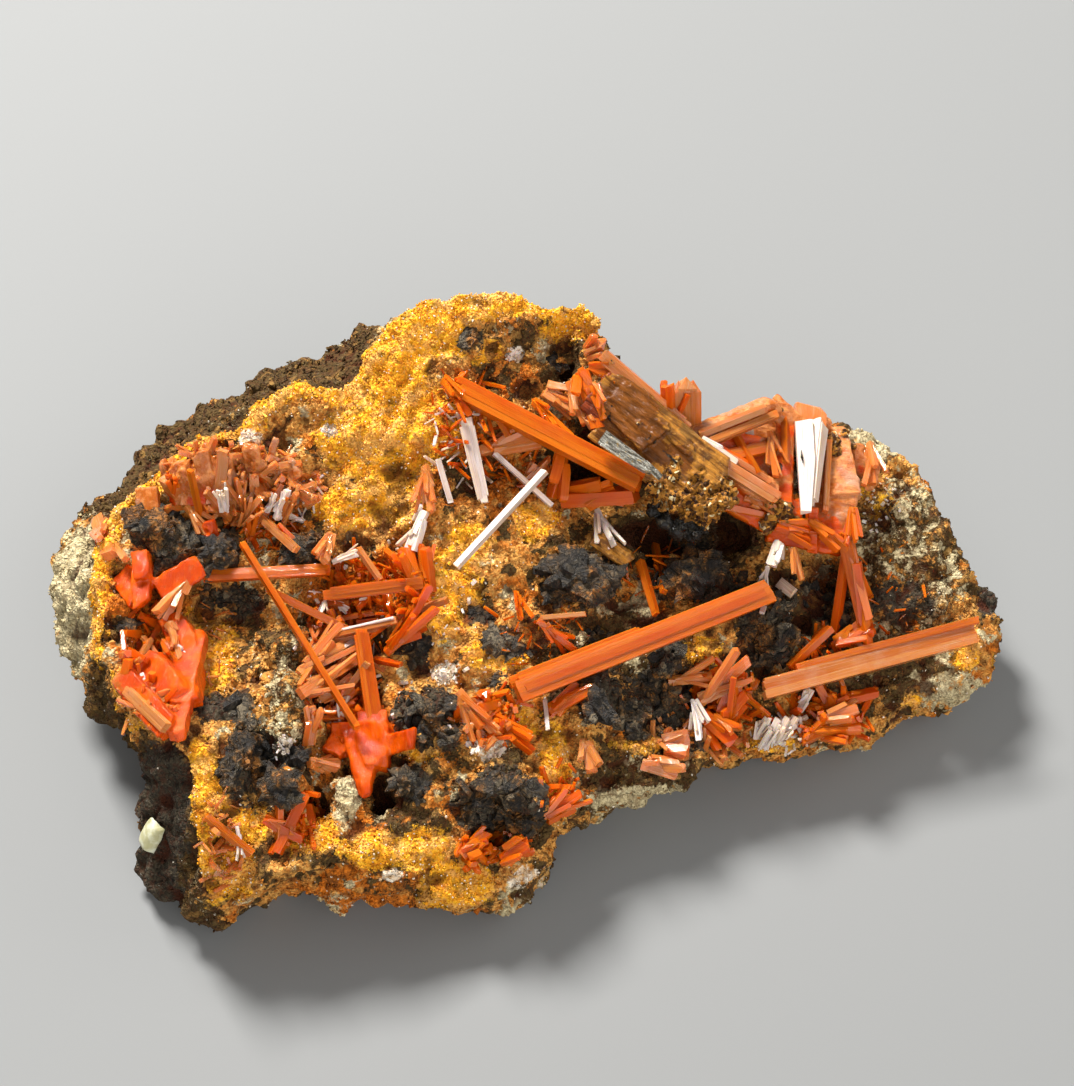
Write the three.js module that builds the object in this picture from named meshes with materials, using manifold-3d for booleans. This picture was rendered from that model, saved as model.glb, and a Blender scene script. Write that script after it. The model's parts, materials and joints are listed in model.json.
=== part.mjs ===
// A crocoite specimen: orange-red lead chromate prisms and blades grown over a loose slab of limonite gossan,
// which carries lumps of black manganese oxide. Millimetres, +Z up, resting on its broken flat underside.
//
// Every form is placed from one oblique view of the specimen. A place is given as [u, v, h]: the pixel of that
// view where it shows, and either its height over the ground or how far it stands proud of the rock there.
import * as THREE from "three";
import { mergeVertices } from "three/addons/utils/BufferGeometryUtils.js";
import Module from "manifold-3d";

const wasm = await Module();
wasm.setup();

// Driving dimensions
const SLAB_LENGTH = 85; // longest side of the slab
const SLAB_LENGTH_PIXELS = 949; // the same side in the view
const GROUND = 0;
const SOCKET_GAP = 0.3; // clearance between a crystal and the rock it grows from
const GRAIN_HALF_SIZES = [0.95, 1.75, 1.1]; // the pale grain on the west flank
const TINY = 1e-6;
const LEAST_CROSSING = 0.004; // crystals that share more than this, in cubic millimetres, are one body

// The view: its frame in pixels, and the eye that looks down along +Y
const VIEW_CENTRE = { u: 537, v: 543 };
const VIEW_AIM = new THREE.Vector3(0.85, 6.3, 12);
const EYE_ELEVATION = THREE.MathUtils.degToRad(54);
const EYE_DISTANCE = 260;
const FOCAL_PIXELS = (EYE_DISTANCE * SLAB_LENGTH_PIXELS) / SLAB_LENGTH;

const EYE_BACK = new THREE.Vector3(0, -Math.cos(EYE_ELEVATION), Math.sin(EYE_ELEVATION));
const EYE_UP = new THREE.Vector3(0, Math.sin(EYE_ELEVATION), Math.cos(EYE_ELEVATION));
const EYE = VIEW_AIM.clone().addScaledVector(EYE_BACK, EYE_DISTANCE);

// Ways that a broad crystal face looks
const GLINT = new THREE.Vector3(-0.22, -0.02, 1).normalize(); // mirrors the lamp
const BROAD = new THREE.Vector3(-0.1, -0.55, 0.83).normalize(); // leans toward the eye
const TO_EYE = new THREE.Vector3(0, -1, 0.35).normalize();
const GRAIN_FACING = new THREE.Vector3(-0.75, -0.4, 0.5).normalize();

// The rim of the display face, clockwise from the west: [u, v, height]
const CREST = [
  [95, 575, 17.5], [100, 540, 17.5], [112, 512, 17.5], [150, 482, 18.5], [178, 452, 20],
  [205, 436, 21], [238, 432, 21.5], [258, 408, 22], [285, 388, 23], [322, 390, 23],
  [352, 388, 23], [372, 355, 24], [388, 325, 25.5], [402, 316, 26], [440, 300, 27],
  [478, 288, 28], [500, 292, 27.8], [530, 300, 27], [578, 306, 26.5], [596, 318, 26],
  [601, 345, 24.5], [635, 388, 21.5], [690, 424, 18.5], [760, 428, 16.5], [835, 424, 15.5],
  [868, 432, 15], [905, 458, 14], [925, 482, 13], [945, 520, 11.8], [966, 560, 10.5],
  [985, 583, 9.5], [997, 605, 8.5], [1001, 632, 7.8], [990, 655, 7.2], [966, 682, 5.6],
  [930, 698, 5], [900, 708, 5], [878, 728, 5], [858, 735, 5], [835, 742, 5.5],
  [800, 744, 6], [760, 748, 6], [735, 750, 6.2], [700, 760, 6.5], [682, 776, 6.8],
  [650, 785, 7], [620, 792, 7], [595, 796, 7.5], [565, 812, 8], [549, 835, 8],
  [540, 856, 7], [520, 878, 5.5], [492, 906, 4.2], [465, 904, 4.8], [440, 893, 6.5],
  [420, 884, 8], [398, 878, 8.5], [378, 875, 9], [362, 866, 9.5], [348, 848, 11],
  [331, 843, 11.5], [318, 860, 10], [300, 872, 9.5], [280, 873, 10], [262, 880, 9.5],
  [248, 894, 8], [225, 915, 5.5], [212, 910, 6.5], [202, 888, 10], [198, 850, 12.5],
  [194, 815, 14], [194, 780, 15], [188, 756, 15.7], [172, 738, 16.2], [150, 722, 16.3],
  [128, 705, 16.5], [115, 685, 16.8], [107, 650, 17], [100, 610, 17.3],
];

// The widest line of the flanks, clockwise from the west: [u, v, height]
const WAIST = [
  [52, 572, 10], [60, 548, 10.5], [68, 525, 11], [76, 508, 11.5], [98, 499, 12.5],
  [122, 492, 13], [133, 468, 13], [144, 446, 13.5], [160, 428, 14], [188, 417, 14.5],
  [213, 399, 15], [242, 392, 15.5], [247, 372, 15.5], [275, 362, 16], [320, 357, 16.5],
  [346, 336, 17], [376, 323, 17.5], [404, 330, 16], [440, 385, 12], [478, 386, 11],
  [530, 392, 11], [592, 405, 10], [637, 456, 9], [692, 479, 8], [760, 477, 7],
  [836, 473, 6], [870, 478, 6], [914, 500, 5.5], [940, 545, 5], [967, 584, 5],
  [992, 606, 5.5], [1003, 632, 5.2], [999, 650, 4.5], [990, 674, 3.4], [975, 697, 2.4],
  [930, 713, 2.4], [905, 718, 2.8], [880, 741, 2.6], [850, 744, 2.8], [800, 751, 3],
  [740, 757, 3.5], [700, 769, 3.8], [688, 783, 3.8], [650, 794, 4], [600, 810, 4.5],
  [562, 837, 4.8], [546, 858, 4.8], [542, 884, 3.8], [525, 903, 2.8], [505, 921, 2],
  [475, 915, 2.4], [450, 906, 3.2], [425, 898, 3.5], [370, 900, 3], [334, 908, 2.8],
  [316, 893, 4.6], [300, 884, 6.2], [276, 888, 5.5], [257, 897, 5], [238, 910, 4],
  [215, 924, 3], [185, 917, 2], [156, 898, 1.8], [130, 870, 2], [141, 840, 2.8],
  [147, 815, 3.6], [149, 790, 4.6], [142, 762, 6], [139, 741, 8], [105, 724, 5.8],
  [80, 695, 5.4], [69, 660, 6], [56, 630, 7.5], [51, 600, 9],
];

// Heights surveyed inside the rim: [u, v, height]
const RELIEF = [
  // north shoulder and the ochre slope below it
  [490, 335, 25.6], [545, 335, 25], [440, 345, 24.6], [400, 370, 23.6], [340, 420, 21],
  [400, 430, 21.4], [300, 450, 19.6], [350, 480, 18.6], [410, 490, 18.6], [330, 530, 16.6],
  [380, 540, 16.4], [520, 370, 23], [560, 372, 20.6], [500, 395, 21.4], [455, 400, 22],
  [540, 400, 20.6],
  // north-west terrace
  [205, 455, 19.4], [250, 440, 20.4], [215, 490, 17.6], [265, 500, 17], [300, 505, 17.2],
  [150, 505, 17], [120, 535, 16], [150, 535, 17.4], [180, 545, 15.8], [215, 555, 16.2],
  [300, 548, 16.6], [250, 550, 14.4],
  // west pocket
  [120, 590, 14], [140, 640, 13.4], [190, 600, 13], [225, 605, 11.4], [215, 650, 11.4],
  [255, 640, 11.8], [180, 680, 12.4], [235, 690, 12.4], [150, 690, 14.4],
  // grey rib between the pockets, and the south-west wing
  [268, 585, 13.4], [284, 630, 15], [292, 680, 15.6], [290, 725, 15.8], [285, 765, 14.6],
  [300, 790, 11.8], [225, 718, 14.2], [205, 745, 14.8], [240, 745, 13.4], [262, 765, 11.6],
  [270, 795, 10.4], [220, 790, 13.6], [215, 840, 11.8], [250, 850, 10.4], [285, 845, 10],
  [230, 890, 8],
  // middle pocket
  [310, 590, 13.6], [350, 575, 13.4], [395, 570, 14.6], [345, 610, 11.6], [400, 600, 13.6],
  [322, 650, 10.6], [350, 660, 9.8], [395, 650, 12.8], [330, 700, 9.4], [355, 730, 9],
  [400, 700, 12.6], [325, 760, 9.6], [365, 775, 9.2],
  // south spur
  [345, 795, 10.4], [320, 812, 8], [382, 800, 7.2], [400, 770, 10.6], [430, 790, 11],
  [400, 840, 9.4], [360, 845, 10], [440, 840, 9], [450, 765, 12], [500, 770, 12.4],
  [530, 790, 11], [480, 830, 8.6], [515, 845, 8.4], [470, 875, 7.2], [505, 890, 5.6],
  [430, 720, 13.4],
  // middle ground
  [430, 560, 16.6], [480, 500, 17.6], [440, 620, 15], [500, 560, 16.4], [480, 640, 14.6],
  [540, 530, 16.2], [530, 610, 14.6], [450, 690, 13.6], [500, 680, 13.2], [490, 725, 12],
  [545, 740, 10.8], [545, 690, 12],
  // hollow below the sheaf, and the south-east face
  [580, 470, 15.2], [600, 530, 14], [580, 585, 15], [640, 560, 12.2], [700, 560, 11],
  [700, 590, 12.4], [640, 610, 12], [600, 650, 12], [660, 660, 10.8], [600, 700, 11.4],
  [580, 760, 9.4], [640, 740, 9], [740, 530, 12], [740, 640, 10.6], [700, 700, 8.2],
  [760, 680, 8], [700, 735, 7.6],
  // ground under the sheaf
  [620, 430, 18.6], [680, 470, 16.4], [750, 470, 14.8], [820, 470, 14],
  // east end
  [880, 480, 13.4], [870, 530, 12], [820, 560, 10], [790, 600, 10.6], [840, 600, 9.4],
  [900, 540, 12.2], [930, 580, 10.6], [890, 600, 10.2], [970, 610, 9], [830, 640, 9],
  [900, 640, 8.8], [950, 645, 7.8], [860, 680, 7.2], [920, 675, 6.6], [970, 655, 7.6],
  [820, 720, 6.2], [880, 705, 5.6],
];

// Lumps of manganese oxide and loose boulders that stand out of the rock: [u, v, proud], [half sizes]
const LUMPS = [
  [[150, 528, 0.4], [1.9, 1.4, 1.3]], [[168, 545, 0.1], [1.5, 1.9, 1.2]], [[186, 540, 0], [1.3, 1.8, 1.1]],
  [[219, 556, 0.3], [1.7, 1.4, 1.2]], [[300, 546, 0.2], [1.9, 1.1, 1.0]],
  [[232, 592, -0.2], [2.2, 1.2, 1.0]], [[575, 578, 0.3], [2.7, 2.0, 1.5]], 
  [[690, 572, 0.5], [2.6, 2.0, 2.0]], [[745, 612, 0.2], [2.4, 1.6, 1.2]], [[775, 640, 0.2], [1.9, 1.7, 1.2]],
  [[812, 575, 0.2], [1.9, 1.5, 1.2]], [[845, 590, 0.1], [1.2, 1.8, 1.1]], [[597, 695, 0.4], [1.1, 1.9, 1.2]],
  [[660, 668, 0.3], [1.8, 1.3, 1.1]], [[630, 715, 0.2], [1.9, 1.5, 1.1]], [[425, 705, 0.2], [2.6, 1.1, 1.0]],
  [[448, 735, 0.1], [1.7, 1.4, 1.0]], 
  [[480, 785, 0.3], [2.4, 1.3, 1.1]], [[522, 800, 0.3], [1.9, 1.7, 1.2]], 
  [[412, 780, 0.2], [1.5, 1.5, 1.1]], [[345, 795, 0.6], [1.3, 2.0, 1.4]], [[232, 772, 0.1], [1.9, 1.2, 1.0]],
  [[280, 790, 0.4], [1.6, 1.6, 1.2]], [[900, 510, 0.1], [1.9, 1.7, 1.0]],
  [[925, 560, 0.1], [1.7, 1.5, 0.9]], [[262, 392, 0.2], [1.3, 1.1, 1.1]],
];

// Pits and undercuts eaten into the rock: [u, v, depth below the rock], [half sizes]
const PITS = [
  [[668, 548, -0.6], [2.6, 2.8, 2.2]], [[725, 540, -0.6], [2.4, 2.2, 1.8]], [[583, 474, -0.4], [2.6, 1.8, 1.8]],
  [[380, 800, -0.3], [1.5, 2.0, 1.8]], [[316, 802, -0.3], [0.9, 1.8, 1.7]],
  [[838, 575, -0.3], [1.2, 2.0, 1.6]], [[800, 620, -0.2], [1.3, 1.4, 1.3]], [[495, 832, -0.3], [1.4, 1.0, 1.2]],
  [[563, 372, -0.3], [1.4, 1.2, 1.4]], 
];

// Rock, in stations round the rim and rings toward the middle
const STATIONS_EAST_WEST = 36;
const STATIONS_NORTH_SOUTH = 26;
const COURSES = 4; // rows of facets down the flank: two above the waist and two below
const ROCK_MIDDLE = { u: 480, v: 600, h: 14 };
const FOOT_INSET = 2.4; // how far the flat foot draws in under the waist
const FOOT_DRAW = 0.5; // and how much further for each millimetre of the waist's height
const WAIST_ROUGHNESS = 0.25;
const FLANK_ROUGHNESS = 0.7;
const BIG_BOULDER = 2.3; // half size over which a boulder has the finer facets

// Materials
const GOSSAN = { color: 0x8a6430, roughness: 0.95 };
const RED_ORANGE = { color: 0xd9480f, roughness: 0.28 };
const SALMON = { color: 0xd07a4c, roughness: 0.35 };
const COATED = { color: 0x7a5230, roughness: 0.7 };
const SILKY = { color: 0xe8c9ae, roughness: 0.22 };
const PALE_GRAIN = { color: 0xcfd0a4, roughness: 0.5 };

// Section of a crystal, in half widths and half depths, counter-clockwise
const SECTION = [[1, 1], [-1, 1], [-1, -1], [1, -1]];

/** The direction in which one pixel of the view looks. */
function sight(u, v) {
  return EYE_BACK.clone()
    .multiplyScalar(-FOCAL_PIXELS)
    .add(new THREE.Vector3(u - VIEW_CENTRE.u, 0, 0))
    .addScaledVector(EYE_UP, VIEW_CENTRE.v - v)
    .normalize();
}

/** The point at a given height over the ground that shows at one pixel of the view. */
function inAir(u, v, height) {
  const ray = sight(u, v);
  return EYE.clone().addScaledVector(ray, (height - EYE.z) / ray.z);
}

/** A repeatable number from 0 to 1 for a place on a lattice. */
function chance(i, j, seed) {
  const wave = Math.sin(i * 127.1 + j * 311.7 + seed * 74.7) * 43758.5453;
  return wave - Math.floor(wave);
}

/** Smooth bumps from -1 to 1 with the given spacing, in millimetres. */
function bumps(x, y, spacing, seed) {
  const gx = x / spacing;
  const gy = y / spacing;
  const i = Math.floor(gx);
  const j = Math.floor(gy);
  const s = THREE.MathUtils.smoothstep(gx - i, 0, 1);
  const t = THREE.MathUtils.smoothstep(gy - j, 0, 1);
  const near = THREE.MathUtils.lerp(chance(i, j, seed), chance(i + 1, j, seed), s);
  const far = THREE.MathUtils.lerp(chance(i, j + 1, seed), chance(i + 1, j + 1, seed), s);
  return 2 * THREE.MathUtils.lerp(near, far, t) - 1;
}

const surveyed = [...CREST, ...RELIEF].map(([u, v, h]) => inAir(u, v, h));

/** Height of the rock's upper surface over a place on the plan. */
function rockHeight(x, y) {
  let weights = 0;
  let sum = 0;
  for (const point of surveyed) {
    const away = (point.x - x) ** 2 + (point.y - y) ** 2 + 0.3;
    const weight = 1 / away ** 2.2;
    weights += weight;
    sum += weight * point.z;
  }
  return sum / weights + 0.55 * bumps(x, y, 4.3, 3) + 0.4 * bumps(x, y, 2.3, 8);
}

const middle = inAir(ROCK_MIDDLE.u, ROCK_MIDDLE.v, ROCK_MIDDLE.h);

/** A closed outline as bearing, reach and height, in order of bearing round the middle of the rock. */
function roundTheMiddle(outline) {
  return outline
    .map(([u, v, h]) => {
      const point = inAir(u, v, h).sub(middle);
      return { bearing: Math.atan2(point.y, point.x), reach: Math.hypot(point.x, point.y), height: h };
    })
    .sort((a, b) => a.bearing - b.bearing);
}

const crest = roundTheMiddle(CREST);
const waist = roundTheMiddle(WAIST);

/** Reach and height of an outline at one bearing. */
function outlineAt(outline, bearing) {
  const turn = 2 * Math.PI;
  const last = outline[outline.length - 1];
  let before = { ...last, bearing: last.bearing - turn };
  for (const after of [...outline, { ...outline[0], bearing: outline[0].bearing + turn }]) {
    if (bearing <= after.bearing) {
      const t = (bearing - before.bearing) / Math.max(after.bearing - before.bearing, 1e-9);
      return {
        reach: THREE.MathUtils.lerp(before.reach, after.reach, t),
        height: THREE.MathUtils.lerp(before.height, after.height, t),
      };
    }
    before = after;
  }
  return last;
}

/** Bearings of the stations, evenly spaced along the rim. */
function stationBearings(count) {
  const fine = 1440;
  const along = [0];
  const corner = (k) => {
    const bearing = -Math.PI + (2 * Math.PI * k) / fine;
    const { reach } = outlineAt(crest, bearing);
    return new THREE.Vector2(reach * Math.cos(bearing), reach * Math.sin(bearing));
  };
  for (let k = 1; k <= fine; k++) along.push(along[k - 1] + Math.min(corner(k).distanceTo(corner(k - 1)), 1));
  const bearings = [];
  for (let s = 0, k = 0; s < count; s++) {
    while (along[k + 1] < (along[fine] * s) / count) k++;
    bearings.push(-Math.PI + (2 * Math.PI * k) / fine);
  }
  return bearings;
}

/** The station round the rim of a place on the edge of the unit square, from the middle of its west side. */
function squareStation(a, b) {
  const long = STATIONS_EAST_WEST;
  const short = STATIONS_NORTH_SOUTH;
  const total = 2 * (long + short);
  let station;
  if (a <= -1 + TINY) station = (-b * short) / 2;
  else if (b <= -1 + TINY) station = short / 2 + ((a + 1) / 2) * long;
  else if (a >= 1 - TINY) station = short / 2 + long + ((b + 1) / 2) * short;
  else station = 1.5 * short + long + ((1 - a) / 2) * long;
  return ((station % total) + total) % total;
}

/** Moves every vertex of a geometry and leaves only its merged positions. */
function reshape(geometry, move) {
  const bare = geometry.clone();
  bare.deleteAttribute("normal");
  bare.deleteAttribute("uv");
  const merged = mergeVertices(bare, 1e-4);
  const positions = merged.attributes.position;
  const vertex = new THREE.Vector3();
  for (let i = 0; i < positions.count; i++) {
    vertex.fromBufferAttribute(positions, i);
    move(vertex, i);
    positions.setXYZ(i, vertex.x, vertex.y, vertex.z);
  }
  return merged;
}

function toSolid(geometry) {
  const bare = geometry.clone();
  bare.deleteAttribute("normal");
  bare.deleteAttribute("uv");
  const merged = mergeVertices(bare, 1e-4);
  const corners = merged.index.array;
  const kept = [];
  for (let i = 0; i < corners.length; i += 3) {
    const [a, b, c] = corners.slice(i, i + 3);
    if (a !== b && b !== c && c !== a) kept.push(a, b, c);
  }
  return new wasm.Manifold(
    new wasm.Mesh({
      numProp: 3,
      vertProperties: merged.attributes.position.array,
      triVerts: new Uint32Array(kept),
    }),
  );
}

function toGeometry(solid) {
  const mesh = solid.getMesh();
  const geometry = new THREE.BufferGeometry();
  const positions = new Float32Array(mesh.numVert * 3);
  for (let i = 0; i < mesh.numVert; i++) {
    positions.set(mesh.vertProperties.subarray(i * mesh.numProp, i * mesh.numProp + 3), i * 3);
  }
  geometry.setAttribute("position", new THREE.BufferAttribute(positions, 3));
  geometry.setIndex(new THREE.BufferAttribute(new Uint32Array(mesh.triVerts), 1));
  geometry.computeVertexNormals();
  return geometry;
}

/** Reach and height of the flank at one bearing, from 0 at the rim through the waist to 1 at the foot. */
function flankAt(bearing, depth) {
  const rim = outlineAt(crest, bearing);
  const widest = outlineAt(waist, bearing);
  const foot = widest.reach - FOOT_INSET - FOOT_DRAW * widest.height;
  if (depth < 0.5) {
    const t = 2 * depth;
    return {
      reach: THREE.MathUtils.lerp(rim.reach, widest.reach, t),
      height: THREE.MathUtils.lerp(rim.height, widest.height, t),
    };
  }
  const t = 2 * depth - 1;
  return {
    reach: THREE.MathUtils.lerp(widest.reach, foot, t ** 1.5),
    height: THREE.MathUtils.lerp(widest.height, GROUND, t),
  };
}

/** The bare slab: a subdivided box whose top follows the relief and whose sides follow rim, waist and foot. */
function slabGeometry(grown) {
  const bearings = stationBearings(2 * (STATIONS_EAST_WEST + STATIONS_NORTH_SOUTH));
  const box = new THREE.BoxGeometry(2, 2, 1, STATIONS_EAST_WEST, STATIONS_NORTH_SOUTH, COURSES);
  box.translate(0, 0, 0.5);
  return reshape(box, (vertex) => {
    const onTop = vertex.z > 1 - TINY;
    const onFoot = vertex.z < TINY;
    let ring = Math.max(Math.abs(vertex.x), Math.abs(vertex.y));
    if (onFoot && ring < 1 - TINY) ring = 0; // the foot is one flat face
    const station = ring < TINY ? 0 : squareStation(vertex.x / ring, vertex.y / ring);
    const low = Math.floor(station);
    const high = (low + 1) % bearings.length;
    const gap = (bearings[high] - bearings[low] + 2 * Math.PI) % (2 * Math.PI);
    let bearing = bearings[low] + (station - low) * gap;
    if (bearing > Math.PI) bearing -= 2 * Math.PI;
    const flank = flankAt(bearing, 1 - vertex.z);
    if (!onTop && !onFoot) {
      const course = Math.round((1 - vertex.z) * COURSES);
      const roughness = course === COURSES / 2 ? WAIST_ROUGHNESS : FLANK_ROUGHNESS;
      flank.reach += roughness * (2 * chance(Math.round(station), course, 5) - 1);
    }
    const reach = (flank.reach + grown) * ring;
    vertex.x = middle.x + reach * Math.cos(bearing);
    vertex.y = middle.y + reach * Math.sin(bearing);
    vertex.z = flank.height;
    if (onTop) vertex.z = rockHeight(vertex.x, vertex.y) + 1.2 * grown;
    if (onFoot) vertex.z = GROUND - grown;
  });
}

/** Where one pixel of the view meets a mesh. */
function meet(u, v, mesh) {
  const caster = new THREE.Raycaster(EYE, sight(u, v));
  const [hit] = caster.intersectObject(mesh);
  if (!hit) throw new Error(`the view meets no rock at ${u}, ${v}`);
  return hit.point;
}

/** The point that shows at one pixel and lies a given height over the place where that pixel meets the rock. */
function over(mesh, u, v, proud) {
  const point = meet(u, v, mesh);
  return inAir(u, v, point.z + proud);
}

/** A rough boulder of given half sizes. */
function boulder(centre, halfSizes, seed, grown) {
  const [a, b, c] = halfSizes;
  const big = Math.max(a, b, c) >= BIG_BOULDER;
  const ball = big ? new THREE.IcosahedronGeometry(1, 1) : new THREE.IcosahedronGeometry(1, 0);
  const turn = new THREE.Euler(0.5 * chance(seed, 1, 2), 0.5 * chance(seed, 2, 2), 3 * chance(seed, 3, 2));
  return reshape(ball, (vertex, i) => {
    vertex.multiplyScalar(0.86 + 0.28 * chance(i, seed, 4));
    vertex.applyEuler(turn);
    vertex.set(vertex.x * (a + grown), vertex.y * (b + grown), vertex.z * (c + grown)).add(centre);
  });
}

/** The whole rock, with its lumps and pits, grown outwards by a given amount. */
function rockSolid(plain, grown) {
  let solid = toSolid(slabGeometry(grown));
  LUMPS.forEach(([[u, v, proud], halfSizes], k) => {
    solid = solid.add(toSolid(boulder(over(plain, u, v, proud), halfSizes, k, grown)));
  });
  PITS.forEach(([[u, v, proud], halfSizes], k) => {
    solid = solid.subtract(toSolid(boulder(over(plain, u, v, proud), halfSizes, k + 50, -grown)));
  });
  return largest(solid);
}

/** The biggest separate body of a solid. */
function largest(solid) {
  const bodies = solid.decompose();
  return bodies.reduce((best, body) => (body.volume() > best.volume() ? body : best));
}

const plainSlab = new THREE.Mesh(slabGeometry(0), new THREE.MeshStandardMaterial({ side: THREE.DoubleSide }));
const rock = rockSolid(plainSlab, 0);
const grownRock = rockSolid(plainSlab, SOCKET_GAP);
const rockMesh = new THREE.Mesh(toGeometry(rock), new THREE.MeshStandardMaterial(GOSSAN));
rockMesh.name = "gossan_matrix";

const onRock = (u, v, proud) => over(rockMesh, u, v, proud);

/**
 * One crystal from its root to its tip.
 * options: the way its broad side faces, roll about its length in degrees, taper of the tip and of the base,
 * slopes of the end face across the width and the depth, and how far the middle of the tip stands out.
 */
function crystal(root, tip, width, depth, options = {}) {
  const { facing = GLINT, roll = 0, taper = 1, base = 1, slopes = [0, 0], peak = 0 } = options;
  const corners = SECTION.length;
  const axis = tip.clone().sub(root);
  const length = axis.length();
  axis.normalize();
  const out = facing.clone().addScaledVector(axis, -facing.dot(axis)).normalize();
  out.applyAxisAngle(axis, THREE.MathUtils.degToRad(roll));
  const across = new THREE.Vector3().crossVectors(out, axis).normalize();
  const basis = new THREE.Matrix4().makeBasis(across, out, axis).setPosition(root);
  const column = new THREE.CylinderGeometry(1, 1, 1, corners, 1);
  return toSolid(
    reshape(column, (vertex) => {
      const atTip = vertex.y > 0;
      const scale = atTip ? taper : base;
      let x = 0;
      let y = 0;
      let lift = atTip ? length + peak : 0;
      if (Math.hypot(vertex.x, vertex.z) > 0.5) {
        const turn = Math.atan2(vertex.x, vertex.z) / (2 * Math.PI);
        const k = Math.round((turn + 1) * corners) % corners;
        [x, y] = SECTION[k];
        if (atTip) lift = length - slopes[0] * x - slopes[1] * y;
      }
      vertex.set((x * scale * width) / 2, (y * scale * depth) / 2, lift).applyMatrix4(basis);
    }),
  );
}

/** A smooth rounded grain stuck on the rock. */
function grain(centre, halfSizes, facing) {
  const ball = new THREE.BoxGeometry(2, 2, 2, 2, 2, 2);
  const out = facing.clone().normalize();
  const across = new THREE.Vector3(0, 0, 1).cross(out).normalize();
  const basis = new THREE.Matrix4().makeBasis(across, new THREE.Vector3().crossVectors(out, across), out);
  basis.setPosition(centre);
  return toSolid(
    reshape(ball, (vertex) => {
      const round = vertex.clone().normalize().multiplyScalar(1.15);
      vertex.lerp(round, 0.45);
      vertex.set(vertex.x * halfSizes[0], vertex.y * halfSizes[1], vertex.z * halfSizes[2]).applyMatrix4(basis);
    }),
  );
}

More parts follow.
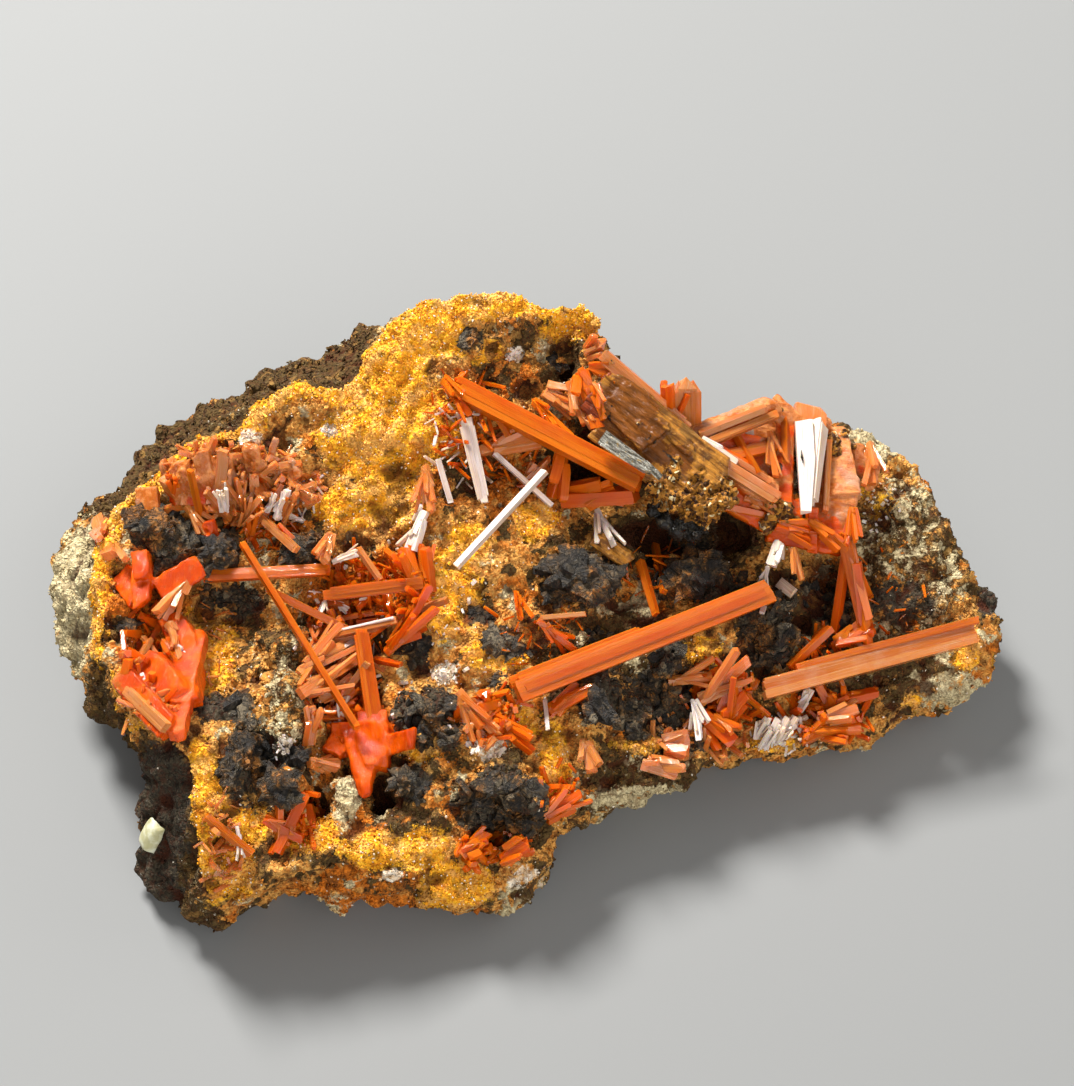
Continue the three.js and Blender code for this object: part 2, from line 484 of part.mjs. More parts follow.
// Every crystal by the cluster it belongs to, as [finish, root, tip, width, depth, options]
const CLUSTERS = {
  // the long prism that lies across the middle
  long_prism_centre: [
    [RED_ORANGE, onRock(514, 690, 1.3), onRock(772, 588, 3.4), 2.0, 1.9, { roll: 18, slopes: [0.2, 0.3] }],
  ],
  // the long prism that lies along the east end
  long_prism_east: [
    [SALMON, onRock(763, 687, 1.6), onRock(978, 627, 2.2), 1.9, 1.8, { roll: 12, slopes: [0.1, -0.2] }],
  ],
  // the sweep at the head of the slope, the coated sheaf that juts over the hollow, and the cluster east of it
  northeast_sheaf: [
    [RED_ORANGE, onRock(455, 387, 1.2), inAir(641, 483, 20.6), 1.8, 1.6, { roll: 10, taper: 0.9 }],
    [RED_ORANGE, onRock(444, 380, 0.8), onRock(471, 416, 1.4), 1.1, 0.7, { taper: 0.7 }],
    [SALMON, onRock(478, 452, 0.6), inAir(545, 434, 21.2), 1.2, 1.1, { roll: 20 }],
    [RED_ORANGE, onRock(487, 401, 1.5), onRock(509, 436, 1.5), 0.6, 0.5],
    [SALMON, onRock(546, 392, 1.0), inAir(592, 420, 22.4), 1.6, 0.9, { taper: 0.3, base: 1 }],
    [RED_ORANGE, onRock(534, 402, 0.8), inAir(572, 438, 21.8), 0.9, 0.7],
    [RED_ORANGE, inAir(562, 452, 19.6), onRock(553, 498, 1.0), 1.6, 1.2],
    [RED_ORANGE, onRock(562, 499, 1.2), inAir(640, 494, 18.6), 2.3, 1.8, { roll: -35 }],
    [SALMON, onRock(587, 352, 0.5), inAir(604, 342, 26.2), 1.4, 1.4],
    [RED_ORANGE, onRock(594, 362, 0.5), inAir(632, 372, 24.4), 1.6, 1.2],
    [COATED, inAir(588, 388, 23.6), inAir(716, 478, 20.2), 5.2, 2.2, { facing: BROAD, slopes: [0.6, 0] }],
    [COATED, inAir(604, 360, 24.8), inAir(704, 432, 21.8), 2.4, 2.0, { facing: BROAD, slopes: [-0.5, 0] }],
    [COATED, inAir(598, 424, 22.4), inAir(700, 503, 19.4), 2.8, 1.8, { facing: BROAD }],
    [SILKY, inAir(604, 441, 23.4), inAir(658, 479, 21.8), 1.4, 1.0, { facing: BROAD, taper: 0.6 }],
    [SALMON, inAir(684, 440, 19.6), inAir(684, 384, 24.8), 2.5, 1.8, { facing: TO_EYE, peak: 1.0 }],
    [RED_ORANGE, inAir(671, 436, 20.4), inAir(670, 387, 24.6), 1.4, 1.3, { facing: TO_EYE, roll: 25 }],
    [RED_ORANGE, inAir(698, 436, 20.8), inAir(768, 405, 22.8), 1.8, 1.1, { facing: TO_EYE, taper: 0.8 }],
    [SALMON, inAir(738, 438, 20.0), inAir(797, 414, 20.4), 2.2, 1.2, { facing: BROAD }],
    [RED_ORANGE, inAir(728, 466, 18.6), inAir(800, 470, 18.2), 4.0, 2.4, { facing: BROAD, slopes: [0.3, 0] }],
    [SALMON, inAir(700, 452, 21.4), inAir(776, 497, 18.8), 2.3, 1.2, { roll: 8, taper: 0.8 }],
    [RED_ORANGE, inAir(716, 490, 18.6), inAir(776, 516, 16.6), 2.8, 1.4, { facing: BROAD }],
    [SILKY, inAir(807, 512, 18.8), inAir(810, 425, 20.0), 2.8, 1.8, { base: 0.5, slopes: [-0.4, 0] }],
    [RED_ORANGE, inAir(836, 434, 19.2), inAir(842, 542, 15.6), 3.2, 1.6, { facing: BROAD, taper: 0.7, base: 0.6 }],
    [RED_ORANGE, inAir(806, 514, 17.2), inAir(848, 552, 14.8), 2.4, 0.9, { facing: BROAD }],
    [RED_ORANGE, inAir(856, 456, 17.4), inAir(873, 486, 16.2), 1.8, 1.1, { taper: 0.5 }],
    [RED_ORANGE, inAir(850, 546, 16.0), onRock(868, 634, 0.6), 1.5, 1.4, { roll: 20 }],
    [RED_ORANGE, inAir(815, 508, 18.0), inAir(812, 553, 15.2), 0.9, 0.8],
    [RED_ORANGE, inAir(782, 506, 17.6), inAir(786, 545, 15.4), 2.2, 1.6, { facing: BROAD }],
    [SILKY, inAir(779, 543, 16.0), inAir(771, 566, 15.4), 1.3, 0.7],
    [SALMON, inAir(793, 548, 15.8), inAir(802, 581, 14.6), 0.9, 0.7, { taper: 0.7 }],
    [RED_ORANGE, onRock(836, 644, 0.8), onRock(875, 629, 1.6), 1.3, 1.1],
  ],
  // a small prism beside the long one in the east
  east_side_prism: [
    [RED_ORANGE, onRock(790, 667, 1.2), onRock(831, 628, 1.8), 0.8, 0.7],
  ],
  // silky needles and blades of the upper middle
  upper_needle: [
    [SILKY, onRock(456, 567, 1.2), onRock(545, 471, 4.0), 0.65, 0.6],
    [SILKY, onRock(494, 453, 1.2), onRock(552, 506, 2.0), 0.5, 0.45],
    [SALMON, onRock(521, 483, 1.0), onRock(551, 457, 2.2), 0.8, 0.6],
    [SILKY, onRock(466, 418, 1.0), onRock(485, 503, 1.8), 1.2, 0.7, { taper: 0.6 }],
    [SILKY, onRock(438, 459, 0.8), onRock(451, 503, 1.2), 0.6, 0.5],
    [SILKY, onRock(425, 511, 0.9), onRock(408, 550, 1.4), 1.0, 0.8],
    [SALMON, onRock(425, 466, 0.6), onRock(432, 512, 1.2), 1.0, 0.6],
    [SILKY, onRock(597, 510, 1.8), onRock(614, 546, 2.4), 0.75, 0.6],
  ],
  // prisms in the hollow under the sheaf
  hollow_prism: [
    [COATED, onRock(595, 538, 1.4), onRock(630, 562, 2.2), 1.3, 1.1, { facing: BROAD }],
    [RED_ORANGE, onRock(640, 561, 1.4), onRock(656, 615, 1.4), 0.8, 0.7, { taper: 0.8 }],
  ],
  // fans and blades of the north-west terrace
  northwest_fan: [
    [SALMON, onRock(207, 516, 0.4), onRock(177, 467, 1.8), 1.5, 0.9, { facing: BROAD }],
    [RED_ORANGE, onRock(213, 514, 0.4), onRock(200, 446, 2.4), 2.2, 1.1, { facing: BROAD }],
    [SALMON, onRock(217, 512, 0.4), onRock(223, 449, 2.2), 1.3, 0.9, { facing: BROAD }],
    [SALMON, onRock(254, 472, 0.4), onRock(250, 445, 1.8), 2.1, 1.3, { facing: BROAD }],
    [SALMON, onRock(282, 472, 0.8), onRock(310, 502, 1.4), 1.4, 1.1, { facing: BROAD }],
    [SALMON, onRock(270, 468, 0.7), onRock(301, 467, 1.2), 1.1, 0.9],
    [SILKY, onRock(224, 513, 0.8), onRock(223, 486, 2.2), 0.9, 0.7],
    [SILKY, onRock(277, 518, 0.7), onRock(285, 487, 2.2), 1.3, 0.8],
    [SALMON, onRock(261, 517, 0.8), onRock(297, 550, 1.4), 0.9, 0.6],
    [SALMON, onRock(186, 506, 0.8), onRock(207, 537, 1.3), 0.9, 0.6],
    [RED_ORANGE, onRock(215, 541, 0.3), onRock(214, 517, 1.5), 1.8, 1.3, { facing: BROAD }],
    [SALMON, onRock(151, 518, 0.3), onRock(145, 483, 1.8), 2.1, 1.4, { facing: BROAD }],
  ],
  // the blocky red lobes of the west pocket
  west_pocket_lobes: [
    [SALMON, onRock(98, 519, 0.2), onRock(110, 558, 0.9), 2.3, 1.5, { facing: BROAD }],
    [RED_ORANGE, onRock(130, 556, 1.0), onRock(143, 612, 2.4), 3.2, 2.4, { facing: BROAD }],
    [SALMON, onRock(201, 562, 1.2), onRock(151, 612, 2.6), 1.5, 1.3, { roll: 15 }],
    [RED_ORANGE, onRock(150, 584, 1.2), onRock(206, 562, 1.6), 1.9, 1.5, { roll: 30 }],
    [RED_ORANGE, onRock(170, 618, 1.3), onRock(166, 694, 2.0), 3.6, 1.9, { facing: BROAD }],
    [RED_ORANGE, onRock(182, 664, 0.8), onRock(180, 741, 1.4), 2.3, 1.8, { taper: 0.5, facing: BROAD }],
    [SALMON, onRock(122, 684, 0.4), onRock(170, 736, 1.0), 1.6, 1.1, { facing: BROAD }],
  ],
  // thin prisms that bridge the pockets
  bridge_prism: [
    [RED_ORANGE, onRock(203, 577, 1.8), onRock(330, 570, 1.8), 1.1, 1.0, { roll: 15 }],
    [RED_ORANGE, onRock(242, 543, 2.2), onRock(357, 728, 5.2), 0.9, 0.8],
    [RED_ORANGE, onRock(268, 590, 2.2), onRock(348, 630, 2.4), 0.9, 0.8],
  ],
  // the spray and the red junction of the middle pocket
  middle_pocket_spray: [
    [RED_ORANGE, onRock(378, 740, 1.0), onRock(361, 630, 4.2), 1.4, 1.2, { roll: 20 }],
    [SILKY, onRock(334, 634, 2.6), onRock(397, 619, 2.4), 0.7, 0.6],
    [SALMON, onRock(300, 694, 0.8), onRock(362, 655, 2.0), 1.5, 0.9],
    [SALMON, onRock(298, 674, 0.8), onRock(352, 641, 2.2), 1.3, 0.9],
    [SALMON, onRock(308, 654, 0.8), onRock(340, 631, 2.0), 0.9, 0.7],
    [RED_ORANGE, onRock(386, 652, 1.2), onRock(438, 607, 2.4), 1.1, 0.9],
    [RED_ORANGE, onRock(324, 595, 1.6), onRock(424, 583, 1.6), 1.0, 0.8],
    [RED_ORANGE, onRock(428, 603, 0.6), onRock(402, 547, 2.2), 1.2, 1.0],
    [RED_ORANGE, onRock(431, 592, 0.4), onRock(425, 547, 2.0), 1.2, 1.0],
    [SILKY, onRock(332, 562, 1.6), onRock(358, 551, 1.8), 0.6, 0.5],
    [SALMON, onRock(358, 548, 1.6), onRock(381, 581, 2.0), 0.6, 0.5],
    [SALMON, onRock(330, 534, 0.8), onRock(324, 562, 2.2), 1.0, 0.9],
    [RED_ORANGE, onRock(338, 738, 0.6), onRock(392, 736, 1.2), 2.6, 2.2, { facing: BROAD }],
    [RED_ORANGE, onRock(363, 735, 1.4), onRock(365, 803, 0.8), 3.4, 2.0, { taper: 0.2, facing: BROAD }],
    [SALMON, onRock(309, 744, 0.6), onRock(312, 706, 2.0), 1.0, 0.8],
    [SALMON, onRock(309, 763, 1.0), onRock(339, 763, 1.4), 1.1, 0.8],
    [SILKY, onRock(336, 726, 0.8), onRock(347, 695, 2.2), 0.8, 0.6],
  ],
  // the south-west wing
  southwest_wing_crystal: [
    [RED_ORANGE, onRock(205, 816, 0.4), onRock(252, 854, 0.9), 0.8, 0.6],
    [RED_ORANGE, onRock(277, 853, 0.4), onRock(306, 793, 1.8), 1.3, 1.1],
    [RED_ORANGE, onRock(264, 819, 1.2), onRock(303, 840, 1.0), 1.1, 1.0],
  ],
  // the south spur
  south_spur_crystal: [
    [SALMON, onRock(458, 692, 0.6), onRock(498, 738, 1.2), 1.4, 1.0, { facing: BROAD }],
    [RED_ORANGE, onRock(488, 718, 0.6), onRock(534, 752, 1.0), 1.2, 0.9],
    [RED_ORANGE, onRock(503, 860, 0.5), onRock(531, 842, 1.6), 1.7, 1.4, { facing: BROAD }],
    [RED_ORANGE, onRock(462, 856, 0.5), onRock(489, 831, 1.5), 1.4, 1.1, { facing: BROAD }],
    [RED_ORANGE, onRock(546, 818, 0.5), onRock(581, 793, 1.3), 1.1, 0.9],
  ],
  // splinters beside the long prism
  middle_splinter: [
    [SALMON, onRock(540, 618, 0.8), onRock(586, 614, 2.2), 0.5, 0.45],
    [RED_ORANGE, onRock(538, 620, 0.8), onRock(577, 652, 1.2), 0.8, 0.7],
    [RED_ORANGE, onRock(550, 712, 0.6), onRock(590, 690, 1.0), 1.3, 1.1],
  ],
  // splayed blades of the south-east edge
  southeast_splay: [
    [SALMON, onRock(696, 706, 0.8), onRock(750, 659, 3.0), 1.4, 1.0, { facing: BROAD }],
    [RED_ORANGE, onRock(718, 728, 0.6), onRock(741, 670, 2.6), 2.0, 0.9, { facing: BROAD }],
    [RED_ORANGE, onRock(702, 714, 0.8), onRock(734, 743, 1.4), 1.9, 1.3, { facing: BROAD }],
    [SILKY, onRock(694, 703, 1.6), onRock(699, 741, 1.8), 0.7, 0.6],
    [SALMON, onRock(668, 681, 0.8), onRock(713, 677, 1.6), 1.1, 0.8],
    [RED_ORANGE, onRock(741, 692, 1.4), onRock(769, 716, 1.6), 0.45, 0.4],
    [SALMON, onRock(664, 744, 0.3), onRock(690, 738, 1.3), 2.5, 1.7, { facing: BROAD }],
    [SALMON, onRock(642, 763, 0.3), onRock(678, 774, 1.2), 1.7, 1.0, { facing: BROAD }],
  ],
  // silky blades on the south-east edge
  southeast_edge_blade: [
    [SILKY, onRock(757, 738, 0.7), onRock(768, 717, 1.8), 0.8, 0.7],
    [SILKY, onRock(764, 749, 0.7), onRock(779, 718, 1.8), 0.8, 0.7],
    [SILKY, onRock(774, 744, 0.7), onRock(788, 717, 1.8), 0.8, 0.7],
    [SILKY, onRock(784, 738, 0.7), onRock(797, 717, 1.6), 0.7, 0.6],
    [SILKY, onRock(799, 711, 0.7), onRock(812, 689, 2.0), 0.7, 0.6],
  ],
  // curved prisms on the south-east edge
  curved_prism: [
    [RED_ORANGE, onRock(800, 740, 0.3), onRock(858, 716, 1.6), 1.5, 1.2, { roll: 15 }],
    [SALMON, onRock(818, 722, 0.6), onRock(858, 708, 2.2), 1.3, 1.1],
    [RED_ORANGE, onRock(838, 701, 0.8), onRock(878, 692, 1.4), 1.2, 1.0],
  ],
};

/** Frees each crystal from the rock and joins the ones that cross into one intergrown body. */
function intergrow(clusters) {
  const bodies = [];
  const rows = Object.entries(clusters).flatMap(([name, crystals]) => crystals.map((row) => [name, ...row]));
  for (const [name, finish, root, tip, width, depth, options] of rows) {
    let solid = largest(crystal(root, tip, width, depth, options).subtract(grownRock));
    const crossed = bodies.filter((body) => solid.intersect(body.solid).volume() > LEAST_CROSSING);
    for (const body of crossed) solid = solid.add(body.solid);
    const [owner = { name, finish }] = crossed;
    const grown = { name: owner.name, finish: owner.finish, solid: largest(solid) };
    bodies.splice(crossed.length ? bodies.indexOf(owner) : bodies.length, 0, grown);
    for (const body of crossed) bodies.splice(bodies.indexOf(body), 1);
  }
  return bodies;
}

/** Adds a solid to the specimen as a mesh placed by the middle of its box; a repeated name gets a number. */
function place(name, finish, solid) {
  const geometry = toGeometry(solid);
  geometry.computeBoundingBox();
  const seat = geometry.boundingBox.getCenter(new THREE.Vector3());
  geometry.translate(-seat.x, -seat.y, -seat.z);
  const mesh = new THREE.Mesh(geometry, new THREE.MeshStandardMaterial({ ...finish, metalness: 0 }));
  const same = specimen.children.filter((other) => other.userData.habit === name).length;
  mesh.userData.habit = name;
  mesh.name = same ? `${name}_${same + 1}` : name;
  mesh.position.copy(seat);
  specimen.add(mesh);
}

const specimen = new THREE.Group();
specimen.add(rockMesh);

for (const { name, finish, solid } of intergrow(CLUSTERS)) place(name, finish, solid);

const flank = meet(156, 834, rockMesh);
place("pale_grain", PALE_GRAIN, largest(grain(flank, GRAIN_HALF_SIZES, GRAIN_FACING).subtract(grownRock)));

export default specimen;
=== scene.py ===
"""A crocoite specimen: orange-red lead chromate prisms over limonite gossan with black manganese oxide.

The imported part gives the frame. Every form is placed from one oblique view of the specimen, as the part is:
a spot is the pixel of that view where it shows, and either its height over the ground or how far it stands
proud of the rock there. Lengths in the tables are millimetres and become metres where the meshes are made.
"""

from __future__ import annotations

import json
import logging
import math
import random
from dataclasses import dataclass, field
from enum import Enum

import bmesh
import bpy
import numpy as np
from mathutils import Matrix, Vector, noise
from mathutils.bvhtree import BVHTree

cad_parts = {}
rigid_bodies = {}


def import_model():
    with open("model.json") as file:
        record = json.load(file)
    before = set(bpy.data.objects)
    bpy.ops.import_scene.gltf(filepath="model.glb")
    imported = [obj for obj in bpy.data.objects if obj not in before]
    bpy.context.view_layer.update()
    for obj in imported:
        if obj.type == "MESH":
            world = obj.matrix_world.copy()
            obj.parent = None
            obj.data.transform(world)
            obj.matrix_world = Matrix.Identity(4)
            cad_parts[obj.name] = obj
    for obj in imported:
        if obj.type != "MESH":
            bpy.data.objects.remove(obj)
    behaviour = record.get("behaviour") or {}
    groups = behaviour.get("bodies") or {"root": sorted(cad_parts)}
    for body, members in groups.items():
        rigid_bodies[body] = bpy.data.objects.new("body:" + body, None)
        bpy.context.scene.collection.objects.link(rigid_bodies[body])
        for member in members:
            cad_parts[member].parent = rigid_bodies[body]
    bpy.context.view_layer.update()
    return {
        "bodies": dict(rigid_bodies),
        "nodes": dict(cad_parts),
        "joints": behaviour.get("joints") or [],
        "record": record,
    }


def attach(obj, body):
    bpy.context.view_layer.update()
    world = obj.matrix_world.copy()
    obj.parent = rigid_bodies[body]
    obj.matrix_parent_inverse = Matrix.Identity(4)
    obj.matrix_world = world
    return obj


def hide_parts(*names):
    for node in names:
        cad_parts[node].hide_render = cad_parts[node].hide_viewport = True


LOG = logging.getLogger("crocoite_specimen")

MM = 0.001

# The view: its frame in pixels, and the eye that looks down along +Y
FRAME_LONG_SIDE = 1086
VIEW_CENTRE = (537.0, 543.0)
VIEW_AIM = Vector((0.85, 6.3, 12.0))
EYE_ELEVATION = math.radians(54)
EYE_DISTANCE = 260.0
SLAB_LENGTH = 85.0
SLAB_LENGTH_PIXELS = 949.0
FOCAL_PIXELS = EYE_DISTANCE * SLAB_LENGTH_PIXELS / SLAB_LENGTH
SENSOR = 36.0
PIXEL = SLAB_LENGTH / SLAB_LENGTH_PIXELS

EYE_BACK = Vector((0, -math.cos(EYE_ELEVATION), math.sin(EYE_ELEVATION)))
EYE_UP = Vector((0, math.sin(EYE_ELEVATION), math.cos(EYE_ELEVATION)))
EYE_RIGHT = Vector((1, 0, 0))
EYE = VIEW_AIM + EYE_BACK * EYE_DISTANCE

# Ways that a broad crystal face looks
GLINT = Vector((-0.22, -0.02, 1)).normalized()
BROAD = Vector((-0.1, -0.55, 0.83)).normalized()
TO_EYE = Vector((0, -1, 0.35)).normalized()

# A colour, a socket, the levels of a step or shares of a sum, and a stain's pixel, height and half size
Colour = tuple[float, float, float, float]
Socket = bpy.types.NodeSocket
Ramp = tuple[float, ...]
Stain = tuple[float, float, float, float]

# Display colours to linear ones
CHANNEL_TOP = 255
DARK_END = 0.04045
DARK_SLOPE = 12.92
CURVE_SHIFT = 0.055
CURVE_POWER = 2.4

# Crumbs in the looks: how noise bends them (features per metre, metres), their rounding and fineness
CRUMB_BEND = (1400, 0.0004)
CRUMB_DOME = (0.0, 0.75, 1.0, 0.0)
CRUMB_SCALE = 3000

# The share and the two colours of a colour mix, by the number of their sockets
MIX_SOCKETS = (0, 6, 7)

# How strongly lead chromate bends light
REFRACTION = 1.6

# Vertices closer than this are one, in metres, and how near a vertex lies to a cut, in millimetres
WELD = 1e-6
FINE_WELD = 1e-7
CUT_NEAR = 1e-4


class Mineral(Enum):
    """What covers a part of the rock, and the painted shade laid in its hollows."""

    OCHRE = "ochre"
    RUST = "rust"
    UMBER = "umber"
    ASH = "ash"
    MANGANESE = "manganese"
    CHALK = "chalk"
    # painted shade: hollows darkened in the colour, not a mineral
    SHADED_HOLLOW = "hollow"


class Habit(Enum):
    """How a crystal looks."""

    RED = "red"
    SALMON = "salmon"
    COATED = "coated"
    # pale crystals: their whiteness is partly painted glare, partly true glints of faces turned to the lamp
    SILKY = "silky"
    PEWTER = "pewter"
    MASSIVE = "massive"


class Film(Enum):
    """What shows in places on crystals that grew together."""

    SLAB = "slab"
    OLIVE = "olive"
    EMBER = "ember"
    CRUST = "crust"
    SOOT = "soot"


OCHRE, RUST, UMBER, ASH = Mineral.OCHRE, Mineral.RUST, Mineral.UMBER, Mineral.ASH
MANGANESE, CHALK, SHADED_HOLLOW = Mineral.MANGANESE, Mineral.CHALK, Mineral.SHADED_HOLLOW
RED, SALMON, COATED = Habit.RED, Habit.SALMON, Habit.COATED
SILKY, PEWTER, MASSIVE = Habit.SILKY, Habit.PEWTER, Habit.MASSIVE
HABITS = list(Habit)
SLAB, OLIVE, EMBER, CRUST, SOOT = Film.SLAB, Film.OLIVE, Film.EMBER, Film.CRUST, Film.SOOT


@dataclass(frozen=True)
class Spot:
    """A place on the specimen, by the pixel where it shows."""

    u: float
    v: float
    lift: float
    aloft: bool


def rock(u: float, v: float, proud: float) -> Spot:
    """A spot that stands proud of the rock, in millimetres."""
    return Spot(u, v, proud, False)


def air(u: float, v: float, height: float) -> Spot:
    """A spot at a height over the ground, in millimetres."""
    return Spot(u, v, height, True)


@dataclass(frozen=True)
class Prism:
    """One crystal from its root to its tip, in the words of the part's own table."""

    habit: Habit
    root: Spot
    tip: Spot
    width: float
    depth: float
    facing: Vector = GLINT
    roll: float = 0.0
    taper: float = 1.0
    base: float = 1.0
    slopes: tuple[float, float] = (0.0, 0.0)
    peak: float = 0.0
    single: bool = False


@dataclass(frozen=True)
class Patch:
    """A mineral over an oval of the view, with half sizes in pixels."""

    mineral: Mineral
    u: float
    v: float
    across: float
    down: float
    strength: float = 1.0


def lump(root: Spot, tip: Spot, width: float, depth: float, **shape: float) -> Prism:
    """One blocky crystal of a mass that grew together, broad side to the eye."""
    return Prism(MASSIVE, root, tip, width, depth, facing=BROAD, single=True, **shape)


def patches(mineral: Mineral, *ovals: tuple[float, ...]) -> tuple[Patch, ...]:
    """Patches of one mineral: pixel, half sizes and, where it is thin, how strongly it covers."""
    return tuple(Patch(mineral, *oval) for oval in ovals)


def hex_colour(code: str) -> Colour:
    """A colour for a shader from its display code.

    Args:
        code: six hexadecimal digits, red first.

    Returns:
        The linear colour with full alpha.
    """
    channels = [channel / CHANNEL_TOP for channel in bytes.fromhex(code)]
    curve = [((c + CURVE_SHIFT) / (1 + CURVE_SHIFT)) ** CURVE_POWER for c in channels]
    linear = [c / DARK_SLOPE if c <= DARK_END else bright for c, bright in zip(channels, curve)]
    return (*linear, 1.0)


def sight(u: float, v: float) -> Vector:
    """The direction in which one pixel of the view looks."""
    ray = EYE_BACK * -FOCAL_PIXELS + EYE_RIGHT * (u - VIEW_CENTRE[0]) + EYE_UP * (VIEW_CENTRE[1] - v)
    return ray.normalized()


def in_air(u: float, v: float, height: float) -> Vector:
    """The point at a height over the ground that shows at one pixel."""
    ray = sight(u, v)
    return EYE + ray * ((height - EYE.z) / ray.z)


def values_of(
    items: bpy.types.bpy_prop_collection, name: str, width: int = 1, kind: type = float
) -> np.ndarray:
    """One property of all vertices, faces or corners of a mesh.

    Args:
        items: the vertices, faces or corners.
        name: what is read.
        width: how many numbers each item has.
        kind: the type of the numbers.

    Returns:
        One number or one row for each item.
    """
    values = np.empty(len(items) * width, kind)
    items.foreach_get(name, values)
    return values.reshape(-1, width) if width > 1 else values


def mesh_arrays(mesh: bpy.types.Mesh) -> tuple[np.ndarray, np.ndarray]:
    """Vertex places and normals of a mesh, in millimetres."""
    places = values_of(mesh.vertices, "co", 3, np.float32)
    normals = values_of(mesh.vertices, "normal", 3, np.float32)
    return places.astype(float) / MM, normals.astype(float)


def write_places(mesh: bpy.types.Mesh, places: np.ndarray) -> None:
    """Gives a mesh new vertex places, in millimetres."""
    mesh.vertices.foreach_set("co", (places * MM).astype(np.float32).ravel())
    mesh.update()


def paint(mesh: bpy.types.Mesh, name: str, values: np.ndarray) -> None:
    """Stores one number for each vertex under a name that a shader reads."""
    layer = mesh.attributes.get(name) or mesh.attributes.new(name, "FLOAT", "POINT")
    layer.data.foreach_set("value", values.astype(np.float32))


def show(name: str, mesh: bpy.types.Mesh) -> bpy.types.Object:
    """A new object in the scene that holds a mesh."""
    made = bpy.data.objects.new(name, mesh)
    bpy.context.scene.collection.objects.link(made)
    return made


def settled(piece: bpy.types.Object) -> bpy.types.Mesh:
    """The mesh of a piece with its modifiers worked in; the piece itself is removed."""
    graph = bpy.context.evaluated_depsgraph_get()
    mesh = bpy.data.meshes.new_from_object(piece.evaluated_get(graph))
    old = piece.data
    bpy.data.objects.remove(piece)
    bpy.data.meshes.remove(old)
    return mesh


def merged_copy(node: bpy.types.Object, name: str) -> bpy.types.Mesh:
    """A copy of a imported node's mesh with its loose triangles joined."""
    shape = bmesh.new()
    shape.from_mesh(node.data)
    bmesh.ops.remove_doubles(shape, verts=shape.verts, dist=WELD)
    mesh = bpy.data.meshes.new(name)
    shape.to_mesh(mesh)
    shape.free()
    return mesh


def tree_of(mesh: bpy.types.Mesh) -> BVHTree:
    """A search tree over a mesh, in millimetres."""
    places, _ = mesh_arrays(mesh)
    faces = [tuple(face.vertices) for face in mesh.polygons]
    return BVHTree.FromPolygons([tuple(p) for p in places], faces)


def cleave(shape: bmesh.types.BMesh, facing: Vector, depth: float) -> None:
    """Cuts the outermost part of a closed shape away and closes the cut.

    Args:
        shape: the mesh that is cut.
        facing: the way the new face looks.
        depth: how deep the cut lies under the farthest vertex.
    """
    facing = facing.normalized()
    reach = max(facing.dot(vert.co) for vert in shape.verts) - depth
    whole = shape.verts[:] + shape.edges[:] + shape.faces[:]
    made = bmesh.ops.bisect_plane(
        shape, geom=whole, dist=CUT_NEAR, plane_co=facing * reach, plane_no=facing, clear_outer=True
    )
    rim = [item for item in made["geom_cut"] if isinstance(item, bmesh.types.BMEdge)]
    bmesh.ops.holes_fill(shape, edges=rim, sides=0)


@dataclass
class Survey:
    """Finds places on the rock as the view shows them."""

    plain: BVHTree
    carved: BVHTree | None = None

    def meet(self, u: float, v: float, carved: bool = False) -> tuple[Vector, Vector] | None:
        """Where one pixel of the view meets the rock.

        Args:
            u: pixel across.
            v: pixel down.
            carved: reads the finished surface, not the plain solid.

        Returns:
            The point and the way the surface faces there, or None.
        """
        tree = self.carved if carved and self.carved else self.plain
        point, normal, _, _ = tree.ray_cast(EYE, sight(u, v))
        return None if point is None else (point, normal)

    def place(self, spot: Spot) -> Vector:
        """The point of a spot, in millimetres."""
        if spot.aloft:
            return in_air(spot.u, spot.v, spot.lift)
        met = self.meet(spot.u, spot.v)
        if met is None:
            raise ValueError(f"the view meets no rock at {spot.u}, {spot.v}")
        return in_air(spot.u, spot.v, met[0].z + spot.lift)


@dataclass(frozen=True)
class Grain:
    """Cloudy noise: features per unit, octaves, the weight of the fine ones, distortion and stretch."""

    scale: float
    detail: float
    rough: float
    bend: float = 0
    stretch: tuple[float, float, float] | None = None


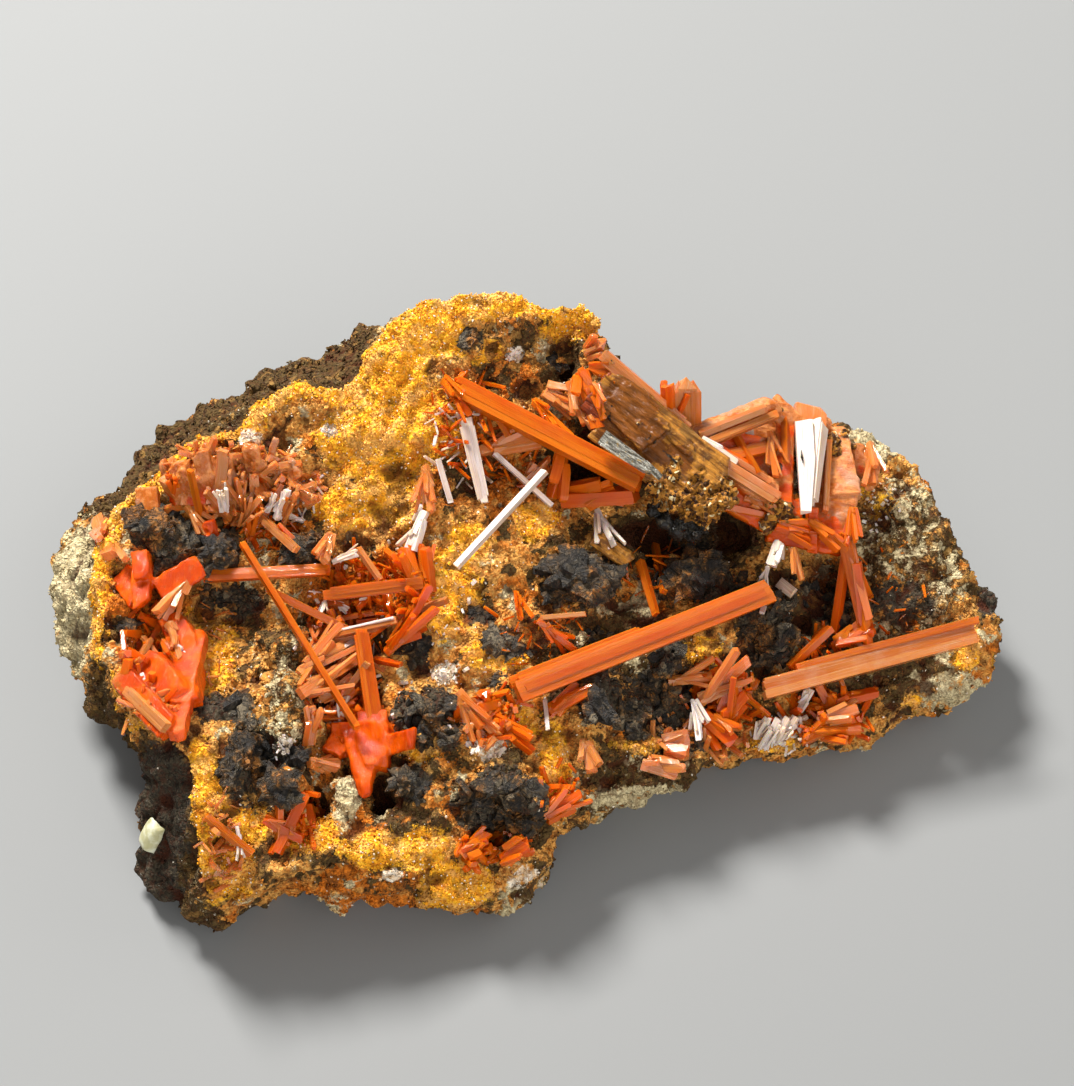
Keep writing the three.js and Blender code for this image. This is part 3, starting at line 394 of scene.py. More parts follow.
class Shader:
    """The node tree of one material, built by short calls."""

    def __init__(self, name: str) -> None:
        """Starts a material that holds one principled surface."""
        self.material = bpy.data.materials.new(name)
        self.material.use_nodes = True
        self.tree = self.material.node_tree
        self.tree.nodes.clear()
        self.surface = self.node("ShaderNodeBsdfPrincipled")
        self.node("ShaderNodeOutputMaterial", Surface=self.surface.outputs[0])

    def put(self, socket: Socket, value: object) -> None:
        """Links a socket to another, or gives it a value."""
        if isinstance(value, bpy.types.NodeSocket):
            self.tree.links.new(value, socket)
        else:
            socket.default_value = value

    def node(self, kind: str, **inputs: object) -> bpy.types.Node:
        """A new node, with its inputs linked or given values by name."""
        made = self.tree.nodes.new(kind)
        for name, value in inputs.items():
            self.put(made.inputs[name], value)
        return made

    def set(self, name: str, value: object) -> None:
        """Sets or links one input of the surface."""
        self.put(self.surface.inputs[name], value)

    def glow(self, weight: float, tints: tuple[float, float, float], reach: float) -> None:
        """Lets light wander under the surface.

        Args:
            weight: how much of the light does.
            tints: how far red, green and blue go, as shares of the reach.
            reach: in metres.
        """
        self.set("Subsurface Weight", weight)
        self.set("Subsurface Radius", tints)
        self.set("Subsurface Scale", reach)

    def place(self, kind: str = "Object") -> Socket:
        """Coordinates of a kind: the object's own, or the mesh's unwrapped ones."""
        return self.node("ShaderNodeTexCoord").outputs[kind]

    def painted(self, name: str, kind: str = "Fac") -> Socket:
        """A number or a vector stored on the mesh."""
        node = self.node("ShaderNodeAttribute")
        node.attribute_name = name
        return node.outputs[kind]

    def grain(self, vector: Socket, look: Grain) -> Socket:
        """Cloudy noise from 0 to 1."""
        if look.stretch:
            vector = self.node("ShaderNodeMapping", Vector=vector, Scale=look.stretch).outputs[0]
        sizes = {"Scale": look.scale, "Detail": look.detail, "Roughness": look.rough, "Distortion": look.bend}
        return self.node("ShaderNodeTexNoise", Vector=vector, **sizes).outputs[0]

    def crumbs(self, vector: Socket, scale: float) -> tuple[Socket, Socket]:
        """Rounded grains: their height from 0 to 1, and a tone that differs from grain to grain."""
        node = self.node("ShaderNodeTexVoronoi", Vector=self.shifted(vector, *CRUMB_BEND), Scale=scale)
        split = self.node("ShaderNodeSeparateColor", Color=node.outputs["Color"])
        return self.step(node.outputs["Distance"], *CRUMB_DOME), split.outputs[0]

    def shifted(self, vector: Socket, scale: float, reach: float) -> Socket:
        """Coordinates pushed about by cloudy noise, by up to a reach in metres."""
        cloud = self.node("ShaderNodeTexNoise", Vector=vector, Scale=scale)
        push = self.node("ShaderNodeVectorMath")
        push.operation = "MULTIPLY_ADD"
        for socket, value in zip(push.inputs, (cloud.outputs["Color"], (reach, reach, reach), vector)):
            self.put(socket, value)
        return push.outputs[0]

    def maths(self, kind: str, a: object, b: object = 0.0) -> Socket:
        """One sum of two numbers."""
        node = self.node("ShaderNodeMath")
        node.operation = kind
        self.put(node.inputs[0], a)
        self.put(node.inputs[1], b)
        return node.outputs[0]

    def times(self, a: object, b: object) -> Socket:
        """The product of two numbers."""
        return self.maths("MULTIPLY", a, b)

    def total(self, values: tuple[Socket, ...], shares: Ramp) -> Socket:
        """The sum of several values, each with its own share."""
        parts = [value if share == 1 else self.times(value, share) for value, share in zip(values, shares)]
        whole = parts[0]
        for part in parts[1:]:
            whole = self.maths("ADD", whole, part)
        return whole

    def step(self, value: object, low: float, high: float, start: float = 0, end: float = 1) -> Socket:
        """A smooth step of a value from one level to another.

        Args:
            value: what is read.
            low: where the step begins.
            high: where it ends.
            start: result below the step.
            end: result above it.

        Returns:
            The stepped value.
        """
        node = self.node("ShaderNodeMapRange")
        node.interpolation_type = "SMOOTHSTEP"
        for socket, level in zip(node.inputs, (value, low, high, start, end)):
            self.put(socket, level)
        return node.outputs[0]

    def cover(self, what: Mineral | Film, wander: Socket, levels: Ramp) -> Socket:
        """How far a mineral or a film covers a place, with a ragged edge."""
        return self.step(self.total((self.painted(what.value), wander), (1, 1)), *levels)

    def mix(self, share: object, a: object, b: object) -> Socket:
        """A colour between two others."""
        node = self.node("ShaderNodeMix")
        node.data_type = "RGBA"
        for k, value in zip(MIX_SOCKETS, (share, a, b)):
            self.put(node.inputs[k], value)
        return node.outputs[2]

    def relief(self, height: Socket, depth: float, strength: float = 1.0) -> None:
        """Gives the surface fine relief of a depth in metres."""
        node = self.node("ShaderNodeBump", Height=height, Distance=depth, Strength=strength)
        self.set("Normal", node.outputs[0])


@dataclass(frozen=True)
class GossanFinish:
    """Limonite rock: ochre, rust, umber, ash and chalk by the mineral painted on the mesh, with painted shade
    in the gaps between grains and in the hollows, and painted glints on a few crumbs.
    """

    earth: Colour = hex_colour("C06E1C")
    earth_pale: Colour = hex_colour("E8AC58")
    ochre: Colour = hex_colour("FFBE2C")
    ochre_deep: Colour = hex_colour("F49C14")
    rust: Colour = hex_colour("EA8222")
    rust_deep: Colour = hex_colour("98520E")
    umber: Colour = hex_colour("5E4824")
    umber_deep: Colour = hex_colour("3A2812")
    ash: Colour = hex_colour("DCCA9C")
    ash_deep: Colour = hex_colour("A08C62")
    soot: Colour = hex_colour("191510")
    soot_pale: Colour = hex_colour("4C4232")
    chalk: Colour = hex_colour("FFF2DC")
    chalk_deep: Colour = hex_colour("D8A868")
    # painted shade: colours for the gaps between grains and for the hollows
    painted_shade: Colour = hex_colour("481C06")
    ochre_painted_shade: Colour = hex_colour("BC7012")
    broad: Grain = Grain(240, 5, 0.6)
    middle: Grain = Grain(900, 6, 0.7)
    fine: Grain = Grain(4200, 4, 0.65)
    stain: Grain = Grain(460, 6, 0.75)
    stain_bend: Ramp = (900, 0.001)
    crumb_scale: float = 3400
    clod_scale: float = 1500
    tone_shares: Ramp = (0.35, 0.5, 0.45)
    tone_levels: Ramp = (0.25, 0.85)
    rust_levels: Ramp = (0.5, 0.64)
    wander_levels: Ramp = (0.3, 0.7, -0.4, 0.4)
    cover_levels: Ramp = (0.36, 0.6)
    bare_of_oxide: Ramp = (0.2, 0.5, 0.55, 0.0)
    bare_of_ash: Ramp = (0.3, 0.7, 1.0, 0.2)
    bare_of_umber: Ramp = (0.4, 0.9, 1.0, 0.35)
    pale_clods: Ramp = (0.86, 0.92)
    dark_clods: Ramp = (0.14, 0.08)
    height_shares: Ramp = (0.45, 0.5, 0.4, 0.6)
    painted_shade_levels: Ramp = (0.56, 0.8, 0.4, 0.0)
    powder_levels: Ramp = (0.3, 0.7)
    pale_stain: Ramp = (0.48, 0.58, 0.0, 0.85)
    dark_stain: Ramp = (0.46, 0.38, 0.0, 0.75)
    shaded_hollow_levels: Ramp = (0.1, 0.9)
    shaded_hollow_share: float = 0.8
    # painted glints: crumbs of the highest tint turn chalk white, and glossier
    painted_glint_levels: Ramp = (0.95, 0.97)
    painted_glint_share: float = 0.8
    rough_shares: Ramp = (0.92, 1)
    rough_levels: Ramp = (0.84, 0.9, 0.95, 0.25)
    shine: float = 0.22
    smooth_powder: Ramp = (0.3, 0.8, 1.0, 0.6)
    relief_depth: float = 0.0005

    def make(self) -> bpy.types.Material:
        """The material."""
        s = Shader("gossan")
        at = s.place()
        broad, middle, fine = s.grain(at, self.broad), s.grain(at, self.middle), s.grain(at, self.fine)
        crumb, crumb_tone = s.crumbs(at, self.crumb_scale)
        clod, clod_tone = s.crumbs(at, self.clod_scale)
        own = s.painted("tint")
        tone = s.step(s.total((crumb_tone, own, middle), self.tone_shares), *self.tone_levels)
        colour = s.mix(tone, self.earth, self.earth_pale)
        colour = s.mix(s.step(broad, *self.rust_levels), colour, s.mix(tone, self.rust_deep, self.rust))
        wander = s.step(middle, *self.wander_levels)
        layers = (
            (RUST, self.rust, self.rust_deep),
            (UMBER, self.umber, self.umber_deep),
            (ASH, self.ash, self.ash_deep),
            (OCHRE, self.ochre, self.ochre_deep),
            (CHALK, self.chalk, self.chalk_deep),
            (MANGANESE, self.soot_pale, self.soot),
        )
        for mineral, light, dark in layers:
            colour = s.mix(s.cover(mineral, wander, self.cover_levels), colour, s.mix(tone, dark, light))
        bare = s.step(s.painted(MANGANESE.value), *self.bare_of_oxide)
        bare = s.times(bare, s.step(s.painted(ASH.value), *self.bare_of_ash))
        bare = s.times(bare, s.step(s.painted(UMBER.value), *self.bare_of_umber))
        colour = s.mix(s.times(s.step(clod_tone, *self.pale_clods), bare), colour, self.earth_pale)
        colour = s.mix(s.times(s.step(clod_tone, *self.dark_clods), bare), colour, self.umber_deep)
        height = s.total((crumb, clod, fine, middle), self.height_shares)
        powdery = s.step(s.painted(OCHRE.value), *self.powder_levels)
        # painted shade: darker where the grain height is low, between the grains
        colour = s.mix(s.step(height, *self.painted_shade_levels), colour, s.mix(powdery, self.painted_shade, self.ochre_painted_shade))
        stain = s.grain(s.shifted(at, *self.stain_bend), self.stain)
        colour = s.mix(s.times(s.step(stain, *self.pale_stain), powdery), colour, self.earth_pale)
        colour = s.mix(s.times(s.step(stain, *self.dark_stain), powdery), colour, self.earth)
        # painted shade in the hollows
        hollow = s.step(s.painted(SHADED_HOLLOW.value), *self.shaded_hollow_levels)
        colour = s.mix(s.times(hollow, self.shaded_hollow_share), colour, self.painted_shade)
        # painted glints: chalk white crumbs stand for sparkle, with lower roughness too
        painted_glint = s.step(own, *self.painted_glint_levels)
        s.set("Base Color", s.mix(s.times(painted_glint, self.painted_glint_share), colour, self.chalk))
        s.set("Roughness", s.step(s.total((crumb_tone, painted_glint), self.rough_shares), *self.rough_levels))
        s.set("Specular IOR Level", self.shine)
        s.relief(s.times(height, s.step(s.painted(OCHRE.value), *self.smooth_powder)), self.relief_depth)
        return s.material


@dataclass(frozen=True)
class CrocoiteFinish:
    """Translucent lead chromate with lengthwise striae, cross cracks and pale streaks of painted sheen."""

    name: str
    bright: Colour
    deep: Colour
    # colour of the painted sheen
    painted_sheen: Colour
    flaw: Colour
    painted_sheen_share: float
    glow: float
    clear: float
    gloss: float
    shine: float
    lined: float
    striae: Grain = Grain(1.0, 4, 0.6, stretch=(6.0, 0.12, 1.0))
    lines: Grain = Grain(1.0, 3, 0.5, stretch=(15.0, 0.22, 1.0))
    broad: Grain = Grain(1.0, 3, 0.5, stretch=(1.2, 0.25, 1.0))
    cracks: Grain = Grain(1.0, 5, 0.65, stretch=(0.9, 2.6, 1.0))
    cloud: Grain = Grain(500, 4, 0.6)
    tone_shares: Ramp = (0.35, 0.5, 0.5)
    tone_levels: Ramp = (0.4, 0.95)
    cloud_sheen: Ramp = (0.5, 0.75, 0.0, 0.3)
    line_sheen: Ramp = (0.34, 0.44, 0.6, 0.0)
    crack_levels: Ramp = (0.6, 0.7, 0.0, 0.25)
    line_levels: Ramp = (0.56, 0.66, 0.0)
    rough_levels: Ramp = (0.35, 0.7)
    rough_spread: float = 0.08
    glow_tints: tuple[float, float, float] = (1.0, 0.4, 0.08)
    glow_reach: float = 0.0014
    height_shares: Ramp = (1, 0.4, 0.3)
    relief_depth: float = 0.00006
    relief_strength: float = 0.8

    def make(self) -> bpy.types.Material:
        """The material."""
        s = Shader(self.name)
        run = s.place("UV")
        striae, lines = s.grain(run, self.striae), s.grain(run, self.lines)
        broad, cracks = s.grain(run, self.broad), s.grain(run, self.cracks)
        cloud = s.grain(s.place(), self.cloud)
        share = s.total((s.painted("tint"), broad, striae), self.tone_shares)
        colour = s.mix(s.step(share, *self.tone_levels), self.deep, self.bright)
        # painted sheen: pale streaks laid into the colour along clouds and striae
        sheen_veil = s.maths("ADD", s.step(cloud, *self.cloud_sheen), s.step(lines, *self.line_sheen))
        colour = s.mix(s.times(sheen_veil, self.painted_sheen_share), colour, self.painted_sheen)
        lined = s.step(lines, *self.line_levels, self.lined)
        dark = s.maths("MAXIMUM", s.step(cracks, *self.crack_levels), lined)
        s.set("Base Color", s.mix(dark, colour, self.flaw))
        s.set("Roughness", s.step(cloud, *self.rough_levels, self.gloss, self.gloss + self.rough_spread))
        s.set("IOR", REFRACTION)
        s.set("Specular IOR Level", self.shine)
        s.set("Transmission Weight", self.clear)
        s.glow(self.glow, self.glow_tints, self.glow_reach)
        s.relief(s.total((striae, lines, cloud), self.height_shares), self.relief_depth, self.relief_strength)
        return s.material


@dataclass(frozen=True)
class CoatedFinish:
    """Crocoite under a striated brown limonite film, with bare faces, crumbs and black oxide in places."""

    film: Colour = hex_colour("AA7026")
    film_deep: Colour = hex_colour("5E3814")
    film_pale: Colour = hex_colour("CE9646")
    slab: Colour = hex_colour("7C4616")
    slab_deep: Colour = hex_colour("4E2A0A")
    olive: Colour = hex_colour("94682E")
    olive_deep: Colour = hex_colour("543412")
    ember: Colour = hex_colour("8E3808")
    ember_deep: Colour = hex_colour("4A1804")
    crust: Colour = hex_colour("A06A22")
    crust_deep: Colour = hex_colour("341C0A")
    crust_pale: Colour = hex_colour("DCC898")
    soot: Colour = hex_colour("16130F")
    soot_pale: Colour = hex_colour("4E463A")
    striae: Grain = Grain(1.0, 5, 0.6, stretch=(0.22, 3.2, 3.2))
    blotch: Grain = Grain(520, 5, 0.65)
    fine: Grain = Grain(2600, 5, 0.65)
    tone_shares: Ramp = (0.7, 0.5)
    tone_levels: Ramp = (0.48, 0.72)
    pale_levels: Ramp = (0.52, 0.7)
    pale_share: float = 0.5
    wander_levels: Ramp = (0.3, 0.7, -0.3, 0.3)
    film_levels: Ramp = (0.36, 0.6)
    film_tone: Ramp = (0.45, 0.8)
    earth_shares: Ramp = (1, 0.5)
    earth_levels: Ramp = (0.3, 1.0)
    chip_levels: Ramp = (0.95, 0.97)
    crust_levels: Ramp = (0.4, 0.6)
    soot_levels: Ramp = (0.5, 0.75)
    rough_levels: Ramp = (0.4, 0.8, 0.3, 0.5)
    crust_rough: float = 0.35
    slick_shares: Ramp = (0.25, 0.15)
    shine: float = 0.15
    glow: float = 0.1
    glow_tints: tuple[float, float, float] = (1.0, 0.35, 0.1)
    glow_reach: float = 0.0008
    height_shares: Ramp = (0.3, 0.5, 0.8)
    relief_depth: float = 0.0003
    relief_strength: float = 0.9

    def make(self) -> bpy.types.Material:
        """The material."""
        s = Shader("coated_crocoite")
        at = s.place()
        striae = s.grain(s.painted("run", "Vector"), self.striae)
        blotch, fine = s.grain(at, self.blotch), s.grain(at, self.fine)
        crumb, crumb_tone = s.crumbs(at, CRUMB_SCALE)
        tone = s.total((striae, blotch), self.tone_shares)
        colour = s.mix(s.step(tone, *self.tone_levels), self.film_deep, self.film)
        colour = s.mix(s.times(s.step(fine, *self.pale_levels), self.pale_share), colour, self.film_pale)
        wander = s.step(fine, *self.wander_levels)
        layers = (
            (OLIVE, self.olive, self.olive_deep),
            (SLAB, self.slab, self.slab_deep),
            (EMBER, self.ember, self.ember_deep),
        )
        for film, light, dark in layers:
            bare = s.mix(s.step(tone, *self.film_tone), dark, light)
            colour = s.mix(s.cover(film, wander, self.film_levels), colour, bare)
        earth = s.step(s.total((crumb_tone, blotch), self.earth_shares), *self.earth_levels)
        earth = s.mix(earth, self.crust_deep, self.crust)
        earth = s.mix(s.step(crumb_tone, *self.chip_levels), earth, self.crust_pale)
        crusty = s.cover(CRUST, wander, self.crust_levels)
        sooty = s.cover(SOOT, wander, self.crust_levels)
        colour = s.mix(crusty, colour, earth)
        black = s.mix(s.step(fine, *self.soot_levels), self.soot, self.soot_pale)
        s.set("Base Color", s.mix(sooty, colour, black))
        rough = s.total((s.step(fine, *self.rough_levels), crusty), (1, self.crust_rough))
        slick = s.total((sooty, s.painted(SLAB.value)), self.slick_shares)
        s.set("Roughness", s.maths("SUBTRACT", rough, slick))
        s.set("IOR", REFRACTION)
        s.set("Specular IOR Level", self.shine)
        s.glow(self.glow, self.glow_tints, self.glow_reach)
        height = s.total((fine, striae, s.times(crumb, crusty)), self.height_shares)
        s.relief(height, self.relief_depth, self.relief_strength)
        return s.material


@dataclass(frozen=True)
class MassiveFinish:
    """Waxy crocoite grown together: salmon where weathered, fiery where fresh, earthy in its gaps."""

    salmon: Colour = hex_colour("D88C50")
    salmon_deep: Colour = hex_colour("B25C1C")
    mauve: Colour = hex_colour("BC8460")
    fresh: Colour = hex_colour("EA5C04")
    fresh_deep: Colour = hex_colour("C44002")
    crust: Colour = hex_colour("B87A24")
    crust_deep: Colour = hex_colour("4A2A0E")
    crust_pale: Colour = hex_colour("E0CCA0")
    soot: Colour = hex_colour("3A1A0A")
    film: Colour = hex_colour("A8682C")
    pit: Colour = hex_colour("7A3A18")
    broad: Grain = Grain(380, 4, 0.6)
    cloud: Grain = Grain(1000, 5, 0.65)
    fine: Grain = Grain(3200, 4, 0.6)
    seams: Grain = Grain(1.0, 5, 0.7, stretch=(0.5, 3.4, 3.4))
    salmon_levels: Ramp = (0.42, 0.6)
    mauve_levels: Ramp = (0.5, 0.62)
    film_levels: Ramp = (0.54, 0.66, 0.0, 0.55)
    fresh_levels: Ramp = (0.4, 0.6)
    deep_seams: Ramp = (0.56, 0.7, 0.0, 0.7)
    pale_seams: Ramp = (0.42, 0.34, 0.0, 0.35)
    wander_levels: Ramp = (0.3, 0.7, -0.35, 0.35)
    ember_levels: Ramp = (0.3, 0.75)
    pit_levels: Ramp = (0.6, 0.7, 0.0, 0.5)
    crust_levels: Ramp = (0.4, 0.6)
    earth_levels: Ramp = (0.2, 0.9)
    chip_levels: Ramp = (0.93, 0.96)
    rough_levels: Ramp = (0.4, 0.7, 0.06, 0.16)
    crust_rough: float = 0.7
    shine: float = 0.13
    clear: float = 0.2
    glow: float = 0.3
    glow_tints: tuple[float, float, float] = (1.0, 0.45, 0.1)
    glow_reach: float = 0.0008
    height_shares: Ramp = (0.25, 0.5, 0.8)
    relief_depth: float = 0.0003
    relief_strength: float = 0.8

    def make(self) -> bpy.types.Material:
        """The material."""
        s = Shader("massive_crocoite")
        at = s.place()
        broad, cloud, fine = s.grain(at, self.broad), s.grain(at, self.cloud), s.grain(at, self.fine)
        crumb, crumb_tone = s.crumbs(at, CRUMB_SCALE)
        seams = s.grain(s.painted("run", "Vector"), self.seams)
        weathered = s.mix(s.step(cloud, *self.salmon_levels), self.salmon_deep, self.salmon)
        weathered = s.mix(s.step(broad, *self.mauve_levels), weathered, self.mauve)
        weathered = s.mix(s.step(seams, *self.film_levels), weathered, self.film)
        fresh = s.mix(s.step(broad, *self.fresh_levels), self.fresh_deep, self.fresh)
        fresh = s.mix(s.step(seams, *self.deep_seams), fresh, self.fresh_deep)
        fresh = s.mix(s.step(seams, *self.pale_seams), fresh, self.salmon)
        wander = s.step(cloud, *self.wander_levels)
        colour = s.mix(s.cover(EMBER, wander, self.ember_levels), weathered, fresh)
        colour = s.mix(s.step(fine, *self.pit_levels), colour, self.pit)
        crusty = s.cover(CRUST, wander, self.crust_levels)
        sooty = s.cover(SOOT, wander, self.crust_levels)
        earth = s.mix(s.step(crumb_tone, *self.earth_levels), self.crust_deep, self.crust)
        earth = s.mix(s.step(crumb_tone, *self.chip_levels), earth, self.crust_pale)
        colour = s.mix(crusty, colour, earth)
        s.set("Base Color", s.mix(sooty, colour, self.soot))
        s.set("Roughness", s.total((s.step(fine, *self.rough_levels), crusty), (1, self.crust_rough)))
        s.set("IOR", REFRACTION)
        s.set("Specular IOR Level", self.shine)
        s.set("Transmission Weight", self.clear)
        s.glow(self.glow, self.glow_tints, self.glow_reach)
        height = s.total((fine, seams, s.times(crumb, crusty)), self.height_shares)
        s.relief(height, self.relief_depth, self.relief_strength)
        return s.material


@dataclass(frozen=True)
class PewterFinish:
    """Crocoite under a thin silvery oxide film, deeply striated and flecked with gold-brown."""

    silver: Colour = hex_colour("B4B0A2")
    dull: Colour = hex_colour("4C4638")
    fleck: Colour = hex_colour("B08A40")
    striae: Grain = Grain(1.0, 5, 0.65, stretch=(5.0, 0.8, 1.0))
    fine: Grain = Grain(2600, 4, 0.6)
    silver_levels: Ramp = (0.4, 0.62)
    fleck_levels: Ramp = (0.58, 0.68)
    metal: float = 0.55
    rough_levels: Ramp = (0.4, 0.7, 0.22, 0.5)
    height_shares: Ramp = (1, 0.5)
    relief_depth: float = 0.0003

    def make(self) -> bpy.types.Material:
        """The material."""
        s = Shader("pewter_crocoite")
        striae, fine = s.grain(s.place("UV"), self.striae), s.grain(s.place(), self.fine)
        colour = s.mix(s.step(striae, *self.silver_levels), self.dull, self.silver)
        s.set("Base Color", s.mix(s.step(fine, *self.fleck_levels), colour, self.fleck))
        s.set("Metallic", self.metal)
        s.set("Roughness", s.step(fine, *self.rough_levels))
        s.relief(s.total((striae, fine), self.height_shares), self.relief_depth)
        return s.material


@dataclass(frozen=True)
class CrustFinish:
    """Black manganese oxide: matte in the creases, faintly metallic on the swellings, with painted shade
    darkening the creases.
    """

    soot: Colour = hex_colour("221B12")
    lead: Colour = hex_colour("70624A")
    olive: Colour = hex_colour("66491F")
    rust: Colour = hex_colour("A8661C")
    # painted shade for the creases
    painted_shade: Colour = hex_colour("0A0806")
    broad: Grain = Grain(420, 4, 0.6)
    fine: Grain = Grain(2600, 5, 0.7)
    curls: Grain = Grain(1300, 3, 0.55, 1.2)
    tone_shares: Ramp = (0.7, 0.5)
    tone_levels: Ramp = (0.45, 1.0)
    olive_levels: Ramp = (0.42, 0.6, 0.0, 0.75)
    dust_shares: Ramp = (1, 0.3)
    dust_levels: Ramp = (0.68, 0.78, 0.0, 0.6)
    curl_middle: float = 0.5
    curl_levels: Ramp = (0.0, 0.12)
    height_shares: Ramp = (0.6, 0.5)
    painted_shade_levels: Ramp = (0.35, 0.65, 0.7, 0.0)
    rough_levels: Ramp = (0.5, 0.7, 0.7, 0.4)
    shine: float = 0.4
    relief_depth: float = 0.0004

    def make(self) -> bpy.types.Material:
        """The material."""
        s = Shader("manganese_crust")
        at = s.place()
        broad, fine = s.grain(at, self.broad), s.grain(at, self.fine)
        tone = s.total((fine, s.painted("tint")), self.tone_shares)
        colour = s.mix(s.step(tone, *self.tone_levels), self.soot, self.lead)
        colour = s.mix(s.step(broad, *self.olive_levels), colour, self.olive)
        colour = s.mix(s.step(s.total((broad, fine), self.dust_shares), *self.dust_levels), colour, self.rust)
        folds = s.maths("ABSOLUTE", s.maths("SUBTRACT", s.grain(at, self.curls), self.curl_middle))
        height = s.total((fine, s.step(folds, *self.curl_levels)), self.height_shares)
        # painted shade: near black where the folds sink low
        s.set("Base Color", s.mix(s.step(height, *self.painted_shade_levels), colour, self.painted_shade))
        s.set("Roughness", s.step(fine, *self.rough_levels))
        s.set("Specular IOR Level", self.shine)
        s.relief(height, self.relief_depth)
        return s.material


@dataclass(frozen=True)
class PaleGrainFinish:
    """Waxy greenish-white grain, mottled with yellower patches."""

    top: Colour = hex_colour("D9D8BC")
    foot: Colour = hex_colour("B7B184")
    mottle: Grain = Grain(900, 4, 0.55)
    foot_levels: Ramp = (0.4, 0.65)
    rough_levels: Ramp = (0.3, 0.7, 0.3, 0.5)
    glow: float = 0.3
    glow_tints: tuple[float, float, float] = (1.0, 0.9, 0.6)
    glow_reach: float = 0.0008
    relief_depth: float = 0.0002
    relief_strength: float = 0.5

    def make(self) -> bpy.types.Material:
        """The material."""
        s = Shader("pale_grain")
        mottle = s.grain(s.place(), self.mottle)
        s.set("Base Color", s.mix(s.step(mottle, *self.foot_levels), self.foot, self.top))
        s.set("Roughness", s.step(mottle, *self.rough_levels))
        s.glow(self.glow, self.glow_tints, self.glow_reach)
        s.relief(mottle, self.relief_depth, self.relief_strength)
        return s.material


@dataclass(frozen=True)
class FloorFinish:
    """Plain pale floor."""

    pale: Colour = hex_colour("7C7C7A")
    rough: float = 0.7
    shine: float = 0.2

    def make(self) -> bpy.types.Material:
        """The material."""
        s = Shader("pale_floor")
        s.set("Base Color", self.pale)
        s.set("Roughness", self.rough)
        s.set("Specular IOR Level", self.shine)
        return s.material


FINISHES = {
    RED: CrocoiteFinish(
        name="crocoite_red", bright=hex_colour("F67612"), deep=hex_colour("DC5206"),
        painted_sheen=hex_colour("F49A60"), flaw=hex_colour("A03806"),
        painted_sheen_share=0.12, glow=0.4, clear=0.4, gloss=0.05, shine=0.16, lined=0.2,
    ),
    SALMON: CrocoiteFinish(
        name="crocoite_salmon", bright=hex_colour("F4964E"), deep=hex_colour("E07024"),
        painted_sheen=hex_colour("FAD2B0"), flaw=hex_colour("B05014"),
        painted_sheen_share=0.5, glow=0.35, clear=0.45, gloss=0.04, shine=0.25, lined=0.2,
    ),
    # painted glare: pale base colours; these faces also glint for real
    SILKY: CrocoiteFinish(
        name="crocoite_silky_painted_glare", bright=hex_colour("E8D6C8"), deep=hex_colour("D6B296"),
        painted_sheen=hex_colour("F4ECE4"), flaw=hex_colour("8E6A52"),
        painted_sheen_share=0.55, glow=0.25, clear=0.2, gloss=0.3, shine=0.3, lined=0.6,
    ),
    COATED: CoatedFinish(),
    PEWTER: PewterFinish(),
    MASSIVE: MassiveFinish(),
}


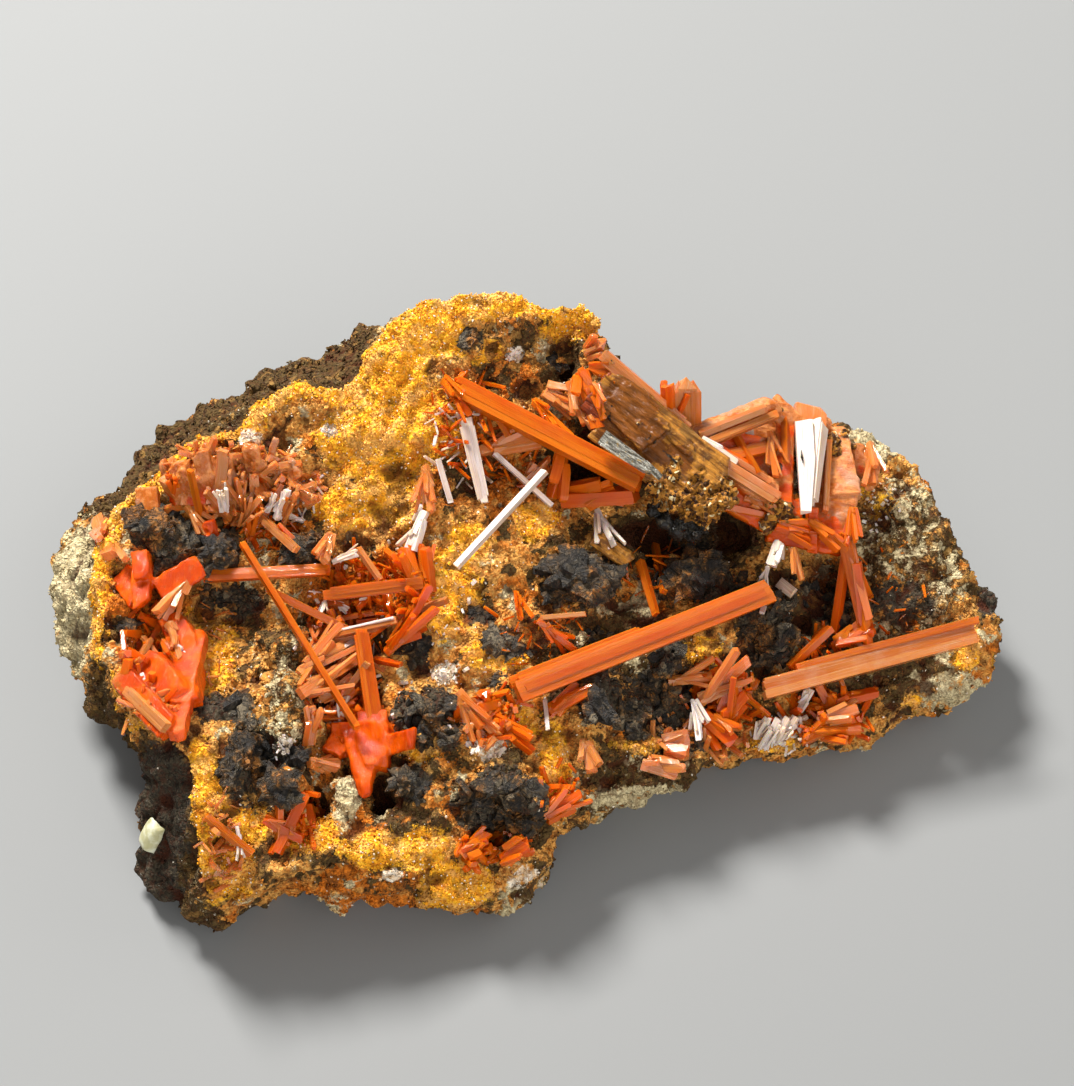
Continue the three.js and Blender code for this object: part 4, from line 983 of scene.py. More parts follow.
@dataclass
class GossanMatrix:
    """The rock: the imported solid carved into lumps, crags and hollows, and painted with its minerals."""

    voxel: float = 0.37
    soften: int = 2
    soften_share: float = 0.5
    swell: float = 0.7
    swell_size: float = 3.4
    lump: float = 0.7
    lump_size: float = 1.5
    lump_shift: tuple[float, float, float] = (7, 3, 1)
    grit: float = 0.4
    grit_size: float = 0.7
    crag: float = 1.1
    crag_size: float = 2.1
    crag_shares: Ramp = (0.4, 0.6)
    crag_widest: float = 0.6
    crag_sunk: float = 0.25
    rust_rough: float = 0.2
    ochre_smooth: float = 0.3
    plain_rough: float = 0.9
    ash_crags: float = 0.5
    hollow_depth: float = 1.3
    # painted shade laid where the relief sinks low
    shaded_low_levels: Ramp = (-0.15, -0.6)
    shaded_low_share: float = 0.85
    still_foot: Ramp = (0.15, 1.2)
    tint: float = 0.45
    patch_depth: float = 2.2
    patch_margin: float = 2.0
    patch_edge: Ramp = (0.55, 1.25)
    under_levels: Ramp = (3.5, 5.5)
    under_reach: Ramp = (-3.0, -1.5)
    outside_levels: Ramp = (-0.3, 0.7)
    wander_size: float = 6.0
    flank_umber: Ramp = (0.9, 0.5)
    flank_ash: Ramp = (-0.1, -0.9)
    blotches: tuple[Ramp, ...] = ((31, 2.6, 1.0), (57, 1.1, 0.6))
    umber_levels: Ramp = (0.1, 0.4)
    umber_share: float = 0.85
    umber_off_ochre: float = 0.7
    ash_levels: Ramp = (0.2, 0.5)
    ash_share: float = 0.6
    rim_inside: Ramp = (-1.8, -0.4)
    rim_outside: Ramp = (0.2, 1.0)
    rim_east: Ramp = (5.0, 8.0)
    rim_south: Ramp = (-6.0, -2.0)
    rim_ochre: Ramp = (0.95, 0.5)

    def carve(self, node: bpy.types.Object) -> bpy.types.Mesh:
        """The finely divided rock before its relief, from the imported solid."""
        piece = show("gossan_rock", merged_copy(node, "gossan_rock"))
        divide = piece.modifiers.new("divide", "REMESH")
        divide.mode = "VOXEL"
        divide.voxel_size = self.voxel * MM
        smooth = piece.modifiers.new("soften", "SMOOTH")
        smooth.factor = self.soften_share
        smooth.iterations = self.soften
        return settled(piece)

    def shares(
        self, places: np.ndarray, survey: Survey, patches: tuple[Patch, ...]
    ) -> dict[Mineral, np.ndarray]:
        """How strongly each mineral covers each vertex, from 0 to 1.

        Args:
            places: vertex places in millimetres.
            survey: finds the patches on the rock.
            patches: where each mineral shows.

        Returns:
            One array for each mineral.
        """
        found = {mineral: np.zeros(len(places)) for mineral in Mineral}
        for patch in patches:
            met = survey.meet(patch.u, patch.v)
            if met is None:
                LOG.warning("patch %s at %s, %s meets no rock", patch.mineral.value, patch.u, patch.v)
                continue
            away = places - np.array(met[0])
            across = away @ np.array(EYE_RIGHT) / (patch.across * PIXEL)
            down = away @ np.array(EYE_UP) / (patch.down * PIXEL)
            thick = self.patch_depth * max(patch.across, patch.down) * PIXEL + self.patch_margin
            deep = away @ np.array(EYE_BACK) / thick
            reach = np.sqrt(across**2 + down**2 + deep**2)
            share = patch.strength * (1 - smooth_step(*self.patch_edge, reach))
            found[patch.mineral] = np.maximum(found[patch.mineral], share)
        return found

    def beyond_rim(self, places: np.ndarray) -> tuple[np.ndarray, np.ndarray]:
        """How far each vertex lies outside the rim, in plan, and how far below it, in millimetres."""
        middle = np.array(in_air(*ROCK_MIDDLE))[:2]
        spots = np.array([tuple(in_air(*spot)) for spot in CREST])
        rim = spots[:, :2] - middle
        bearing = np.arctan2(rim[:, 1], rim[:, 0])
        order = np.argsort(bearing)
        away = places[:, :2] - middle
        turn = np.arctan2(away[:, 1], away[:, 0])
        reach = np.interp(turn, bearing[order], np.hypot(rim[:, 0], rim[:, 1])[order], period=2 * math.pi)
        height = np.interp(turn, bearing[order], spots[order, 2], period=2 * math.pi)
        return np.hypot(away[:, 0], away[:, 1]) - reach, height - places[:, 2]

    def weather(self, places: np.ndarray, survey: Survey) -> dict[Mineral, np.ndarray]:
        """The minerals of the whole rock: the display face's inside the rim, the flanks' outside.

        Args:
            places: vertex places in millimetres.
            survey: finds the patches on the rock.

        Returns:
            One array for each mineral.
        """
        beyond, below = self.beyond_rim(places)
        under = smooth_step(*self.under_levels, below) * smooth_step(*self.under_reach, beyond)
        outside = np.maximum(smooth_step(*self.outside_levels, beyond), under)
        face = self.shares(places, survey, MINERALS)
        flank = self.shares(places, survey, FLANKS)
        wander = noise_of(places, self.wander_size)
        base, spread = self.flank_umber
        dark = (base + spread * wander) * (1 - flank[ASH]) * (1 - flank[RUST])
        flank[UMBER] = np.maximum(flank[UMBER], dark)
        base, spread = self.flank_ash
        flank[ASH] = np.maximum(flank[ASH], base + spread * wander)
        blotch = sum(share * noise_of(places + shift, size) for shift, size, share in self.blotches)
        dark = self.umber_share * smooth_step(*self.umber_levels, blotch)
        face[UMBER] = np.maximum(face[UMBER], dark * (1 - self.umber_off_ochre * face[OCHRE]))
        pale = self.ash_share * smooth_step(*self.ash_levels, -blotch)
        face[ASH] = np.maximum(face[ASH], pale * (1 - face[OCHRE]) * (1 - face[RUST]))
        found = {m: face[m] * (1 - outside) + flank[m] * outside for m in Mineral}
        west = 1 - smooth_step(*self.rim_east, places[:, 0])
        north = smooth_step(*self.rim_south, places[:, 1])
        band = smooth_step(*self.rim_inside, beyond) * (1 - smooth_step(*self.rim_outside, beyond))
        base, spread = self.rim_ochre
        bright = band * (1 - under) * west * north * (base + spread * wander)
        found[OCHRE] = np.maximum(found[OCHRE], bright)
        return found

    def relief(self, places: np.ndarray, found: dict[Mineral, np.ndarray]) -> np.ndarray:
        """How far each vertex stands out of the carved rock.

        Args:
            places: vertex places in millimetres.
            found: how far each mineral covers each vertex.

        Returns:
            One rise for each vertex, in millimetres.
        """
        rise = np.empty(len(places))
        rough = self.plain_rough + self.rust_rough * found[RUST] - self.ochre_smooth * found[OCHRE]
        crags = np.clip(found[UMBER] + found[MANGANESE] + self.ash_crags * found[ASH], 0, 1)
        even, craggy = self.crag_shares
        for k, spot in enumerate(places):
            at = Vector(spot)
            swell = noise.noise(at / self.swell_size)
            lump = noise.noise(at / self.lump_size + Vector(self.lump_shift))
            grit = noise.noise(at / self.grit_size)
            near, far = noise.voronoi(at / self.crag_size)[0][:2]
            rise[k] = self.swell * swell + (self.lump * lump + self.grit * grit) * rough[k]
            block = min(far - near, self.crag_widest) - self.crag_sunk
            rise[k] += self.crag * (even * rough[k] + craggy * crags[k]) * block
        return rise - self.hollow_depth * found[SHADED_HOLLOW]

    def build(self, frame: dict, survey: Survey) -> bpy.types.Object:
        """The finished rock.

        Args:
            frame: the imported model.
            survey: reads the plain rock, and is given the finished surface.

        Returns:
            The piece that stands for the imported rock.
        """
        mesh = self.carve(frame["nodes"]["gossan_matrix"])
        places, normals = mesh_arrays(mesh)
        found = self.weather(places, survey)
        rise = self.relief(places, found)
        # painted shade: where the relief sinks low, the hollow's painted shade is laid too
        found[SHADED_HOLLOW] = np.maximum(found[SHADED_HOLLOW], self.shaded_low_share * smooth_step(*self.shaded_low_levels, rise))
        rise *= smooth_step(*self.still_foot, places[:, 2])
        places += normals * rise[:, None]
        places[:, 2] = np.maximum(places[:, 2], 0)
        write_places(mesh, places)
        for mineral, share in found.items():
            paint(mesh, mineral.value, share)
        paint(mesh, "tint", np.full(len(places), self.tint))
        mesh.materials.clear()
        mesh.materials.append(GossanFinish().make())
        mesh.shade_smooth()
        survey.carved = tree_of(mesh)
        piece = show("gossan_rock", mesh)
        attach(piece, "root")
        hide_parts("gossan_matrix")
        return piece


def turned(degrees: float, axis: str) -> Matrix:
    """A rotation about one axis."""
    return Matrix.Rotation(math.radians(degrees), 4, axis)


def noise_of(places: np.ndarray, size: float) -> np.ndarray:
    """Smooth noise at each place, with features of a size in millimetres."""
    return np.array([noise.noise(Vector(spot) / size) for spot in places])


def smooth_step(low: float, high: float, value: np.ndarray) -> np.ndarray:
    """A smooth step from 0 below one level to 1 above another."""
    t = np.clip((value - low) / (high - low), 0, 1)
    return t * t * (3 - 2 * t)


# How far crystals that grew together swell and sink, in millimetres
FUSED_SWELL = {MASSIVE: 0.08, COATED: 0.05}


@dataclass
class CrystalCluster:
    """Crystals that grew together: striated prisms, each with thinner laminae along its sides."""

    name: str
    prisms: tuple[Prism, ...]
    seed: int
    films: dict[Habit, dict[Film, tuple[Stain, ...]]] = field(default_factory=dict)
    groove: float = 0.018
    groove_depths: Ramp = (0, 1.6)
    corner_groove: float = 0.6
    rib_width: float = 0.32
    rib_depth: float = 0.4
    most_ribs: tuple[int, int] = (9, 6)
    least_ribs: tuple[int, int] = (3, 2)
    rib_uneven: float = 0.25
    ring_spacing: float = 4.0
    fray: float = 0.05
    wobble: float = 0.008
    lean: float = 0.25
    look_shift: float = 40
    cap_run: Ramp = (0.7, 0.4, 0.7, 31)
    core: float = 0.86
    strand: float = 0.55
    strand_widths: Ramp = (1.1, 1.6)
    widest_strand: float = 0.7
    strand_depths: Ramp = (0.78, 1.0)
    strand_shift: float = 0.1
    strand_roll: float = 7.0
    stagger: float = 0.9
    most_stagger: float = 0.12
    stagger_roots: Ramp = (-0.2, 1)
    stagger_tips: Ramp = (-0.1, 0.7)
    stout: float = 6.0
    turned: Ramp = (18.0, 42.0)
    breaks: int = 4
    break_rise: Ramp = (-0.35, 0.5)
    break_depths: Ramp = (0.06, 0.3)
    tip_breaks: int = 2
    tip_lean: float = 0.9
    tip_depths: Ramp = (0.1, 0.45)
    end_facing: float = 0.8
    block_core: float = 0.7
    block_counts: tuple[int, int] = (5, 8)
    block_widths: Ramp = (0.18, 0.48)
    block_depths: Ramp = (0.3, 0.8)
    block_lengths: Ramp = (0.3, 0.9)
    block_across: Ramp = (-0.42, 0.42)
    block_out: Ramp = (-0.3, 0.45)
    block_along: Ramp = (-0.08, 0.4)
    splay: float = 24.0
    block_roll: float = 50.0
    coat_voxel: float = 0.13
    least_lump: float = 0.4
    lump_uneven: Ramp = (0.8, 1.2)
    stain_reach: float = 1.7
    stain_edge: Ramp = (0.6, 1.3)
    rounded: int = 1
    rounded_share: float = 0.5
    swell_size: float = 0.9
    ridge: float = 0.1
    ridge_size: tuple[float, float, float] = (3.5, 0.4, 0.5)
    crust_relief: tuple[Ramp, ...] = ((0.5, 0.65), (0.25, 0.28))

    def section(self, width: float, depth: float, rng: random.Random) -> list[Vector]:
        """Corners and striae of a prism's outline, in millimetres, as a closed run.

        Args:
            width: the broad side.
            depth: the narrow side.
            rng: draws the grooves.

        Returns:
            The points in order round the prism, from one corner back to it.
        """
        broad = max(self.least_ribs[0], min(self.most_ribs[0], round(width / self.rib_width)))
        narrow = max(self.least_ribs[1], min(self.most_ribs[1], round(depth / self.rib_depth)))
        half = Vector((width / 2, depth / 2))
        corners = [Vector((1, 1)), Vector((-1, 1)), Vector((-1, -1)), Vector((1, -1))]
        points = []
        for k, count in enumerate((broad, narrow, broad, narrow)):
            start, end = corners[k], corners[(k + 1) % 4]
            out = Vector((0, start.y)) if k % 2 == 0 else Vector((start.x, 0))
            for j in range(count):
                along = (j + (rng.uniform(-self.rib_uneven, self.rib_uneven) if j else 0)) / count
                point = start.lerp(end, along)
                point = Vector((point.x * half.x, point.y * half.y))
                cut = rng.uniform(*self.groove_depths) if j else self.corner_groove
                points.append(point - out * (self.groove * min(width, depth) * cut))
        return points + [points[0]]

    def column(
        self, shape: bmesh.types.BMesh, basis: Matrix, length: float, section: list[Vector], prism: Prism,
        rng: random.Random, span: tuple[float, float] = (0.0, 1.0),
    ) -> None:
        """Adds one striated column.

        Args:
            shape: the mesh that grows.
            basis: places the column, with its length along Z.
            length: from root to tip in millimetres.
            section: outline in millimetres.
            prism: gives the taper, the end slopes and the habit.
            rng: draws the frayed end.
            span: where along the prism the column starts and ends.
        """
        around = len(section) - 1
        rings = max(1, round(length * (span[1] - span[0]) / self.ring_spacing))
        unwrap = shape.loops.layers.uv.verify()
        tint = shape.verts.layers.float.get("tint")
        made = bmesh.ops.create_grid(shape, x_segments=around, y_segments=rings, size=0.5, calc_uvs=True)
        verts = made["verts"]
        shade = rng.random()
        shift = (rng.uniform(0, self.look_shift), rng.uniform(0, self.look_shift))
        girth = sum((section[k + 1] - section[k]).length for k in range(around))
        reach = max(point.length for point in section)
        sway = self.wobble
        wobble = [(rng.uniform(-sway, sway), rng.uniform(-sway, sway)) for _ in range(rings + 1)]
        fray = [rng.random() * self.fray * 2 * reach for _ in range(around)]
        lean = (rng.uniform(-self.lean, self.lean), rng.uniform(-self.lean, self.lean))
        slopes = prism.slopes if prism.slopes != (0.0, 0.0) else lean
        faces = {face for vert in verts for face in vert.link_faces}
        for face in faces:
            for loop in face.loops:
                u, v = loop[unwrap].uv
                loop[unwrap].uv = (u * girth + shift[0], v * length * (span[1] - span[0]) + shift[1])
            face.material_index = HABITS.index(prism.habit)
        for vert in verts:
            k = round((vert.co.x + 0.5) * around) % around
            ring = round((vert.co.y + 0.5) * rings)
            along = span[0] + (span[1] - span[0]) * ring / rings
            scale = prism.base + (prism.taper - prism.base) * along
            x, y = section[k] * scale
            lift = along * length
            if ring == rings:
                lift -= slopes[0] * x + slopes[1] * y + fray[k]
            if ring == 0:
                lift += fray[(k * 3) % around]
            x += wobble[ring][0] * 2 * reach
            y += wobble[ring][1] * 2 * reach
            vert.co = basis @ Vector((x, y, lift)) * MM
            vert[tint] = shade
        bmesh.ops.remove_doubles(shape, verts=verts, dist=FINE_WELD)
        alive = [vert for vert in verts if vert.is_valid]
        rims = {edge for vert in alive for edge in vert.link_edges if edge.is_boundary}
        caps = bmesh.ops.holes_fill(shape, edges=list(rims), sides=0)["faces"]
        by_x, by_z, by_y, start = self.cap_run
        for cap in caps:
            cap.material_index = HABITS.index(prism.habit)
            for loop in cap.loops:
                local = loop.vert.co / MM
                loop[unwrap].uv = (local.x * by_x + local.z * by_z, local.y * by_y + start)
        poked = bmesh.ops.poke(shape, faces=caps)
        for vert in poked["verts"]:
            vert[tint] = shade
        if prism.peak:
            tip = max(poked["verts"], key=lambda vert: (basis.inverted() @ (vert.co / MM)).z)
            tip.co += basis.to_3x3() @ Vector((0, 0, prism.peak)) * MM

    def block(
        self, shape: bmesh.types.BMesh, basis: Matrix, size: Vector, prism: Prism, rng: random.Random
    ) -> None:
        """Adds one irregular cleavage block: a box whose edges and tip are broken by flat faces.

        Args:
            shape: the mesh that grows.
            basis: places the block, with its length along Z.
            size: width, depth and length in millimetres.
            prism: gives the taper and the habit.
            rng: draws the breaks.
        """
        draft = bmesh.new()
        bmesh.ops.create_cube(draft, size=1)
        for vert in draft.verts:
            along = vert.co.z + 0.5
            scale = prism.base + (prism.taper - prism.base) * along
            vert.co = Vector((vert.co.x * size.x * scale, vert.co.y * size.y * scale, along * size.z))
        narrow = min(size.x, size.y)
        for _ in range(self.breaks):
            turn = rng.uniform(0, 2 * math.pi)
            side = Vector((math.cos(turn), math.sin(turn), rng.uniform(*self.break_rise)))
            cleave(draft, side, rng.uniform(*self.break_depths) * narrow)
        for _ in range(self.tip_breaks):
            lean = self.tip_lean
            tip = Vector((rng.uniform(-lean, lean), rng.uniform(-lean, lean), 1))
            cleave(draft, tip, rng.uniform(*self.tip_depths) * narrow)
        draft.normal_update()
        unwrap = shape.loops.layers.uv.verify()
        tint = shape.verts.layers.float.get("tint")
        shade = rng.random()
        shift = rng.uniform(0, self.look_shift)
        made = {}
        for vert in draft.verts:
            made[vert] = shape.verts.new(basis @ vert.co * MM)
            made[vert][tint] = shade
        for face in draft.faces:
            grown = shape.faces.new([made[vert] for vert in face.verts])
            grown.material_index = HABITS.index(prism.habit)
            end = abs(face.normal.z) > self.end_facing
            broad = abs(face.normal.y) > abs(face.normal.x)
            for loop, source in zip(grown.loops, face.loops):
                x, y, z = source.vert.co
                if end:
                    loop[unwrap].uv = (x * self.cap_run[0] + shift, y * self.cap_run[2])
                else:
                    loop[unwrap].uv = ((x if broad else y) + shift, z)
        draft.free()

    def blocks(
        self, shape: bmesh.types.BMesh, basis: Matrix, length: float, prism: Prism, rng: random.Random
    ) -> None:
        """Adds a short broad crystal: one block and, unless it is single, smaller ones grown into it.

        Args:
            shape: the mesh that grows.
            basis: places the crystal, with its length along Z.
            length: from root to tip in millimetres.
            prism: gives its width, depth and taper.
            rng: draws the smaller blocks.
        """
        core = 1.0 if prism.single else self.block_core
        self.block(shape, basis, Vector((prism.width * core, prism.depth * core, length)), prism, rng)
        for _ in range(0 if prism.single else rng.randint(*self.block_counts)):
            wide = prism.width * rng.uniform(*self.block_widths)
            deep = prism.depth * rng.uniform(*self.block_depths)
            size = Vector((wide, deep, length * rng.uniform(*self.block_lengths)))
            turn = turned(rng.uniform(-self.splay, self.splay), "Y")
            turn = turn @ turned(rng.uniform(-self.splay, self.splay), "X")
            turn = turn @ turned(rng.uniform(-self.block_roll, self.block_roll), "Z")
            across = rng.uniform(*self.block_across) * prism.width
            out = rng.uniform(*self.block_out) * prism.depth
            offset = Matrix.Translation((across, out, rng.uniform(*self.block_along) * length))
            self.block(shape, basis @ offset @ turn, size, prism, rng)

    def strands(
        self, shape: bmesh.types.BMesh, basis: Matrix, length: float, prism: Prism, rng: random.Random
    ) -> None:
        """Adds a long crystal: slender parallel columns grown together, their ends at different heights.

        Args:
            shape: the mesh that grows.
            basis: places the crystal, with its length along Z.
            length: from root to tip in millimetres.
            prism: gives its width, depth and taper.
            rng: draws the columns.
        """
        count = max(1, round(prism.width / self.strand))
        step = prism.width / count
        core = self.section(prism.width * self.core, prism.depth * self.core, rng)
        self.column(shape, basis, length, core, prism, rng)
        for k in range(count if count > 1 else 2):
            width = min(step * rng.uniform(*self.strand_widths), prism.width * self.widest_strand)
            depth = prism.depth * rng.uniform(*self.strand_depths)
            across = (min(k, count - 1) + 0.5) * step - prism.width / 2
            across += rng.uniform(-self.strand_shift, self.strand_shift) * step
            side = rng.uniform(-0.5, 0.5) * (prism.depth - depth)
            roll = turned(rng.uniform(-self.strand_roll, self.strand_roll), "Z")
            strip = basis @ Matrix.Translation((across, side, 0)) @ roll
            reach = min(self.stagger, self.most_stagger * length) / length
            start = reach * rng.uniform(*self.stagger_roots)
            span = (start, 1 - reach * rng.uniform(*self.stagger_tips))
            self.column(shape, strip, length, self.section(width, depth, rng), prism, rng, span)

    def grow(self, shape: bmesh.types.BMesh, prism: Prism, survey: Survey, rng: random.Random) -> None:
        """Adds one crystal, long or short by its own proportions.

        Args:
            shape: the mesh that grows.
            prism: the crystal's row of the table.
            survey: finds its root and tip.
            rng: draws how it is turned and broken.
        """
        root, tip = survey.place(prism.root), survey.place(prism.tip)
        axis = tip - root
        length = axis.length
        axis.normalize()
        out = (prism.facing - axis * prism.facing.dot(axis)).normalized()
        roll = prism.roll
        if prism.facing is GLINT and prism.habit in (RED, SALMON) and not roll:
            roll = rng.choice((-1, 1)) * rng.uniform(*self.turned)
        out.rotate(Matrix.Rotation(math.radians(roll), 3, axis))
        across = out.cross(axis).normalized()
        basis = Matrix((across, out, axis)).transposed().to_4x4()
        basis.translation = root
        short = length < self.stout * prism.width and not prism.peak and prism.habit is not COATED
        if prism.habit is MASSIVE or short:
            self.blocks(shape, basis, length, prism, rng)
        else:
            self.strands(shape, basis, length, prism, rng)

    def fuse(self, mesh: bpy.types.Mesh, habit: Habit, finish: bpy.types.Material) -> bpy.types.Mesh:
        """Crystals grown together in one body, with earthy lumps where the crust and the soot are.

        Args:
            mesh: the separate crystals.
            habit: their habit.
            finish: their material.

        Returns:
            The joined mesh, with each film painted on it.
        """
        films = self.films.get(habit, {})
        shape = bmesh.new()
        shape.from_mesh(mesh)
        rng = random.Random(self.seed)
        for u, v, height, half in films.get(CRUST, ()) + films.get(SOOT, ()):
            if half < self.least_lump:
                continue
            for vert in bmesh.ops.create_icosphere(shape, subdivisions=2, radius=half * MM)["verts"]:
                vert.co = vert.co * rng.uniform(*self.lump_uneven) + in_air(u, v, height) * MM
        shape.to_mesh(mesh)
        shape.free()
        draft = show("coat_draft", mesh)
        divide = draft.modifiers.new("divide", "REMESH")
        divide.mode = "VOXEL"
        divide.voxel_size = self.coat_voxel * MM
        if habit is MASSIVE:
            smooth = draft.modifiers.new("round", "SMOOTH")
            smooth.factor = self.rounded_share
            smooth.iterations = self.rounded
        grown = settled(draft)
        places, normals = mesh_arrays(grown)
        found = {film: np.zeros(len(places)) for film in Film}
        for film, stains in films.items():
            for u, v, height, half in stains:
                away = np.linalg.norm(places - np.array(in_air(u, v, height)), axis=1)
                share = 1 - smooth_step(*self.stain_edge, away / (half * self.stain_reach))
                found[film] = np.maximum(found[film], share)
        first = max(self.prisms, key=lambda prism: prism.width if prism.habit is habit else 0)
        axis = (sight(first.tip.u, first.tip.v) - sight(first.root.u, first.root.v)).normalized()
        across = axis.cross(EYE_BACK).normalized()
        along = places @ np.array((axis, across, across.cross(axis))).T
        ridges = noise_of(along / np.array(self.ridge_size), 1.0)
        rise = FUSED_SWELL[habit] * noise_of(places, self.swell_size) + self.ridge * ridges
        rise += found[CRUST] * sum(height * noise_of(places, size) for height, size in self.crust_relief)
        write_places(grown, places + normals * rise[:, None])
        for film, share in found.items():
            paint(grown, film.value, share)
        layer = grown.attributes.new("run", "FLOAT_VECTOR", "POINT")
        layer.data.foreach_set("vector", along.astype(np.float32).ravel())
        grown.materials.clear()
        grown.materials.append(finish)
        grown.shade_smooth()
        return grown

    def build(
        self, frame: dict, survey: Survey, finishes: list[bpy.types.Material]
    ) -> list[bpy.types.Object]:
        """The cluster as one piece of clear crystals and one for each habit whose crystals grew together.

        Args:
            frame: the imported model.
            survey: finds roots and tips.
            finishes: one material for each habit.

        Returns:
            The pieces.
        """
        rng = random.Random(self.seed)
        pieces = []
        for fused in (None, COATED, MASSIVE):
            chosen = [p for p in self.prisms if (p.habit if p.habit in (COATED, MASSIVE) else None) is fused]
            if not chosen:
                continue
            shape = bmesh.new()
            shape.verts.layers.float.new("tint")
            for prism in chosen:
                self.grow(shape, prism, survey, rng)
            bmesh.ops.recalc_face_normals(shape, faces=shape.faces)
            mesh = bpy.data.meshes.new(self.name)
            shape.to_mesh(mesh)
            shape.free()
            for finish in finishes:
                mesh.materials.append(finish)
            if fused:
                mesh = self.fuse(mesh, fused, finishes[HABITS.index(fused)])
            piece = show(f"{self.name}_{fused.value if fused else 'clear'}_crystals", mesh)
            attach(piece, "root")
            pieces.append(piece)
        nodes = [name for name in frame["nodes"] if name.rstrip("0123456789").rstrip("_") == self.name]
        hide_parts(*nodes)
        return pieces


@dataclass(frozen=True)
class Field:
    """An oval of the view over which small things are strewn, with half sizes in pixels and sizes in mm."""

    u: float
    v: float
    across: float
    down: float
    count: int
    small: float
    large: float
    thin: tuple[float, float] = (0.35, 0.9)


# Repeated shapes: angular shards, crumpled clots and needles
SHARD_SIZE = 1.7
SHARD_CUTS = 7
SHARD_DEPTHS = (0.15, 0.5)
CLOT_SHIFT = 50
CLOT_FOLDS = (1.5, 3.6)
CLOT_FINE_FOLD = 0.6
CLOT_GRAIN = (8, 0.3)
CLOT_CORE = 0.65
CLOT_FOLDED = 1.1
NEEDLE_TAPER = 0.8
NEEDLE_CUTS = ((3, (0.05, 0.2)), (0.3, (0.2, 0.5)))


@dataclass
class Template:
    """A small shape that is repeated: its vertices at unit size and its faces."""

    places: np.ndarray
    faces: list[tuple[int, ...]]

    @staticmethod
    def of(shape: bmesh.types.BMesh) -> "Template":
        """The template of a shape, which is freed."""
        shape.verts.ensure_lookup_table()
        places = np.array([vert.co[:] for vert in shape.verts])
        faces = [tuple(vert.index for vert in face.verts) for face in shape.faces]
        shape.free()
        return Template(places, faces)

    @staticmethod
    def shard(rng: random.Random) -> "Template":
        """An angular shard of about unit half size, bounded by flat breaks."""
        shape = bmesh.new()
        bmesh.ops.create_cube(shape, size=SHARD_SIZE)
        for _ in range(SHARD_CUTS):
            cleave(shape, random_way(rng), rng.uniform(*SHARD_DEPTHS))
        return Template.of(shape)

    @staticmethod
    def clot(rng: random.Random, levels: int) -> "Template":
        """A crumpled round lump of about unit half size, with sharp creases between its swellings."""
        shape = bmesh.new()
        bmesh.ops.create_icosphere(shape, subdivisions=levels, radius=1)
        shift = Vector([rng.uniform(0, CLOT_SHIFT) for _ in range(3)])
        for vert in shape.verts:
            at = vert.co + shift
            broad, narrow = (abs(noise.noise(at * size)) for size in CLOT_FOLDS)
            grain = CLOT_GRAIN[1] * noise.noise(at * CLOT_GRAIN[0])
            vert.co *= CLOT_CORE + CLOT_FOLDED * (broad + CLOT_FINE_FOLD * narrow + grain)
        return Template.of(shape)

    @staticmethod
    def needle(rng: random.Random) -> "Template":
        """A prism of unit half width and unit length, from just under its root to a slanted tip."""
        shape = bmesh.new()
        bmesh.ops.create_cube(shape, size=1)
        for vert in shape.verts:
            vert.co = Vector((vert.co.x * 2, vert.co.y * 2, vert.co.z + 0.5))
            if vert.co.z > 0.5:
                vert.co.xy *= NEEDLE_TAPER
        for upright, depths in NEEDLE_CUTS:
            cleave(shape, Vector((rng.uniform(-1, 1), rng.uniform(-1, 1), upright)), rng.uniform(*depths))
        return Template.of(shape)


@dataclass
class Strewing:
    """Many small shapes joined in one mesh."""

    name: str
    templates: list[Template]
    places: list[np.ndarray] = field(default_factory=list)
    faces: list[tuple[int, ...]] = field(default_factory=list)
    tints: list[np.ndarray] = field(default_factory=list)
    used: int = 0

    def add(self, basis: Matrix, which: int, tint: float) -> None:
        """Adds one copy of a template.

        Args:
            basis: places the copy, in millimetres.
            which: the number of the template.
            tint: the copy's own tone, from 0 to 1.
        """
        template = self.templates[which % len(self.templates)]
        turned = template.places @ np.array(basis.to_3x3()).T + np.array(basis.translation)
        self.places.append(turned)
        self.faces.extend(tuple(k + self.used for k in face) for face in template.faces)
        self.tints.append(np.full(len(turned), tint))
        self.used += len(turned)

    def mesh(self) -> bpy.types.Mesh:
        """The joined mesh."""
        mesh = bpy.data.meshes.new(self.name)
        places = np.concatenate(self.places) * MM
        mesh.from_pydata(places.tolist(), [], self.faces)
        paint(mesh, "tint", np.concatenate(self.tints))
        return mesh


def random_way(rng: random.Random) -> Vector:
    """A direction, any as likely as another; its length is random too."""
    return Vector((rng.gauss(0, 1), rng.gauss(0, 1), rng.gauss(0, 1)))


def random_turn(rng: random.Random) -> Matrix:
    """A rotation in any direction."""
    axis = random_way(rng).normalized()
    return Matrix.Rotation(rng.uniform(0, 2 * math.pi), 4, axis)


DENSER_MIDDLE = 0.6


def random_pixel(area: Field, rng: random.Random) -> tuple[float, float]:
    """A pixel in an oval, a little denser toward its middle."""
    turn = rng.uniform(0, 2 * math.pi)
    reach = rng.random() ** DENSER_MIDDLE
    return area.u + area.across * reach * math.cos(turn), area.v + area.down * reach * math.sin(turn)


CUBE_CORNERS = np.array([(x, y, z) for x in (-1, 1) for y in (-1, 1) for z in (-1, 1)], float)
CUBE_FACES = np.array([(0, 1, 3, 2), (4, 6, 7, 5), (0, 4, 5, 1), (2, 3, 7, 6), (0, 2, 6, 4), (1, 5, 7, 3)])


